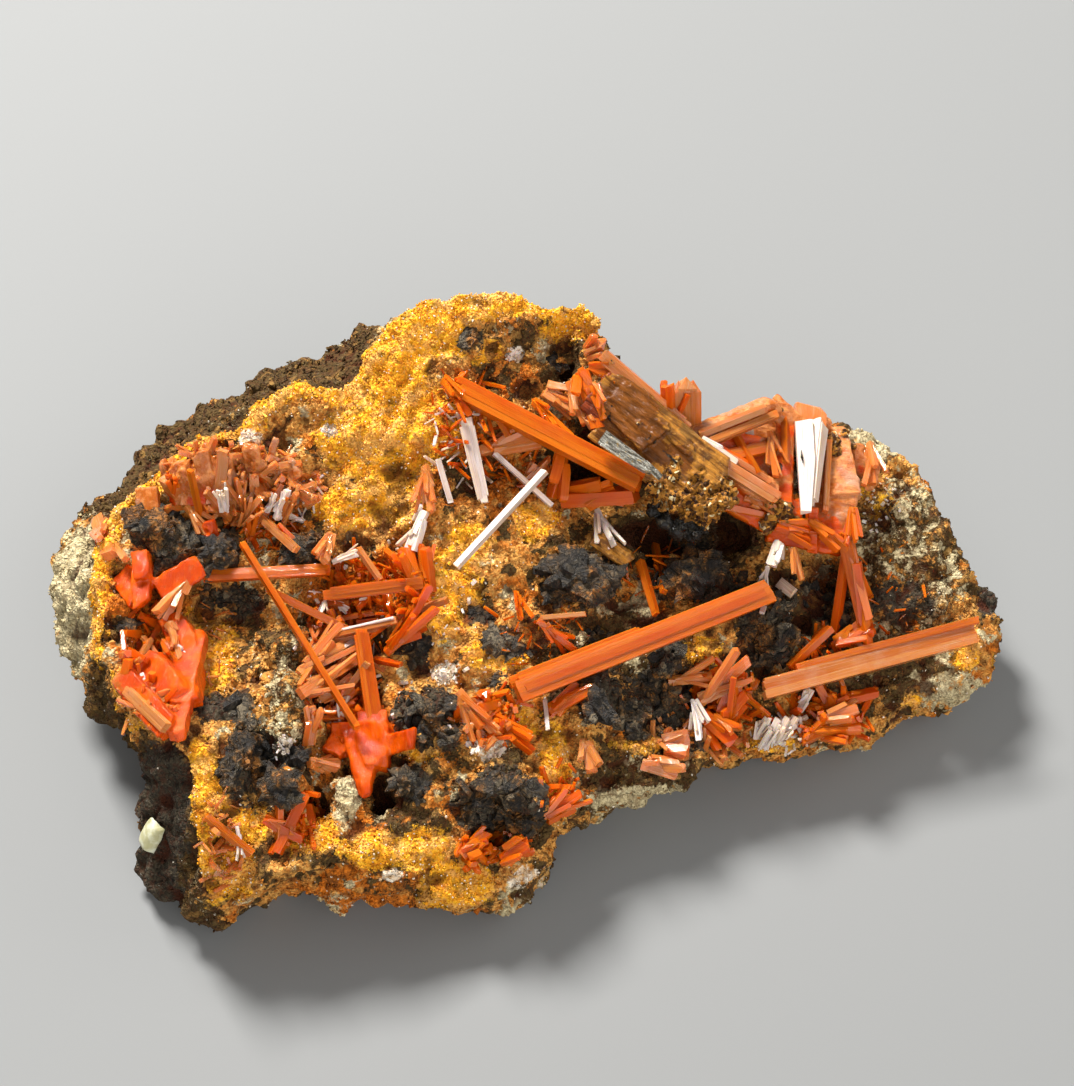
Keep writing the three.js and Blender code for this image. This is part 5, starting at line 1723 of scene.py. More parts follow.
@dataclass
class Crumbs:
    """Angular crumbs bedded all over the rock, thickest on the display face, of the minerals there."""

    name: str
    slot: str
    earthy: bool
    count: int = 14500
    seed: int = 41
    small: float = 0.12
    large: float = 0.6
    uneven: float = 0.4
    # painted glints: a share of the smallest crumbs take the top tint, which the rock's finish colours chalk
    # white
    painted_glints: float = 0.06
    painted_glint_size: float = 0.2
    bedded: Ramp = (-0.45, 0.15)
    strewn: float = 0.15
    fineness: float = 2.0
    slimmest: Ramp = (0.8, 0.5, 0.4)
    stoutest: Ramp = (1.1, 0.9, 0.8)
    lowest: float = 0.02
    tint_range: float = 0.92
    least_seen: float = 0.12
    seen_levels: Ramp = (-0.2, 0.5)
    upward_levels: Ramp = (-0.5, 0.0)
    off_oxide: float = 0.93
    off_ash: float = 0.8
    off_umber: float = 0.6
    off_hollow: float = 0.9
    beyond_earth: float = 1.02

    def weights(self, facing: np.ndarray, area: np.ndarray, shares: dict[Mineral, np.ndarray]) -> np.ndarray:
        """How likely each face of the rock is to carry a crumb.

        Args:
            facing: the way each face looks.
            area: the size of each face.
            shares: how far each mineral covers it.

        Returns:
            One weight for each face.
        """
        seen = self.least_seen + smooth_step(*self.seen_levels, facing @ np.array(EYE_BACK))
        weight = area * seen * smooth_step(*self.upward_levels, facing[:, 2])
        weight *= 1 - self.off_oxide * np.clip(shares[MANGANESE], 0, 1)
        weight *= 1 - self.off_ash * np.clip(shares[ASH], 0, 1)
        weight *= 1 - self.off_umber * shares[UMBER] * (1 - shares[OCHRE])
        weight *= 1 - self.off_hollow * shares[SHADED_HOLLOW]
        earth = np.clip(shares[OCHRE], 0, 1)
        return weight * (earth if self.earthy else self.beyond_earth - earth)

    def build(self, rock_piece: bpy.types.Object, finish: bpy.types.Material) -> bpy.types.Object:
        """The joined crumbs.

        Args:
            rock_piece: the finished rock, which carries them.
            finish: the rock's own material.

        Returns:
            The piece.
        """
        rock_mesh = rock_piece.data
        rng = np.random.default_rng(self.seed)
        centre = values_of(rock_mesh.polygons, "center", 3) / MM
        facing = values_of(rock_mesh.polygons, "normal", 3)
        corners = values_of(rock_mesh.loops, "vertex_index", kind=int)
        first = corners[values_of(rock_mesh.polygons, "loop_start", kind=int)]
        shares = {m: values_of(rock_mesh.attributes[m.value].data, "value")[first] for m in Mineral}
        weight = self.weights(facing, values_of(rock_mesh.polygons, "area"), shares)
        chosen = rng.choice(len(weight), self.count, p=weight / weight.sum())
        size = self.small * (self.large / self.small) ** (rng.random(self.count) ** self.fineness)
        shape = CUBE_CORNERS + rng.uniform(-self.uneven, self.uneven, (self.count, *CUBE_CORNERS.shape))
        slim = rng.uniform(self.slimmest, self.stoutest, (self.count, 3))
        shape *= (slim * size[:, None] / 2)[:, None, :]
        turn, _ = np.linalg.qr(rng.normal(size=(self.count, 3, 3)))
        shape = np.einsum("nij,nkj->nki", turn, shape)
        lift = facing[chosen] * (size * rng.uniform(*self.bedded, self.count))[:, None]
        places = centre[chosen] + lift + rng.uniform(-self.strewn, self.strewn, (self.count, 3))
        places = (places[:, None, :] + shape).reshape(-1, 3)
        places[:, 2] = np.maximum(places[:, 2], self.lowest)
        around = len(CUBE_CORNERS)
        quads = (CUBE_FACES[None] + around * np.arange(self.count)[:, None, None]).reshape(-1, 4)
        mesh = bpy.data.meshes.new(self.name)
        mesh.from_pydata((places * MM).tolist(), [], quads.tolist())
        for mineral in Mineral:
            paint(mesh, mineral.value, np.repeat(shares[mineral][chosen], around))
        tint = rng.random(self.count) * self.tint_range
        # painted glints: these crumbs are coloured chalk white by the finish
        tint[(size < self.painted_glint_size) & (rng.random(self.count) < self.painted_glints)] = 1
        paint(mesh, "tint", np.repeat(tint, around))
        shape = bmesh.new()
        shape.from_mesh(mesh)
        bmesh.ops.recalc_face_normals(shape, faces=shape.faces)
        shape.to_mesh(mesh)
        shape.free()
        mesh.materials.append(finish)
        if self.earthy:
            mesh.shade_smooth()
        piece = show(self.name, mesh)
        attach(piece, "root")
        return piece


@dataclass(frozen=True)
class Druse:
    """A patch of small crystals: an oval of the view, how many, their lengths and how slender they are."""

    u: float
    v: float
    across: float
    down: float
    count: int
    short: float
    long: float
    slender: float
    splay: float


DRUSE_SEED = 60


@dataclass
class SmallCrystals:
    """Small prisms and splinters that line the pockets, of one habit."""

    name: str
    fields: tuple[Druse, ...]
    seed: int
    shapes: int = 8
    widths: Ramp = (0.6, 1.5)
    depths: Ramp = (0.5, 1)
    upright: float = 0.6
    least_rise: float = 0.05
    given_rise: float = 0.1
    rooted: float = 0.15

    def grow(self, area: Druse, point: Vector, normal: Vector, rng: random.Random) -> Matrix:
        """Places one crystal of a patch.

        Args:
            area: the patch.
            point: where the crystal is rooted, in millimetres.
            normal: the way the rock faces there.
            rng: draws its size and the way it points.

        Returns:
            The matrix that turns a unit needle into the crystal.
        """
        length = rng.uniform(area.short, area.long)
        wide = length * area.slender * rng.uniform(*self.widths)
        lean = Vector((rng.gauss(0, 1), rng.gauss(0, 1), rng.gauss(0, self.upright))) * area.splay
        axis = (normal + lean).normalized()
        if axis.dot(normal) < self.least_rise:
            axis = (axis + normal * (self.given_rise - axis.dot(normal))).normalized()
        turn = axis.to_track_quat("Z", "Y").to_matrix().to_4x4()
        turn = turn @ Matrix.Rotation(rng.uniform(0, math.pi), 4, "Z")
        basis = Matrix.Translation(point - axis * self.rooted * length) @ turn
        deep = wide * rng.uniform(*self.depths)
        return basis @ Matrix.Diagonal((wide / 2, deep / 2, length * (1 + self.rooted), 1))

    def build(self, survey: Survey, finish: bpy.types.Material) -> bpy.types.Object:
        """The joined small crystals."""
        rng = random.Random(self.seed)
        strewing = Strewing(self.name, [Template.needle(rng) for _ in range(self.shapes)])
        for area in self.fields:
            for k in range(area.count):
                met = survey.meet(*random_pixel(area, rng), carved=True)
                if met is not None:
                    strewing.add(self.grow(area, *met, rng), k, rng.random())
        mesh = strewing.mesh()
        unwrap = mesh.uv_layers.new(name="run")
        corners = values_of(mesh.loops, "vertex_index", kind=int)
        at = values_of(mesh.vertices, "co", 3)[corners] / MM
        unwrap.data.foreach_set("uv", np.column_stack((at[:, 0] + at[:, 1], at[:, 2] + at[:, 1])).ravel())
        piece = show(self.name, mesh)
        piece.data.materials.append(finish)
        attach(piece, "root")
        return piece


@dataclass
class ManganeseCrust:
    """Black oxide lumps: rounded masses and crumbling crags, joined and creased."""

    masses: tuple[tuple[float, float, float, tuple[float, float, float]], ...]
    crags: tuple[Field, ...]
    seed: int = 31
    clots: int = 6
    clot_levels: tuple[int, int] = (3, 1)
    shards: int = 6
    sunk: float = 0.5
    turn: float = 6
    spread: float = 1.15
    flakes: int = 8
    flake_reach: Ramp = (0.5, 1.25)
    flake_rise: Ramp = (-0.3, 0.5)
    flake_sizes: Ramp = (0.3, 0.75)
    flake_width: float = 0.8
    thin: Ramp = (0.15, 0.6)
    crag_sunk: float = 0.4
    crag_widths: Ramp = (0.4, 1)
    crease: float = 0.95
    lowest: float = 0.05

    def lump(
        self, strewing: Strewing, centre: Vector, half: tuple[float, float, float], rng: random.Random
    ) -> None:
        """Adds one rounded mass and the flakes on it.

        Args:
            strewing: the crust that grows.
            centre: the middle of the mass, in millimetres.
            half: its half sizes.
            rng: draws its shapes.
        """
        basis = Matrix.Translation(centre) @ Matrix.Rotation(rng.uniform(0, self.turn), 4, "Z")
        size = Matrix.Diagonal((half[0] * self.spread, half[1] * self.spread, half[2], 1))
        strewing.add(basis @ size, rng.randrange(self.clots), rng.random())
        for _ in range(self.flakes):
            turn = rng.uniform(0, 2 * math.pi)
            reach = rng.uniform(*self.flake_reach)
            across, down = reach * half[0] * math.cos(turn), reach * half[1] * math.sin(turn)
            aside = Vector((across, down, rng.uniform(*self.flake_rise)))
            size = rng.uniform(*self.flake_sizes) * min(half)
            flake = Matrix.Translation(centre + aside) @ random_turn(rng)
            flat = Matrix.Diagonal((size, size * self.flake_width, size * rng.uniform(*self.thin), 1))
            strewing.add(flake @ flat, self.angular(rng), rng.random())

    def angular(self, rng: random.Random) -> int:
        """One of the finer shapes."""
        return rng.randrange(self.clots, 2 * self.clots + self.shards)

    def build(self, survey: Survey) -> bpy.types.Object:
        """The joined crust."""
        rng = random.Random(self.seed)
        shapes = [Template.clot(rng, levels) for levels in self.clot_levels for _ in range(self.clots)]
        shapes += [Template.shard(rng) for _ in range(self.shards)]
        strewing = Strewing("manganese_crust", shapes)
        for u, v, proud, half in self.masses:
            self.lump(strewing, survey.place(rock(u, v, proud - self.sunk)), half, rng)
        for area in self.crags:
            for _ in range(area.count):
                met = survey.meet(*random_pixel(area, rng), carved=True)
                if met is None:
                    continue
                size = rng.uniform(area.small, area.large)
                centre = met[0] + met[1] * size * rng.uniform(-self.crag_sunk, self.crag_sunk)
                wide = size * rng.uniform(*self.crag_widths)
                shape = Matrix.Diagonal((size, wide, size * rng.uniform(*area.thin), 1))
                basis = Matrix.Translation(centre) @ random_turn(rng) @ shape
                strewing.add(basis, self.angular(rng), rng.random())
        mesh = strewing.mesh()
        places, _ = mesh_arrays(mesh)
        places[:, 2] = np.maximum(places[:, 2], self.lowest)
        write_places(mesh, places)
        mesh.shade_smooth()
        mesh.set_sharp_from_angle(angle=self.crease)
        mesh.materials.append(CrustFinish().make())
        piece = show("manganese_crust", mesh)
        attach(piece, "root")
        return piece


@dataclass
class PaleGrain:
    """The waxy pale grain stuck on the west flank."""

    levels: int = 3

    def build(self, frame: dict) -> bpy.types.Object:
        """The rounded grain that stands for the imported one."""
        piece = show("waxy_pale_grain", merged_copy(frame["nodes"]["pale_grain"], "waxy_pale_grain"))
        rounding = piece.modifiers.new("rounding", "SUBSURF")
        rounding.levels = self.levels
        rounding.render_levels = self.levels
        piece.data.materials.clear()
        piece.data.materials.append(PaleGrainFinish().make())
        piece.data.shade_smooth()
        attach(piece, "root")
        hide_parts("pale_grain")
        return piece


@dataclass(frozen=True)
class Lamp:
    """A soft square lamp: the way to it, its distance and size in metres, and its power in watts."""

    name: str
    toward: tuple[float, float, float]
    distance: float
    size: float
    power: float

    def build(self) -> None:
        """Hangs the lamp so that it faces the specimen."""
        data = bpy.data.lights.new(self.name, "AREA")
        data.energy = self.power
        data.size = self.size
        toward = Vector(self.toward)
        made = bpy.data.objects.new(self.name, data)
        made.location = VIEW_AIM * MM + toward.normalized() * self.distance
        made.rotation_euler = toward.to_track_quat("Z", "Y").to_euler()
        bpy.context.scene.collection.objects.link(made)


LAMPS = (
    Lamp("key", (-0.345, 0.557, 0.755), 0.6, 0.17, 10.0),
    Lamp("fill", (0.3, -0.85, 0.42), 1.2, 1.7, 20.0),
    Lamp("side", (0.9, 0.25, 0.55), 1.2, 1.0, 5.0),
)


@dataclass
class Studio:
    """Pale floor, lamps and the camera at the specimen's view."""

    floor_size: float = 3.0
    nearest: float = 0.01
    sky: float = 0.24
    sky_colour: Colour = (0.95, 0.97, 1.0, 1.0)

    def camera(self) -> None:
        """The camera at the view's eye."""
        data = bpy.data.cameras.new("view")
        data.sensor_width = SENSOR
        data.lens = FOCAL_PIXELS / FRAME_LONG_SIDE * SENSOR
        data.clip_start = self.nearest
        made = bpy.data.objects.new("view", data)
        made.location = EYE * MM
        made.rotation_euler = (math.pi / 2 - EYE_ELEVATION, 0, 0)
        bpy.context.scene.collection.objects.link(made)
        bpy.context.scene.camera = made

    def floor(self) -> None:
        """The plain floor that the specimen rests on."""
        shape = bmesh.new()
        bmesh.ops.create_grid(shape, x_segments=1, y_segments=1, size=self.floor_size / 2)
        mesh = bpy.data.meshes.new("floor")
        shape.to_mesh(mesh)
        shape.free()
        mesh.materials.append(FloorFinish().make())
        show("floor", mesh)

    def build(self) -> None:
        """The floor, the lamps, the sky and the camera."""
        self.floor()
        for lamp in LAMPS:
            lamp.build()
        world = bpy.data.worlds.new("studio")
        world.use_nodes = True
        background = world.node_tree.nodes["Background"]
        background.inputs["Color"].default_value = self.sky_colour
        background.inputs["Strength"].default_value = self.sky
        bpy.context.scene.world = world
        bpy.context.scene.view_settings.view_transform = "Standard"
        self.camera()


# The rim of the display face, clockwise from the west: pixel and height
ROCK_MIDDLE = (480, 600, 14)
CREST = (
    (95, 575, 17.5), (100, 540, 17.5), (112, 512, 17.5), (150, 482, 18.5), (178, 452, 20),
    (205, 436, 21), (238, 432, 21.5), (258, 408, 22), (285, 388, 23), (322, 390, 23), (352, 388, 23),
    (372, 355, 24), (388, 325, 25.5), (402, 316, 26), (440, 300, 27), (478, 288, 28), (500, 292, 27.8),
    (530, 300, 27), (578, 306, 26.5), (596, 318, 26), (601, 345, 24.5), (635, 388, 21.5),
    (690, 424, 18.5), (760, 428, 16.5), (835, 424, 15.5), (868, 432, 15), (905, 458, 14),
    (925, 482, 13), (945, 520, 11.8), (966, 560, 10.5), (985, 583, 9.5), (997, 605, 8.5),
    (1001, 632, 7.8), (990, 655, 7.2), (966, 682, 5.6), (930, 698, 5), (900, 708, 5), (878, 728, 5),
    (858, 735, 5), (835, 742, 5.5), (800, 744, 6), (760, 748, 6), (735, 750, 6.2), (700, 760, 6.5),
    (682, 776, 6.8), (650, 785, 7), (620, 792, 7), (595, 796, 7.5), (565, 812, 8), (549, 835, 8),
    (540, 856, 7), (520, 878, 5.5), (492, 906, 4.2), (465, 904, 4.8), (440, 893, 6.5), (420, 884, 8),
    (398, 878, 8.5), (378, 875, 9), (362, 866, 9.5), (348, 848, 11), (331, 843, 11.5), (318, 860, 10),
    (300, 872, 9.5), (280, 873, 10), (262, 880, 9.5), (248, 894, 8), (225, 915, 5.5), (212, 910, 6.5),
    (202, 888, 10), (198, 850, 12.5), (194, 815, 14), (194, 780, 15), (188, 756, 15.7),
    (172, 738, 16.2), (150, 722, 16.3), (128, 705, 16.5), (115, 685, 16.8), (107, 650, 17),
    (100, 610, 17.3),
)

# Minerals of the flanks beyond the rim
FLANKS = (
    *patches(
        ASH, (74, 600, 34, 90), (90, 545, 30, 34, 0.9), (640, 798, 80, 18, 0.9), (470, 910, 60, 14, 0.7),
        (870, 440, 40, 24, 0.8), (950, 690, 60, 20, 0.9),
    ),
    *patches(OCHRE, (97, 610, 10, 60, 0.9), (990, 660, 16, 14, 0.7)),
    *patches(
        MANGANESE, (105, 722, 40, 26), (165, 800, 34, 70), (150, 880, 44, 46, 0.9), (992, 600, 16, 24),
    ),
    *patches(UMBER, (180, 850, 30, 70)),
    *patches(RUST, (370, 888, 90, 30), (330, 880, 30, 24)),
)

# Where each mineral shows on the display face
MINERALS = (
    # bright ochre of the north rim and slope
    *patches(
        OCHRE, (480, 305, 60, 16), (430, 335, 45, 28), (395, 380, 40, 50), (360, 440, 45, 40),
        (400, 480, 36, 50), (350, 505, 40, 26), (565, 332, 30, 12, 0.6), (480, 350, 34, 14, 0.6),
        (440, 420, 30, 40, 0.8),
    ),
    # ochre along the west rim
    *patches(
        OCHRE, (108, 520, 14, 26), (150, 480, 24, 8), (185, 444, 18, 12), (238, 430, 30, 8),
        (275, 392, 26, 9), (325, 388, 28, 8), (97, 610, 11, 60), (112, 690, 14, 22), (140, 722, 22, 9),
    ),
    # granular ochre of the west hollow and the south-west wing
    *patches(
        OCHRE, (208, 650, 30, 55), (212, 830, 18, 80), (235, 870, 22, 30), (250, 820, 22, 30, 0.8),
        (198, 760, 10, 30),
    ),
    # south spur
    *patches(
        OCHRE, (310, 835, 30, 18), (372, 850, 34, 20), (458, 884, 38, 24), (425, 850, 30, 26, 0.7),
        (556, 765, 16, 48), (420, 745, 24, 16),
    ),
    # middle ground
    *patches(
        OCHRE, (450, 590, 34, 50, 0.8), (500, 650, 36, 26, 0.7), (535, 520, 26, 22, 0.7),
        (520, 720, 24, 20, 0.6), (470, 540, 26, 26, 0.6),
    ),
    # east end
    *patches(
        OCHRE, (967, 658, 16, 12), (912, 702, 12, 8), (875, 500, 26, 24, 0.35), (705, 650, 24, 18, 0.6),
        (640, 745, 30, 12, 0.5), (760, 745, 40, 8, 0.8),
    ),
    # rust
    *patches(
        RUST, (215, 470, 50, 40, 0.9), (285, 490, 40, 34, 0.8), (340, 640, 50, 90, 0.8),
        (160, 640, 40, 80, 0.8), (460, 430, 40, 60, 0.6), (380, 590, 50, 30, 0.7), (490, 830, 40, 24, 0.7),
        (850, 690, 50, 30, 0.6), (730, 700, 50, 30, 0.5), (520, 470, 40, 30, 0.6), (220, 860, 26, 40, 0.5),
        (580, 610, 20, 20, 0.5),
    ),
    # umber of the far flank, the walls and the hollows; in the hollows it is partly painted shade
    *patches(
        UMBER, (185, 435, 50, 26), (290, 372, 60, 20), (370, 340, 26, 24), (565, 312, 34, 18),
        (175, 830, 26, 90), (140, 870, 30, 60), (380, 885, 60, 20, 0.4), (630, 800, 70, 22, 0.8),
        (640, 540, 50, 30), (530, 338, 54, 24, 0.6), (720, 540, 50, 34), (905, 560, 80, 90, 0.75),
        (620, 640, 70, 50, 0.8), (880, 665, 90, 46, 0.8), (700, 680, 90, 50, 0.8), (640, 770, 80, 30, 0.8),
        (450, 770, 30, 40, 0.6), (410, 845, 36, 30, 0.8), (250, 640, 34, 40, 0.5), (780, 620, 60, 40, 0.8),
        (240, 600, 30, 20, 0.8), (260, 760, 40, 36, 0.8), (395, 800, 26, 30, 0.8), (560, 375, 26, 14, 0.9),
        (485, 345, 66, 26, 0.5), (100, 725, 40, 20), (330, 870, 24, 24, 0.7), (600, 450, 40, 40, 0.8),
        (770, 460, 90, 40, 0.7),
    ),
    *patches(RUST, (380, 872, 70, 30, 0.7), (500, 372, 50, 26, 0.6)),
    # ash and tan grey
    *patches(
        ASH, (76, 610, 20, 76), (90, 560, 14, 30), (285, 700, 18, 70, 0.4), (300, 640, 14, 40, 0.35),
        (290, 750, 22, 24, 0.45), (870, 445, 40, 20, 0.8), (910, 500, 30, 40, 0.4), (930, 600, 50, 40, 0.4),
        (895, 550, 60, 90, 0.36), (640, 795, 70, 14, 0.7), (950, 690, 40, 20, 0.7), (345, 800, 16, 26, 0.9),
        (525, 890, 26, 20, 0.8),
    ),
    *patches(UMBER, (285, 690, 20, 80, 0.7)),
    # black oxide stain under the lumps
    *patches(
        MANGANESE, (150, 527, 28, 24), (180, 545, 26, 26), (220, 556, 20, 20), (300, 552, 22, 18),
        (232, 602, 32, 18), (225, 708, 34, 14), (258, 770, 34, 42), (418, 652, 13, 20), (482, 614, 18, 8),
        (505, 642, 26, 17), (428, 722, 42, 34), (412, 785, 20, 18), (498, 805, 46, 38), (582, 575, 40, 32),
        (705, 575, 36, 28), (688, 540, 26, 14), (472, 342, 14, 18, 0.7), (668, 655, 16, 18),
        (600, 700, 26, 28), (660, 700, 50, 34, 0.8), (768, 632, 34, 38), (835, 615, 20, 36),
        (900, 600, 40, 26, 0.7), (990, 600, 14, 20), (352, 483, 6, 6, 0.6), (160, 790, 26, 60, 0.9),
        (150, 880, 40, 40, 0.8), (110, 720, 34, 24, 0.8), (700, 745, 30, 10, 0.6),
    ),
    # chalky patches
    *patches(
        CHALK, (252, 436, 13, 9), (331, 430, 10, 7), (516, 354, 10, 7), (445, 672, 15, 11, 0.9),
        (488, 740, 24, 20, 0.8), (392, 876, 12, 6), (524, 880, 18, 16, 0.9), (283, 745, 10, 10, 0.7),
    ),
    # hollows, carved deeper and darkened with painted shade
    *patches(
        SHADED_HOLLOW, (493, 350, 9, 7), (525, 390, 14, 12), (565, 373, 9, 9), (595, 470, 30, 16),
        (690, 535, 62, 22), (315, 805, 8, 16), (234, 526, 9, 7), (825, 590, 26, 30), (488, 832, 15, 12),
        (384, 806, 8, 14, 0.5), (330, 690, 22, 30, 0.7), (150, 660, 18, 20, 0.6), (205, 610, 14, 12, 0.5),
        (350, 620, 26, 16, 0.5),
    ),
)

# Rounded black masses: pixel, how far proud of the rock, half sizes
MASSES = (
    (140, 520, 0.3, (1.2, 1.0, 1.0)), (155, 526, 0.6, (1.3, 1.2, 1.1)), (165, 517, 0.4, (0.9, 0.9, 0.9)),
    (162, 542, 0.2, (1.0, 1.4, 0.9)), (178, 535, 0.3, (0.9, 1.6, 1.0)), (188, 548, 0.2, (0.9, 1.3, 0.9)),
    (172, 558, 0.0, (1.2, 1.0, 0.8)), (200, 545, 0.1, (1.0, 0.9, 0.8)), (218, 552, 0.5, (1.3, 1.2, 1.1)),
    (226, 542, 0.4, (0.9, 1.0, 0.9)), (213, 563, 0.3, (1.2, 0.9, 0.9)), (292, 556, 0.3, (1.1, 0.8, 0.8)),
    (304, 547, 0.3, (1.1, 0.9, 0.8)), (313, 540, 0.2, (0.8, 0.7, 0.7)), (120, 628, 0.0, (0.9, 1.3, 0.7)),
    (416, 650, 0.2, (0.9, 1.5, 0.8)), (421, 640, 0.2, (0.8, 0.9, 0.8)), (480, 614, 0.0, (1.3, 0.6, 0.5)),
    (498, 640, 0.1, (1.2, 1.0, 0.7)), (516, 648, 0.1, (1.1, 1.0, 0.7)), (500, 680, 0.0, (1.2, 0.7, 0.6)),
    (573, 570, 0.5, (1.9, 1.8, 1.3)), (588, 585, 0.4, (1.6, 1.4, 1.1)), (560, 592, 0.2, (1.3, 1.1, 0.9)),
    (605, 578, 0.3, (1.0, 1.6, 1.0)), (690, 572, 0.6, (2.0, 1.6, 1.4)), (708, 566, 0.5, (1.3, 1.3, 1.2)),
    (672, 584, 0.3, (1.2, 1.2, 1.0)), (593, 700, 0.6, (0.9, 2.0, 1.0)), (612, 668, 0.2, (0.7, 0.8, 0.6)),
    (230, 708, 0.2, (1.8, 0.7, 0.7)), (250, 716, 0.2, (1.4, 0.8, 0.7)), (243, 745, 0.3, (1.3, 1.4, 0.9)),
    (262, 768, 0.3, (1.4, 1.5, 1.0)), (278, 785, 0.5, (1.2, 1.2, 1.0)), (286, 796, 0.3, (0.8, 1.2, 0.9)),
    (232, 768, 0.1, (1.4, 1.0, 0.8)), (405, 780, 0.2, (1.1, 1.1, 0.9)), (420, 788, 0.2, (1.0, 0.9, 0.8)),
    (472, 336, 0.1, (0.8, 1.2, 0.7)), (552, 365, 0.1, (0.8, 0.9, 0.7)), (295, 758, 0.6, (0.9, 0.8, 0.8)),
)

# Crumbling black crags
CRAGS = (
    Field(428, 722, 36, 24, 70, 0.4, 1.0, (0.15, 0.4)), Field(498, 808, 42, 34, 130, 0.3, 1.3, (0.12, 0.4)),
    Field(520, 830, 18, 18, 40, 0.4, 0.9, (0.1, 0.3)), Field(660, 695, 46, 34, 80, 0.35, 1.0, (0.15, 0.6)),
    Field(640, 720, 30, 20, 40, 0.3, 0.8), Field(768, 632, 30, 34, 110, 0.4, 1.1, (0.12, 0.4)),
    Field(835, 612, 14, 32, 50, 0.3, 0.8), Field(668, 655, 14, 14, 20, 0.3, 0.8),
    Field(690, 540, 26, 10, 24, 0.4, 0.8), Field(580, 575, 40, 28, 40, 0.4, 0.9),
    Field(230, 595, 30, 14, 34, 0.3, 0.7), Field(300, 548, 20, 14, 20, 0.3, 0.7),
    Field(255, 760, 26, 34, 50, 0.5, 1.2, (0.12, 0.35)), Field(600, 640, 16, 12, 14, 0.3, 0.6),
    Field(740, 600, 20, 20, 30, 0.3, 0.8), Field(800, 590, 20, 14, 20, 0.3, 0.7),
)

# Patches of small crystals
DRUSES = {
    RED: (
        Druse(215, 480, 46, 40, 90, 0.8, 2.4, 0.25, 1.0), Druse(260, 530, 40, 22, 60, 0.8, 2.0, 0.2, 1.0),
        Druse(150, 660, 30, 60, 70, 0.8, 2.2, 0.3, 0.8), Druse(340, 660, 44, 80, 130, 0.9, 3.2, 0.2, 0.9),
        Druse(380, 590, 54, 34, 150, 0.8, 3.0, 0.16, 0.9), Druse(365, 735, 30, 18, 50, 0.8, 2.2, 0.35, 0.8),
        Druse(465, 420, 34, 50, 80, 0.8, 3.0, 0.12, 0.9), Druse(520, 470, 34, 24, 40, 0.8, 2.2, 0.14, 0.9),
        Druse(490, 720, 34, 28, 60, 0.7, 2.2, 0.3, 0.9), Druse(300, 820, 22, 30, 40, 0.6, 1.8, 0.4, 0.8),
        Druse(490, 845, 36, 18, 40, 0.6, 1.8, 0.4, 0.8), Druse(720, 700, 34, 36, 80, 0.8, 2.8, 0.2, 0.9),
        Druse(830, 715, 44, 26, 90, 0.7, 2.4, 0.25, 0.8), Druse(830, 650, 40, 20, 40, 0.6, 2.0, 0.2, 0.9),
        Druse(650, 570, 26, 30, 30, 0.8, 2.4, 0.12, 0.9), Druse(540, 630, 50, 40, 40, 0.5, 1.8, 0.12, 0.9),
        Druse(560, 790, 24, 30, 24, 0.6, 1.6, 0.3, 0.9), Druse(890, 590, 50, 50, 30, 0.4, 1.2, 0.2, 0.9),
    ),
    SALMON: (
        Druse(215, 480, 46, 40, 130, 0.8, 2.6, 0.3, 1.0), Druse(285, 485, 34, 30, 80, 0.8, 2.4, 0.28, 1.0),
        Druse(150, 700, 30, 30, 40, 0.7, 1.8, 0.35, 0.8), Druse(340, 660, 44, 80, 90, 0.9, 3.2, 0.2, 0.9),
        Druse(490, 725, 28, 24, 40, 0.6, 1.6, 0.4, 0.9), Druse(225, 840, 26, 50, 50, 0.5, 1.6, 0.25, 0.9),
        Druse(700, 735, 50, 18, 60, 0.6, 1.8, 0.3, 0.9), Druse(200, 640, 30, 60, 40, 0.5, 1.6, 0.14, 0.9),
    ),
    SILKY: (
        Druse(290, 500, 34, 26, 40, 0.8, 2.4, 0.15, 1.0), Druse(345, 640, 46, 70, 36, 0.8, 2.4, 0.14, 0.9),
        Druse(460, 440, 30, 50, 40, 0.8, 2.6, 0.12, 0.9), Druse(780, 735, 30, 16, 40, 0.6, 1.6, 0.25, 0.9),
        # short broad pale specks: painted glints, glossy too
        Druse(445, 672, 15, 11, 26, 0.15, 0.4, 0.9, 1.5), Druse(490, 738, 24, 22, 50, 0.2, 0.5, 0.9, 1.5),
        Druse(285, 748, 12, 14, 20, 0.15, 0.4, 0.9, 1.5),
        Druse(400, 640, 120, 100, 110, 0.15, 0.5, 0.7, 1.2), Druse(250, 436, 8, 5, 12, 0.15, 0.4, 0.9, 1.5),
        Druse(330, 430, 7, 5, 10, 0.15, 0.35, 0.9, 1.5), Druse(516, 354, 10, 7, 16, 0.2, 0.45, 0.9, 1.5),
        Druse(870, 500, 34, 34, 40, 0.15, 0.4, 0.7, 1.2),
    ),
}


def streak(
    start: tuple[float, float, float], end: tuple[float, float, float], half: float, count: int
) -> tuple[Stain, ...]:
    """Stains in a row from one pixel and height to another."""
    return tuple((*place, half) for place in np.linspace(start, end, count).tolist())


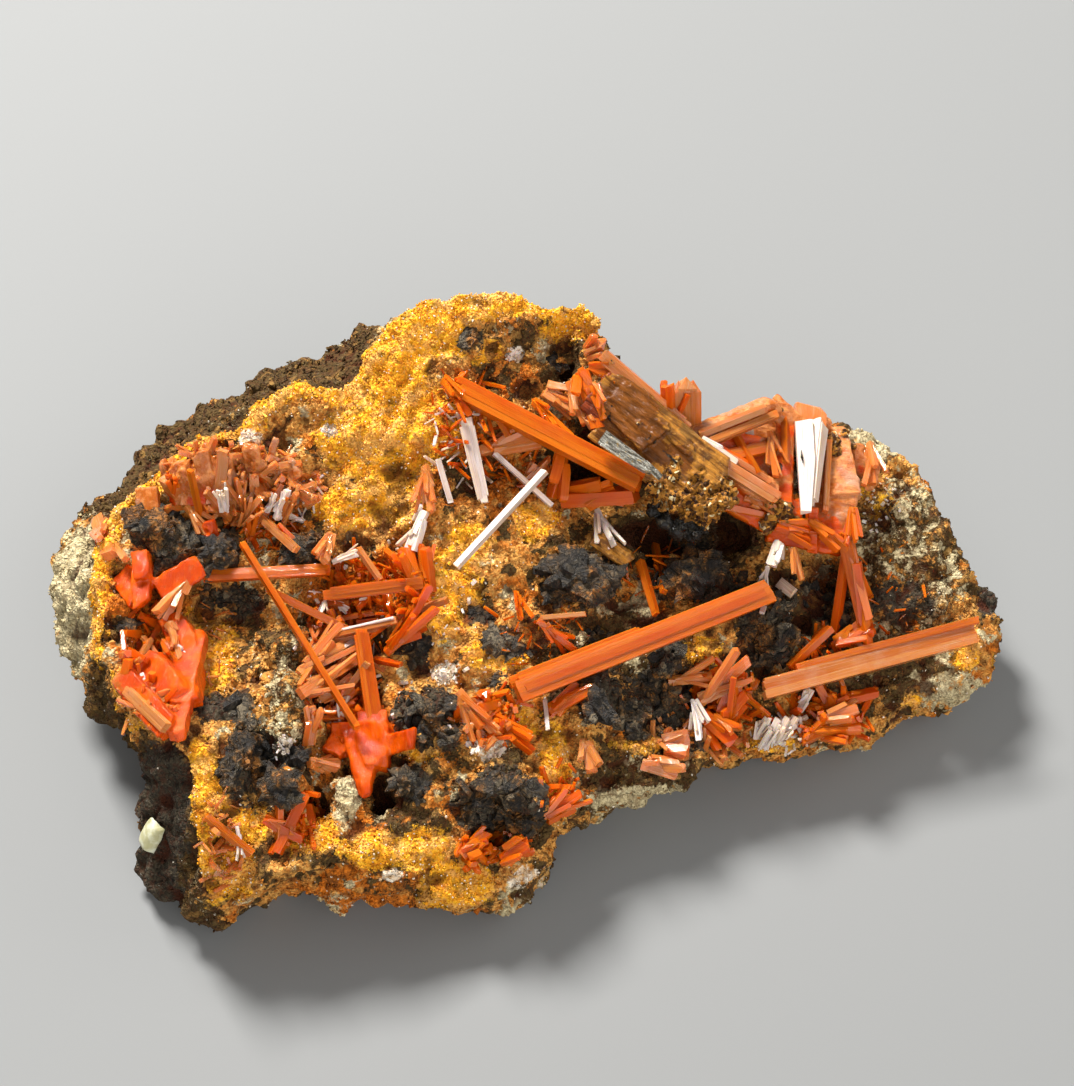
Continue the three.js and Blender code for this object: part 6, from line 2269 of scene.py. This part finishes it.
# What shows on the coated sheaf: pixel, height, half size
SHEAF_FILMS = {
    SLAB: (
        *streak((640, 384, 24.6), (700, 446, 22.3), 0.35, 16), (626, 398, 24.2, 1.2), (636, 414, 23.8, 1.3),
        (622, 420, 23.6, 1.1), (612, 432, 23.0, 0.9), (648, 432, 23.2, 1.0), (654, 450, 22.6, 0.8),
        (676, 460, 22.2, 0.9),
    ),
    OLIVE: ((632, 374, 25.0, 0.8), (648, 390, 24.4, 0.9), (662, 404, 23.8, 0.9), (690, 432, 22.6, 0.8)),
    EMBER: (
        (600, 364, 25.4, 0.9), (584, 392, 24.2, 0.9), (590, 416, 23.0, 0.8), (694, 516, 18.8, 0.7),
        (708, 520, 18.4, 0.7), (672, 512, 18.9, 0.5),
    ),
    CRUST: (
        (650, 486, 21.0, 0.5), (660, 491, 20.7, 0.6), (672, 496, 20.4, 0.6), (684, 500, 20.1, 0.7),
        (697, 504, 19.8, 0.8), (710, 504, 19.9, 0.8), (722, 500, 20.2, 0.8), (732, 496, 20.0, 0.6),
        (726, 486, 20.6, 0.6), (700, 513, 19.2, 0.8), (688, 509, 19.3, 0.7), (710, 516, 18.8, 0.8),
        (700, 525, 18.2, 0.8), (684, 518, 18.8, 0.7), (672, 506, 19.4, 0.6), (656, 500, 19.6, 0.6),
        (700, 474, 21.0, 0.5), (694, 488, 20.4, 0.6), (672, 474, 21.2, 0.5), (688, 448, 22.4, 0.4),
        (676, 462, 21.8, 0.35), (708, 488, 20.6, 0.5), (650, 412, 23.8, 0.3), (664, 430, 23.2, 0.3),
        (614, 362, 25.6, 0.5), (606, 356, 25.8, 0.4), (626, 370, 25.2, 0.3), (640, 424, 23.6, 0.25),
    ),
    SOOT: (
        # the streaks darken the cracks between the slabs as painted shade where the fused body closes the
        # gaps; the spots are black oxide
        *streak((618, 386, 24.7), (612, 406, 24.0), 0.13, 14),
        *streak((613, 402, 24.1), (608, 426, 23.3), 0.13, 16),
        *streak((648, 436, 23.1), (676, 462, 22.0), 0.14, 18),
        *streak((660, 400, 24.0), (690, 430, 22.8), 0.12, 20), (664, 522, 18.2, 0.8), (678, 531, 17.8, 0.9),
        (693, 535, 17.6, 0.8), (652, 511, 18.8, 0.6), (656, 418, 23.7, 0.3), (650, 438, 23.0, 0.35),
        (802, 455, 20.5, 0.39), (802, 448, 20.6, 0.39), (803, 463, 20.2, 0.39), (810, 435, 20.5, 0.39),
    ),
}

# What shows on the lobes of the east mass
EAST_FILMS = {
    EMBER: (
        (740, 452, 19.6, 1.4), (786, 436, 18.8, 0.9), (785, 470, 18.0, 0.9), (786, 500, 17.2, 0.9),
        (800, 535, 15.8, 1.6), (822, 540, 15.6, 1.4), (845, 548, 15.2, 1.2), (760, 515, 16.8, 1.2),
        (730, 500, 17.6, 1.2), (738, 426, 21.4, 0.7), (780, 535, 15.8, 1.0), (862, 470, 17.0, 0.5),
    ),
    CRUST: (
        (770, 500, 18.4, 0.5), (778, 508, 17.9, 0.6), (772, 518, 17.3, 0.6), (784, 520, 17.3, 0.5),
        (790, 512, 17.7, 0.5), (766, 528, 16.8, 0.5), (796, 522, 17.1, 0.4), (832, 440, 18.8, 0.5),
        (834, 450, 18.5, 0.45), (778, 410, 20.4, 0.4), (770, 404, 20.8, 0.35), (760, 408, 21.0, 0.3),
        (818, 470, 18.4, 0.3), (816, 490, 17.8, 0.3), (752, 470, 18.9, 0.3), (860, 530, 15.8, 0.4),
        (716, 441, 20.9, 0.3), (742, 431, 21.0, 0.25), (798, 412, 19.6, 0.35), (846, 436, 18.4, 0.39),
        (852, 445, 18.0, 0.35),
    ),
    SOOT: ((777, 468, 18.6, 0.35), (762, 436, 19.2, 0.38), (744, 440, 19.2, 0.38)),
}

# What shows on the lobes of the west pocket
WEST_FILMS = {
    EMBER: (
        (142, 590, 17.5, 3.2), (180, 575, 17.5, 1.6), (180, 650, 17.0, 3.4), (175, 710, 15.5, 3.4),
        (155, 690, 16.0, 2.0),
    ),
    SOOT: ((157, 642, 16.8, 0.38),),
}

# What shows on the red junction of the middle pocket
JUNCTION_FILMS = {
    EMBER: ((360, 745, 16.0, 6.0), (360, 790, 13.0, 4.0)),
}

# What shows on the clump of the north-west terrace
TERRACE_FILMS = {
    EMBER: (
        (186, 486, 18.0, 0.8), (208, 500, 17.6, 1.2), (232, 480, 18.0, 0.9), (262, 470, 18.4, 1.0),
        (212, 530, 16.8, 1.4), (290, 480, 18.2, 0.7), (166, 500, 18.0, 0.8),
    ),
}

FILMS = {
    "northwest_fan": {MASSIVE: TERRACE_FILMS},
    "northeast_sheaf": {COATED: SHEAF_FILMS, MASSIVE: EAST_FILMS},
    "west_pocket_lobes": {MASSIVE: WEST_FILMS},
    "middle_pocket_spray": {MASSIVE: JUNCTION_FILMS},
}

# Every crystal by the cluster it belongs to
CLUSTERS: dict[str, tuple[Prism, ...]] = {
    # the long prism that lies across the middle
    "long_prism_centre": (
        Prism(RED, rock(516, 692, 1.3), rock(772, 590, 3.4), 1.9, 1.8, roll=34, slopes=(0.2, 0.3)),
        Prism(RED, rock(510, 682, 1.1), rock(640, 632, 2.1), 0.9, 0.8, roll=24),
    ),
    # the long prism that lies along the east end
    "long_prism_east": (
        Prism(SALMON, rock(764, 690, 1.5), rock(974, 634, 2.0), 1.6, 1.5, roll=26, slopes=(0.1, -0.2)),
        Prism(RED, rock(796, 668, 1.9), rock(978, 620, 2.5), 0.8, 0.9, roll=30),
    ),
    # the sweep at the head of the slope, the coated sheaf over the hollow, and the cluster east of it
    "northeast_sheaf": (
        Prism(RED, rock(455, 387, 1.2), air(641, 483, 20.6), 1.8, 1.6, roll=10, taper=0.9),
        Prism(RED, rock(444, 380, 0.8), rock(471, 416, 1.4), 1.1, 0.7, taper=0.7),
        Prism(SALMON, rock(478, 452, 0.6), air(545, 434, 21.2), 1.2, 1.1, roll=20),
        Prism(RED, rock(487, 401, 1.5), rock(509, 436, 1.5), 0.6, 0.5),
        Prism(SALMON, rock(546, 392, 1.0), air(592, 420, 22.4), 1.6, 0.9, taper=0.3, base=1),
        Prism(RED, rock(534, 402, 0.8), air(572, 438, 21.8), 0.9, 0.7),
        Prism(RED, air(562, 452, 19.6), rock(553, 498, 1.0), 1.6, 1.2),
        Prism(RED, rock(562, 499, 1.2), air(640, 494, 18.6), 2.3, 1.8, roll=-35),
        Prism(SALMON, rock(587, 352, 0.5), air(604, 342, 26.2), 1.4, 1.4),
        Prism(RED, air(590, 366, 25.0), air(622, 378, 24.8), 1.4, 1.0),
        Prism(SALMON, air(602, 354, 26.0), air(688, 428, 22.6), 1.1, 1.2, roll=30),
        Prism(COATED, air(592, 392, 23.7), air(722, 486, 20.3), 4.4, 2.0, facing=BROAD, slopes=(0.6, 0)),
        Prism(COATED, air(608, 374, 24.7), air(706, 460, 21.6), 2.2, 1.8, facing=BROAD, slopes=(-0.5, 0)),
        Prism(COATED, air(598, 424, 22.4), air(700, 503, 19.4), 2.6, 1.8, facing=BROAD),
        Prism(COATED, air(614, 394, 24.2), air(658, 440, 22.9), 3.4, 1.4, facing=BROAD),
        Prism(RED, air(582, 372, 24.2), air(600, 432, 22.4), 1.9, 1.4, facing=BROAD),
        Prism(SALMON, air(570, 382, 23.4), air(586, 424, 22.4), 1.2, 1.0, facing=BROAD),
        Prism(RED, air(594, 386, 24.4), air(604, 420, 23.4), 0.9, 0.8, roll=30),
        Prism(COATED, air(634, 394, 24.6), air(692, 454, 22.4), 0.9, 0.8, facing=BROAD),
        Prism(COATED, air(664, 436, 22.8), air(716, 492, 20.4), 0.9, 0.8, facing=BROAD),
        Prism(PEWTER, air(602, 437, 23.9), air(652, 472, 22.3), 1.4, 0.9, BROAD, taper=0.7, single=True),
        Prism(PEWTER, air(645, 463, 22.5), air(661, 478, 22.0), 0.6, 0.5, facing=BROAD, single=True),
        Prism(SALMON, air(686, 440, 19.6), air(686, 386, 24.8), 1.9, 1.6, facing=TO_EYE, peak=1.0, roll=12),
        Prism(RED, air(669, 440, 20.2), air(668, 386, 25.0), 1.6, 1.3, facing=TO_EYE, roll=-20),
        Prism(MASSIVE, air(692, 438, 20.8), air(778, 404, 21.4), 1.8, 1.4, facing=TO_EYE, single=True),
        lump(air(770, 402, 20.6), air(800, 430, 19.2), 2.0, 1.6),
        lump(air(718, 442, 17.6), air(792, 428, 17.0), 3.2, 1.6),
        lump(air(712, 446, 19.4), air(786, 462, 17.6), 3.4, 2.0),
        Prism(MASSIVE, air(697, 448, 20.9), air(776, 499, 18.0), 2.6, 1.5, facing=GLINT, single=True),
        lump(air(722, 490, 18.2), air(780, 522, 15.8), 3.0, 1.8),
        lump(air(786, 414, 19.4), air(783, 520, 16.6), 1.6, 2.2),
        Prism(MASSIVE, air(796, 420, 18.4), air(830, 432, 18.2), 2.0, 1.6, facing=TO_EYE, single=True),
        lump(air(836, 430, 18.0), air(842, 500, 16.6), 3.2, 2.2, base=0.8, taper=1.1),
        lump(air(842, 480, 17.2), air(838, 552, 14.8), 3.2, 2.0, taper=0.7),
        lump(air(818, 440, 17.6), air(820, 545, 14.8), 2.4, 2.0),
        lump(air(852, 460, 16.4), air(880, 478, 15.4), 1.8, 1.4),
        lump(air(850, 452, 17.0), air(862, 450, 16.6), 1.4, 1.4),
        lump(air(768, 528, 15.8), air(846, 544, 14.4), 2.4, 1.8),
        lump(air(790, 500, 17.0), air(794, 546, 15.0), 1.8, 1.6),
        lump(air(813, 508, 17.6), air(812, 554, 15.0), 1.0, 1.0),
        Prism(SALMON, air(700, 452, 21.8), air(777, 500, 18.9), 1.1, 0.7, roll=4),
        Prism(SALMON, air(702, 440, 21.9), air(770, 482, 19.4), 0.7, 0.5, roll=4),
        # pale plates: partly painted glare on the white-silver faces
        Prism(SILKY, air(701, 441, 22.2), air(722, 452, 21.4), 1.0, 0.4, single=True),
        Prism(SILKY, air(716, 450, 21.6), air(736, 464, 20.8), 0.8, 0.4, single=True),
        Prism(SALMON, air(700, 434, 21.8), air(766, 408, 22.4), 0.7, 0.7, facing=TO_EYE),
        Prism(SALMON, air(706, 444, 21.4), air(778, 414, 21.6), 0.8, 0.7, roll=20),
        Prism(RED, air(718, 458, 20.6), air(776, 446, 19.6), 0.9, 0.7, roll=15),
        Prism(RED, air(734, 432, 20.6), air(758, 474, 19.9), 0.7, 0.6),
        Prism(SALMON, air(770, 432, 20.2), air(776, 478, 19.4), 0.8, 0.7, facing=BROAD),
        Prism(RED, air(724, 506, 18.2), air(768, 516, 17.2), 0.9, 0.7),
        Prism(SALMON, air(744, 498, 18.8), air(776, 508, 18.0), 0.7, 0.6),
        Prism(RED, air(785, 412, 20.3), air(786, 462, 19.4), 0.7, 0.6),
        Prism(SALMON, air(829, 440, 19.2), air(825, 512, 17.3), 0.6, 0.6),
        Prism(RED, air(852, 508, 17.4), air(846, 548, 16.2), 0.8, 0.7, facing=BROAD),
        Prism(RED, air(812, 522, 17.4), air(850, 550, 15.8), 1.1, 0.9),
        Prism(SALMON, air(868, 446, 17.0), air(872, 486, 16.2), 1.2, 0.9, facing=BROAD),
        Prism(RED, air(776, 526, 17.2), air(812, 540, 16.4), 0.9, 0.8),
        # the white tablet: partly painted glare, its faces also turned to the lamp
        Prism(SILKY, air(806, 513, 18.8), air(806, 424, 20.2), 2.0, 1.8, roll=11, base=0.45, single=True),
        Prism(SILKY, air(809, 505, 18.7), air(817, 424, 20.1), 1.3, 1.7, roll=-8, base=0.6, single=True),
        Prism(SALMON, air(808, 430, 19.2), air(810, 407, 19.8), 2.9, 1.4, facing=TO_EYE, single=True),
        Prism(COATED, air(801, 448, 20.7), air(803, 464, 20.3), 0.2, 0.3),
        Prism(COATED, air(812, 430, 20.6), air(808, 440, 20.4), 0.16, 0.2),
        Prism(SILKY, air(749, 430, 19.6), air(750, 440, 19.8), 0.8, 0.7, facing=BROAD, single=True),
        Prism(RED, air(846, 540, 16.2), rock(868, 634, 0.6), 1.7, 1.4, roll=20),
        Prism(SILKY, air(779, 543, 16.0), air(771, 566, 15.4), 1.3, 0.7),
        Prism(SILKY, air(768, 566, 14.6), rock(762, 590, 1.6), 0.45, 0.4),
        Prism(SILKY, rock(768, 592, 1.6), rock(762, 613, 1.2), 0.5, 0.4),
        Prism(SALMON, air(793, 548, 15.8), air(802, 581, 14.6), 0.9, 0.7, taper=0.7),
        Prism(RED, rock(836, 644, 0.8), rock(875, 629, 1.6), 1.3, 1.1),
    ),
    # a small prism beside the long one in the east
    "east_side_prism": (
        Prism(RED, rock(790, 667, 1.2), rock(831, 628, 1.8), 0.8, 0.7),
    ),
    # silky needles and blades of the upper middle
    "upper_needle": (
        Prism(SILKY, rock(456, 567, 1.2), rock(545, 471, 4.0), 0.65, 0.6),
        Prism(SILKY, rock(494, 453, 1.2), rock(552, 506, 2.0), 0.5, 0.45),
        Prism(SALMON, rock(521, 483, 1.0), rock(551, 457, 2.2), 0.8, 0.6),
        Prism(SILKY, rock(466, 418, 1.0), rock(485, 503, 1.8), 1.2, 0.7, taper=0.6),
        Prism(SILKY, rock(438, 459, 0.8), rock(451, 503, 1.2), 0.6, 0.5),
        Prism(SILKY, rock(425, 511, 0.9), rock(408, 550, 1.4), 1.0, 0.8),
        Prism(SALMON, rock(425, 466, 0.6), rock(432, 512, 1.2), 1.0, 0.6),
        Prism(SILKY, rock(597, 510, 1.8), rock(614, 546, 2.4), 0.75, 0.6),
    ),
    # prisms in the hollow under the sheaf
    "hollow_prism": (
        Prism(COATED, rock(595, 538, 1.4), rock(630, 562, 2.2), 1.3, 1.1, facing=BROAD),
        Prism(RED, rock(640, 561, 1.4), rock(656, 615, 1.4), 0.8, 0.7, taper=0.8),
        Prism(RED, rock(655, 545, 1.0), rock(664, 592, 1.6), 0.7, 0.6),
        Prism(SILKY, rock(780, 583, 0.8), rock(794, 594, 1.4), 1.0, 0.6, facing=BROAD, single=True),
    ),
    # fans and blades of the north-west terrace
    "northwest_fan": (
        Prism(MASSIVE, rock(188, 504, 0.0), rock(178, 462, 1.2), 2.8, 1.4, facing=BROAD),
        Prism(MASSIVE, rock(214, 512, 0.0), rock(200, 450, 1.8), 2.2, 1.4, facing=BROAD),
        Prism(MASSIVE, rock(196, 498, 0.2), rock(214, 470, 1.6), 1.8, 1.2, facing=BROAD),
        Prism(MASSIVE, rock(232, 500, 0.0), rock(226, 456, 1.4), 1.6, 1.0, facing=BROAD),
        Prism(MASSIVE, rock(258, 484, 0.0), rock(250, 446, 1.3), 2.2, 1.2, facing=BROAD),
        Prism(MASSIVE, rock(276, 486, 0.2), rock(300, 470, 1.2), 1.6, 1.1, facing=BROAD),
        lump(rock(150, 514, 0.1), rock(147, 488, 1.3), 2.0, 1.4),
        Prism(MASSIVE, rock(214, 542, 0.1), rock(208, 520, 1.0), 1.8, 1.2, facing=BROAD),
        Prism(SALMON, rock(220, 512, 0.3), rock(224, 450, 2.0), 0.9, 0.7, facing=BROAD),
        Prism(SALMON, rock(284, 476, 0.6), rock(312, 503, 1.4), 1.2, 0.9, facing=BROAD),
        Prism(SALMON, rock(262, 470, 0.5), rock(303, 462, 1.2), 0.9, 0.7),
        Prism(SILKY, rock(222, 512, 1.0), rock(218, 490, 2.2), 0.5, 0.4),
        Prism(SILKY, rock(227, 510, 1.0), rock(226, 488, 2.4), 0.45, 0.4),
        Prism(SILKY, rock(276, 519, 0.8), rock(288, 489, 2.4), 0.8, 0.6),
        Prism(SALMON, rock(284, 520, 0.8), rock(297, 492, 2.2), 0.7, 0.6),
        Prism(SILKY, rock(268, 512, 0.8), rock(276, 494, 1.8), 0.4, 0.3),
        Prism(RED, rock(262, 520, 0.4), rock(282, 484, 1.6), 0.6, 0.5),
        Prism(SALMON, rock(230, 520, 0.5), rock(206, 492, 2.0), 0.6, 0.5),
        Prism(SALMON, rock(244, 516, 0.5), rock(236, 478, 2.2), 0.7, 0.5),
        Prism(RED, rock(200, 516, 0.5), rock(190, 470, 2.2), 0.6, 0.5),
        Prism(SALMON, rock(270, 500, 0.5), rock(316, 484, 1.6), 0.6, 0.5),
        Prism(SALMON, rock(261, 517, 0.6), rock(297, 550, 1.2), 0.8, 0.6),
        Prism(SALMON, rock(186, 506, 0.6), rock(207, 537, 1.1), 0.8, 0.6),
        Prism(SALMON, rock(240, 524, 0.4), rock(262, 496, 1.6), 0.8, 0.6),
        Prism(RED, rock(250, 540, 0.3), rock(258, 508, 1.2), 0.7, 0.6),
        Prism(RED, rock(176, 500, 0.8), rock(168, 474, 1.8), 0.7, 0.6),
    ),
    # the blocky red lobes of the west pocket
    "west_pocket_lobes": (
        Prism(SALMON, rock(98, 519, 0.2), rock(110, 556, 0.7), 1.8, 1.2, facing=BROAD),
        lump(rock(142, 556, 0.4), rock(142, 616, 2.0), 2.9, 2.4, base=0.6, taper=0.5),
        lump(rock(124, 576, 0.4), rock(142, 602, 1.6), 2.2, 2.0),
        lump(rock(140, 552, 1.2), rock(144, 580, 2.0), 1.4, 1.4),
        lump(rock(158, 592, 1.2), rock(202, 566, 1.6), 2.2, 1.8),
        Prism(SALMON, rock(201, 566, 1.6), rock(155, 614, 2.2), 1.0, 0.9, roll=15),
        lump(rock(174, 618, 0.8), rock(194, 664, 1.8), 2.4, 2.0),
        lump(rock(192, 640, 1.0), rock(176, 742, 1.2), 3.2, 2.4, taper=0.4),
        lump(rock(148, 664, 0.8), rock(180, 700, 1.8), 3.0, 2.2),
        lump(rock(122, 676, 0.3), rock(170, 730, 0.9), 2.2, 1.4),
        lump(rock(194, 668, 0.8), rock(190, 706, 1.4), 1.8, 1.6),
        lump(rock(124, 664, 0.4), rock(150, 668, 1.2), 1.2, 1.0),
        Prism(SALMON, rock(126, 690, 0.8), rock(166, 728, 1.6), 0.9, 0.7, roll=30),
        # pale specks on the lobes: painted glints
        Prism(SILKY, rock(177, 646, 2.5), rock(183, 650, 2.7), 0.4, 0.3, single=True),
        Prism(SILKY, rock(184, 652, 2.5), rock(188, 657, 2.7), 0.35, 0.3, single=True),
        Prism(SILKY, rock(142, 674, 1.7), rock(145, 684, 1.9), 0.35, 0.3, single=True),
        Prism(SALMON, rock(170, 622, 1.8), rock(180, 660, 2.6), 0.7, 0.6),
        Prism(SALMON, rock(150, 640, 1.0), rock(138, 662, 1.6), 0.7, 0.5),
        Prism(RED, rock(164, 640, 1.4), rock(176, 668, 2.4), 0.8, 0.6),
        Prism(SALMON, rock(152, 700, 1.2), rock(176, 690, 2.4), 0.9, 0.6),
        Prism(SALMON, rock(143, 637, 0.8), rock(162, 662, 1.4), 0.5, 0.4),
        Prism(SALMON, rock(168, 626, 1.4), rock(188, 642, 2.0), 1.2, 1.0, facing=BROAD),
    ),
    # thin prisms that bridge the pockets
    "bridge_prism": (
        Prism(RED, rock(203, 577, 1.8), rock(330, 570, 1.8), 0.9, 0.85, roll=15),
        Prism(RED, rock(242, 543, 2.2), rock(357, 728, 5.2), 0.62, 0.6),
        Prism(RED, rock(268, 590, 2.2), rock(348, 630, 2.4), 0.8, 0.7),
    ),
    # the spray and the red junction of the middle pocket
    "middle_pocket_spray": (
        Prism(RED, rock(378, 740, 1.0), rock(361, 630, 4.2), 1.1, 1.0, roll=20, base=1.2),
        Prism(SALMON, rock(334, 635, 2.5), rock(397, 620, 2.3), 0.75, 0.6),
        Prism(SILKY, rock(338, 631, 2.8), rock(394, 618, 2.7), 0.25, 0.3),
        Prism(SALMON, rock(300, 694, 0.8), rock(362, 655, 2.0), 1.5, 0.9),
        Prism(SALMON, rock(298, 674, 0.8), rock(352, 641, 2.2), 1.3, 0.9),
        Prism(SALMON, rock(308, 654, 0.8), rock(340, 631, 2.0), 0.9, 0.7),
        Prism(RED, rock(386, 652, 1.2), rock(438, 607, 2.4), 1.1, 0.9),
        Prism(RED, rock(324, 595, 1.6), rock(424, 583, 1.6), 1.0, 0.8),
        Prism(RED, rock(428, 603, 0.6), rock(402, 547, 2.2), 1.2, 1.0),
        Prism(RED, rock(431, 592, 0.4), rock(425, 547, 2.0), 1.2, 1.0),
        Prism(SILKY, rock(332, 562, 1.6), rock(358, 551, 1.8), 0.6, 0.5),
        Prism(SALMON, rock(358, 548, 1.6), rock(381, 581, 2.0), 0.6, 0.5),
        Prism(SALMON, rock(330, 534, 0.8), rock(324, 562, 2.2), 1.0, 0.9),
        lump(rock(338, 740, 0.6), rock(392, 738, 1.2), 3.0, 2.2),
        lump(rock(364, 728, 1.6), rock(364, 808, 0.8), 3.8, 2.6, taper=0.15),
        lump(rock(374, 716, 1.0), rock(374, 770, 1.8), 2.6, 2.2),
        lump(rock(378, 748, 0.8), rock(414, 738, 1.2), 1.7, 1.3),
        lump(rock(352, 724, 0.6), rock(328, 756, 1.0), 2.0, 1.4),
        Prism(SALMON, rock(309, 744, 0.6), rock(312, 706, 2.0), 1.0, 0.8),
        Prism(SALMON, rock(309, 763, 1.0), rock(339, 763, 1.4), 1.1, 0.8),
        Prism(SILKY, rock(336, 726, 0.8), rock(347, 695, 2.2), 0.8, 0.6),
        Prism(SILKY, rock(326, 598, 1.0), rock(321, 614, 1.6), 0.35, 0.3),
        Prism(SILKY, rock(334, 601, 1.0), rock(347, 611, 1.4), 0.35, 0.3),
        Prism(SALMON, rock(320, 700, 0.8), rock(352, 676, 2.2), 0.9, 0.6),
        Prism(RED, rock(330, 715, 0.8), rock(356, 690, 1.8), 0.8, 0.6),
        Prism(RED, rock(352, 668, 0.8), rock(330, 610, 1.6), 0.7, 0.6),
        Prism(SILKY, rock(312, 668, 1.6), rock(356, 640, 2.8), 0.5, 0.4),
        Prism(SALMON, rock(340, 700, 1.6), rock(368, 662, 3.0), 0.7, 0.6),
        Prism(SALMON, rock(322, 646, 1.4), rock(378, 628, 2.2), 0.6, 0.5),
        Prism(RED, rock(392, 640, 1.0), rock(420, 600, 2.4), 0.7, 0.6),
        Prism(SALMON, rock(398, 616, 0.8), rock(448, 600, 1.8), 0.7, 0.6),
    ),
    # the south-west wing
    "southwest_wing_crystal": (
        Prism(RED, rock(205, 816, 0.4), rock(252, 854, 0.9), 0.8, 0.6),
        Prism(RED, rock(277, 853, 0.4), rock(306, 793, 1.8), 1.3, 1.1),
        Prism(RED, rock(264, 819, 1.2), rock(303, 840, 1.0), 1.1, 1.0),
        Prism(SILKY, rock(237, 826, 0.6), rock(243, 854, 1.2), 0.4, 0.3),
    ),
    # the south spur
    "south_spur_crystal": (
        Prism(SALMON, rock(458, 692, 0.6), rock(498, 738, 1.2), 1.4, 1.0, facing=BROAD),
        Prism(RED, rock(488, 718, 0.6), rock(534, 752, 1.0), 1.2, 0.9),
        Prism(RED, rock(503, 860, 0.5), rock(531, 842, 1.6), 1.7, 1.4, facing=BROAD),
        Prism(RED, rock(462, 856, 0.5), rock(489, 831, 1.5), 1.4, 1.1, facing=BROAD),
        Prism(RED, rock(546, 818, 0.5), rock(581, 793, 1.3), 1.1, 0.9),
    ),
    # splinters beside the long prism
    "middle_splinter": (
        Prism(SALMON, rock(540, 618, 0.8), rock(586, 614, 2.2), 0.5, 0.45),
        Prism(RED, rock(538, 620, 0.8), rock(577, 652, 1.2), 0.8, 0.7),
        Prism(RED, rock(550, 712, 0.6), rock(590, 690, 1.0), 1.3, 1.1),
        Prism(RED, rock(516, 592, 0.6), rock(521, 620, 1.2), 0.6, 0.5),
        Prism(SILKY, rock(545, 700, 0.8), rock(548, 730, 1.6), 0.4, 0.35),
        Prism(SALMON, rock(588, 742, 0.4), rock(592, 772, 1.0), 1.4, 0.9, facing=BROAD),
    ),
    # splayed blades of the south-east edge
    "southeast_splay": (
        Prism(SALMON, rock(696, 706, 0.8), rock(750, 659, 3.0), 1.4, 1.0, facing=BROAD),
        Prism(RED, rock(718, 728, 0.6), rock(741, 670, 2.6), 2.0, 0.9, facing=BROAD),
        Prism(RED, rock(702, 714, 0.8), rock(734, 743, 1.4), 1.9, 1.3, facing=BROAD),
        Prism(SILKY, rock(694, 703, 1.6), rock(699, 741, 1.8), 0.7, 0.6),
        Prism(SALMON, rock(668, 681, 0.8), rock(713, 677, 1.6), 1.1, 0.8),
        Prism(RED, rock(741, 692, 1.4), rock(769, 716, 1.6), 0.45, 0.4),
        Prism(SALMON, rock(664, 744, 0.3), rock(690, 738, 1.3), 2.5, 1.7, facing=BROAD),
        Prism(SALMON, rock(642, 763, 0.3), rock(678, 774, 1.2), 1.7, 1.0, facing=BROAD),
    ),
    # silky blades on the south-east edge
    "southeast_edge_blade": (
        Prism(SILKY, rock(757, 738, 0.7), rock(768, 717, 1.8), 0.8, 0.7),
        Prism(SILKY, rock(764, 749, 0.7), rock(779, 718, 1.8), 0.8, 0.7),
        Prism(SILKY, rock(774, 744, 0.7), rock(788, 717, 1.8), 0.8, 0.7),
        Prism(SILKY, rock(784, 738, 0.7), rock(797, 717, 1.6), 0.7, 0.6),
        Prism(SILKY, rock(799, 711, 0.7), rock(812, 689, 2.0), 0.7, 0.6),
    ),
    # curved prisms on the south-east edge
    "curved_prism": (
        Prism(RED, rock(800, 740, 0.3), rock(858, 716, 1.6), 1.5, 1.2, roll=15),
        Prism(SALMON, rock(818, 722, 0.6), rock(858, 708, 2.2), 1.3, 1.1),
        Prism(RED, rock(838, 701, 0.8), rock(878, 692, 1.4), 1.2, 1.0),
    ),
}


# Crumbs of each size: name, slot and whether they are earthy
CRUMBS = (
    Crumbs("earthy_ochre_crumbs", "earthy_ochre", True, large=0.28),
    Crumbs("rusty_crumbs", "gossan", False, seed=42),
    Crumbs("fine_ochre_crumbs", "earthy_ochre", True, seed=43, large=0.18),
    Crumbs("fine_rusty_crumbs", "gossan", False, seed=44, large=0.3),
)


def main() -> None:
    """Builds the specimen piece by piece."""
    logging.basicConfig(level=logging.INFO, format="%(message)s")
    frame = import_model()
    survey = Survey(tree_of(merged_copy(frame["nodes"]["gossan_matrix"], "plain_rock")))
    Studio().build()
    pieces = [GossanMatrix().build(frame, survey)]
    LOG.info("rock carved")
    finishes = [FINISHES[habit].make() for habit in HABITS]
    for seed, (name, prisms) in enumerate(CLUSTERS.items()):
        pieces += CrystalCluster(name, prisms, seed, FILMS.get(name, {})).build(frame, survey, finishes)
    LOG.info("crystals grown")
    pieces.append(ManganeseCrust(MASSES, CRAGS).build(survey))
    for habit, druses in DRUSES.items():
        small = SmallCrystals(f"small_{habit.value}_crystals", druses, DRUSE_SEED)
        pieces.append(small.build(survey, finishes[HABITS.index(habit)]))
    gossan = pieces[0].data.materials[0]
    for crumbs in CRUMBS:
        pieces.append(crumbs.build(pieces[0], gossan))
    pieces.append(PaleGrain().build(frame))
    for piece in pieces:
        LOG.info("%s: %d faces", piece.name, len(piece.data.polygons))


if __name__ == "__main__":
    main()
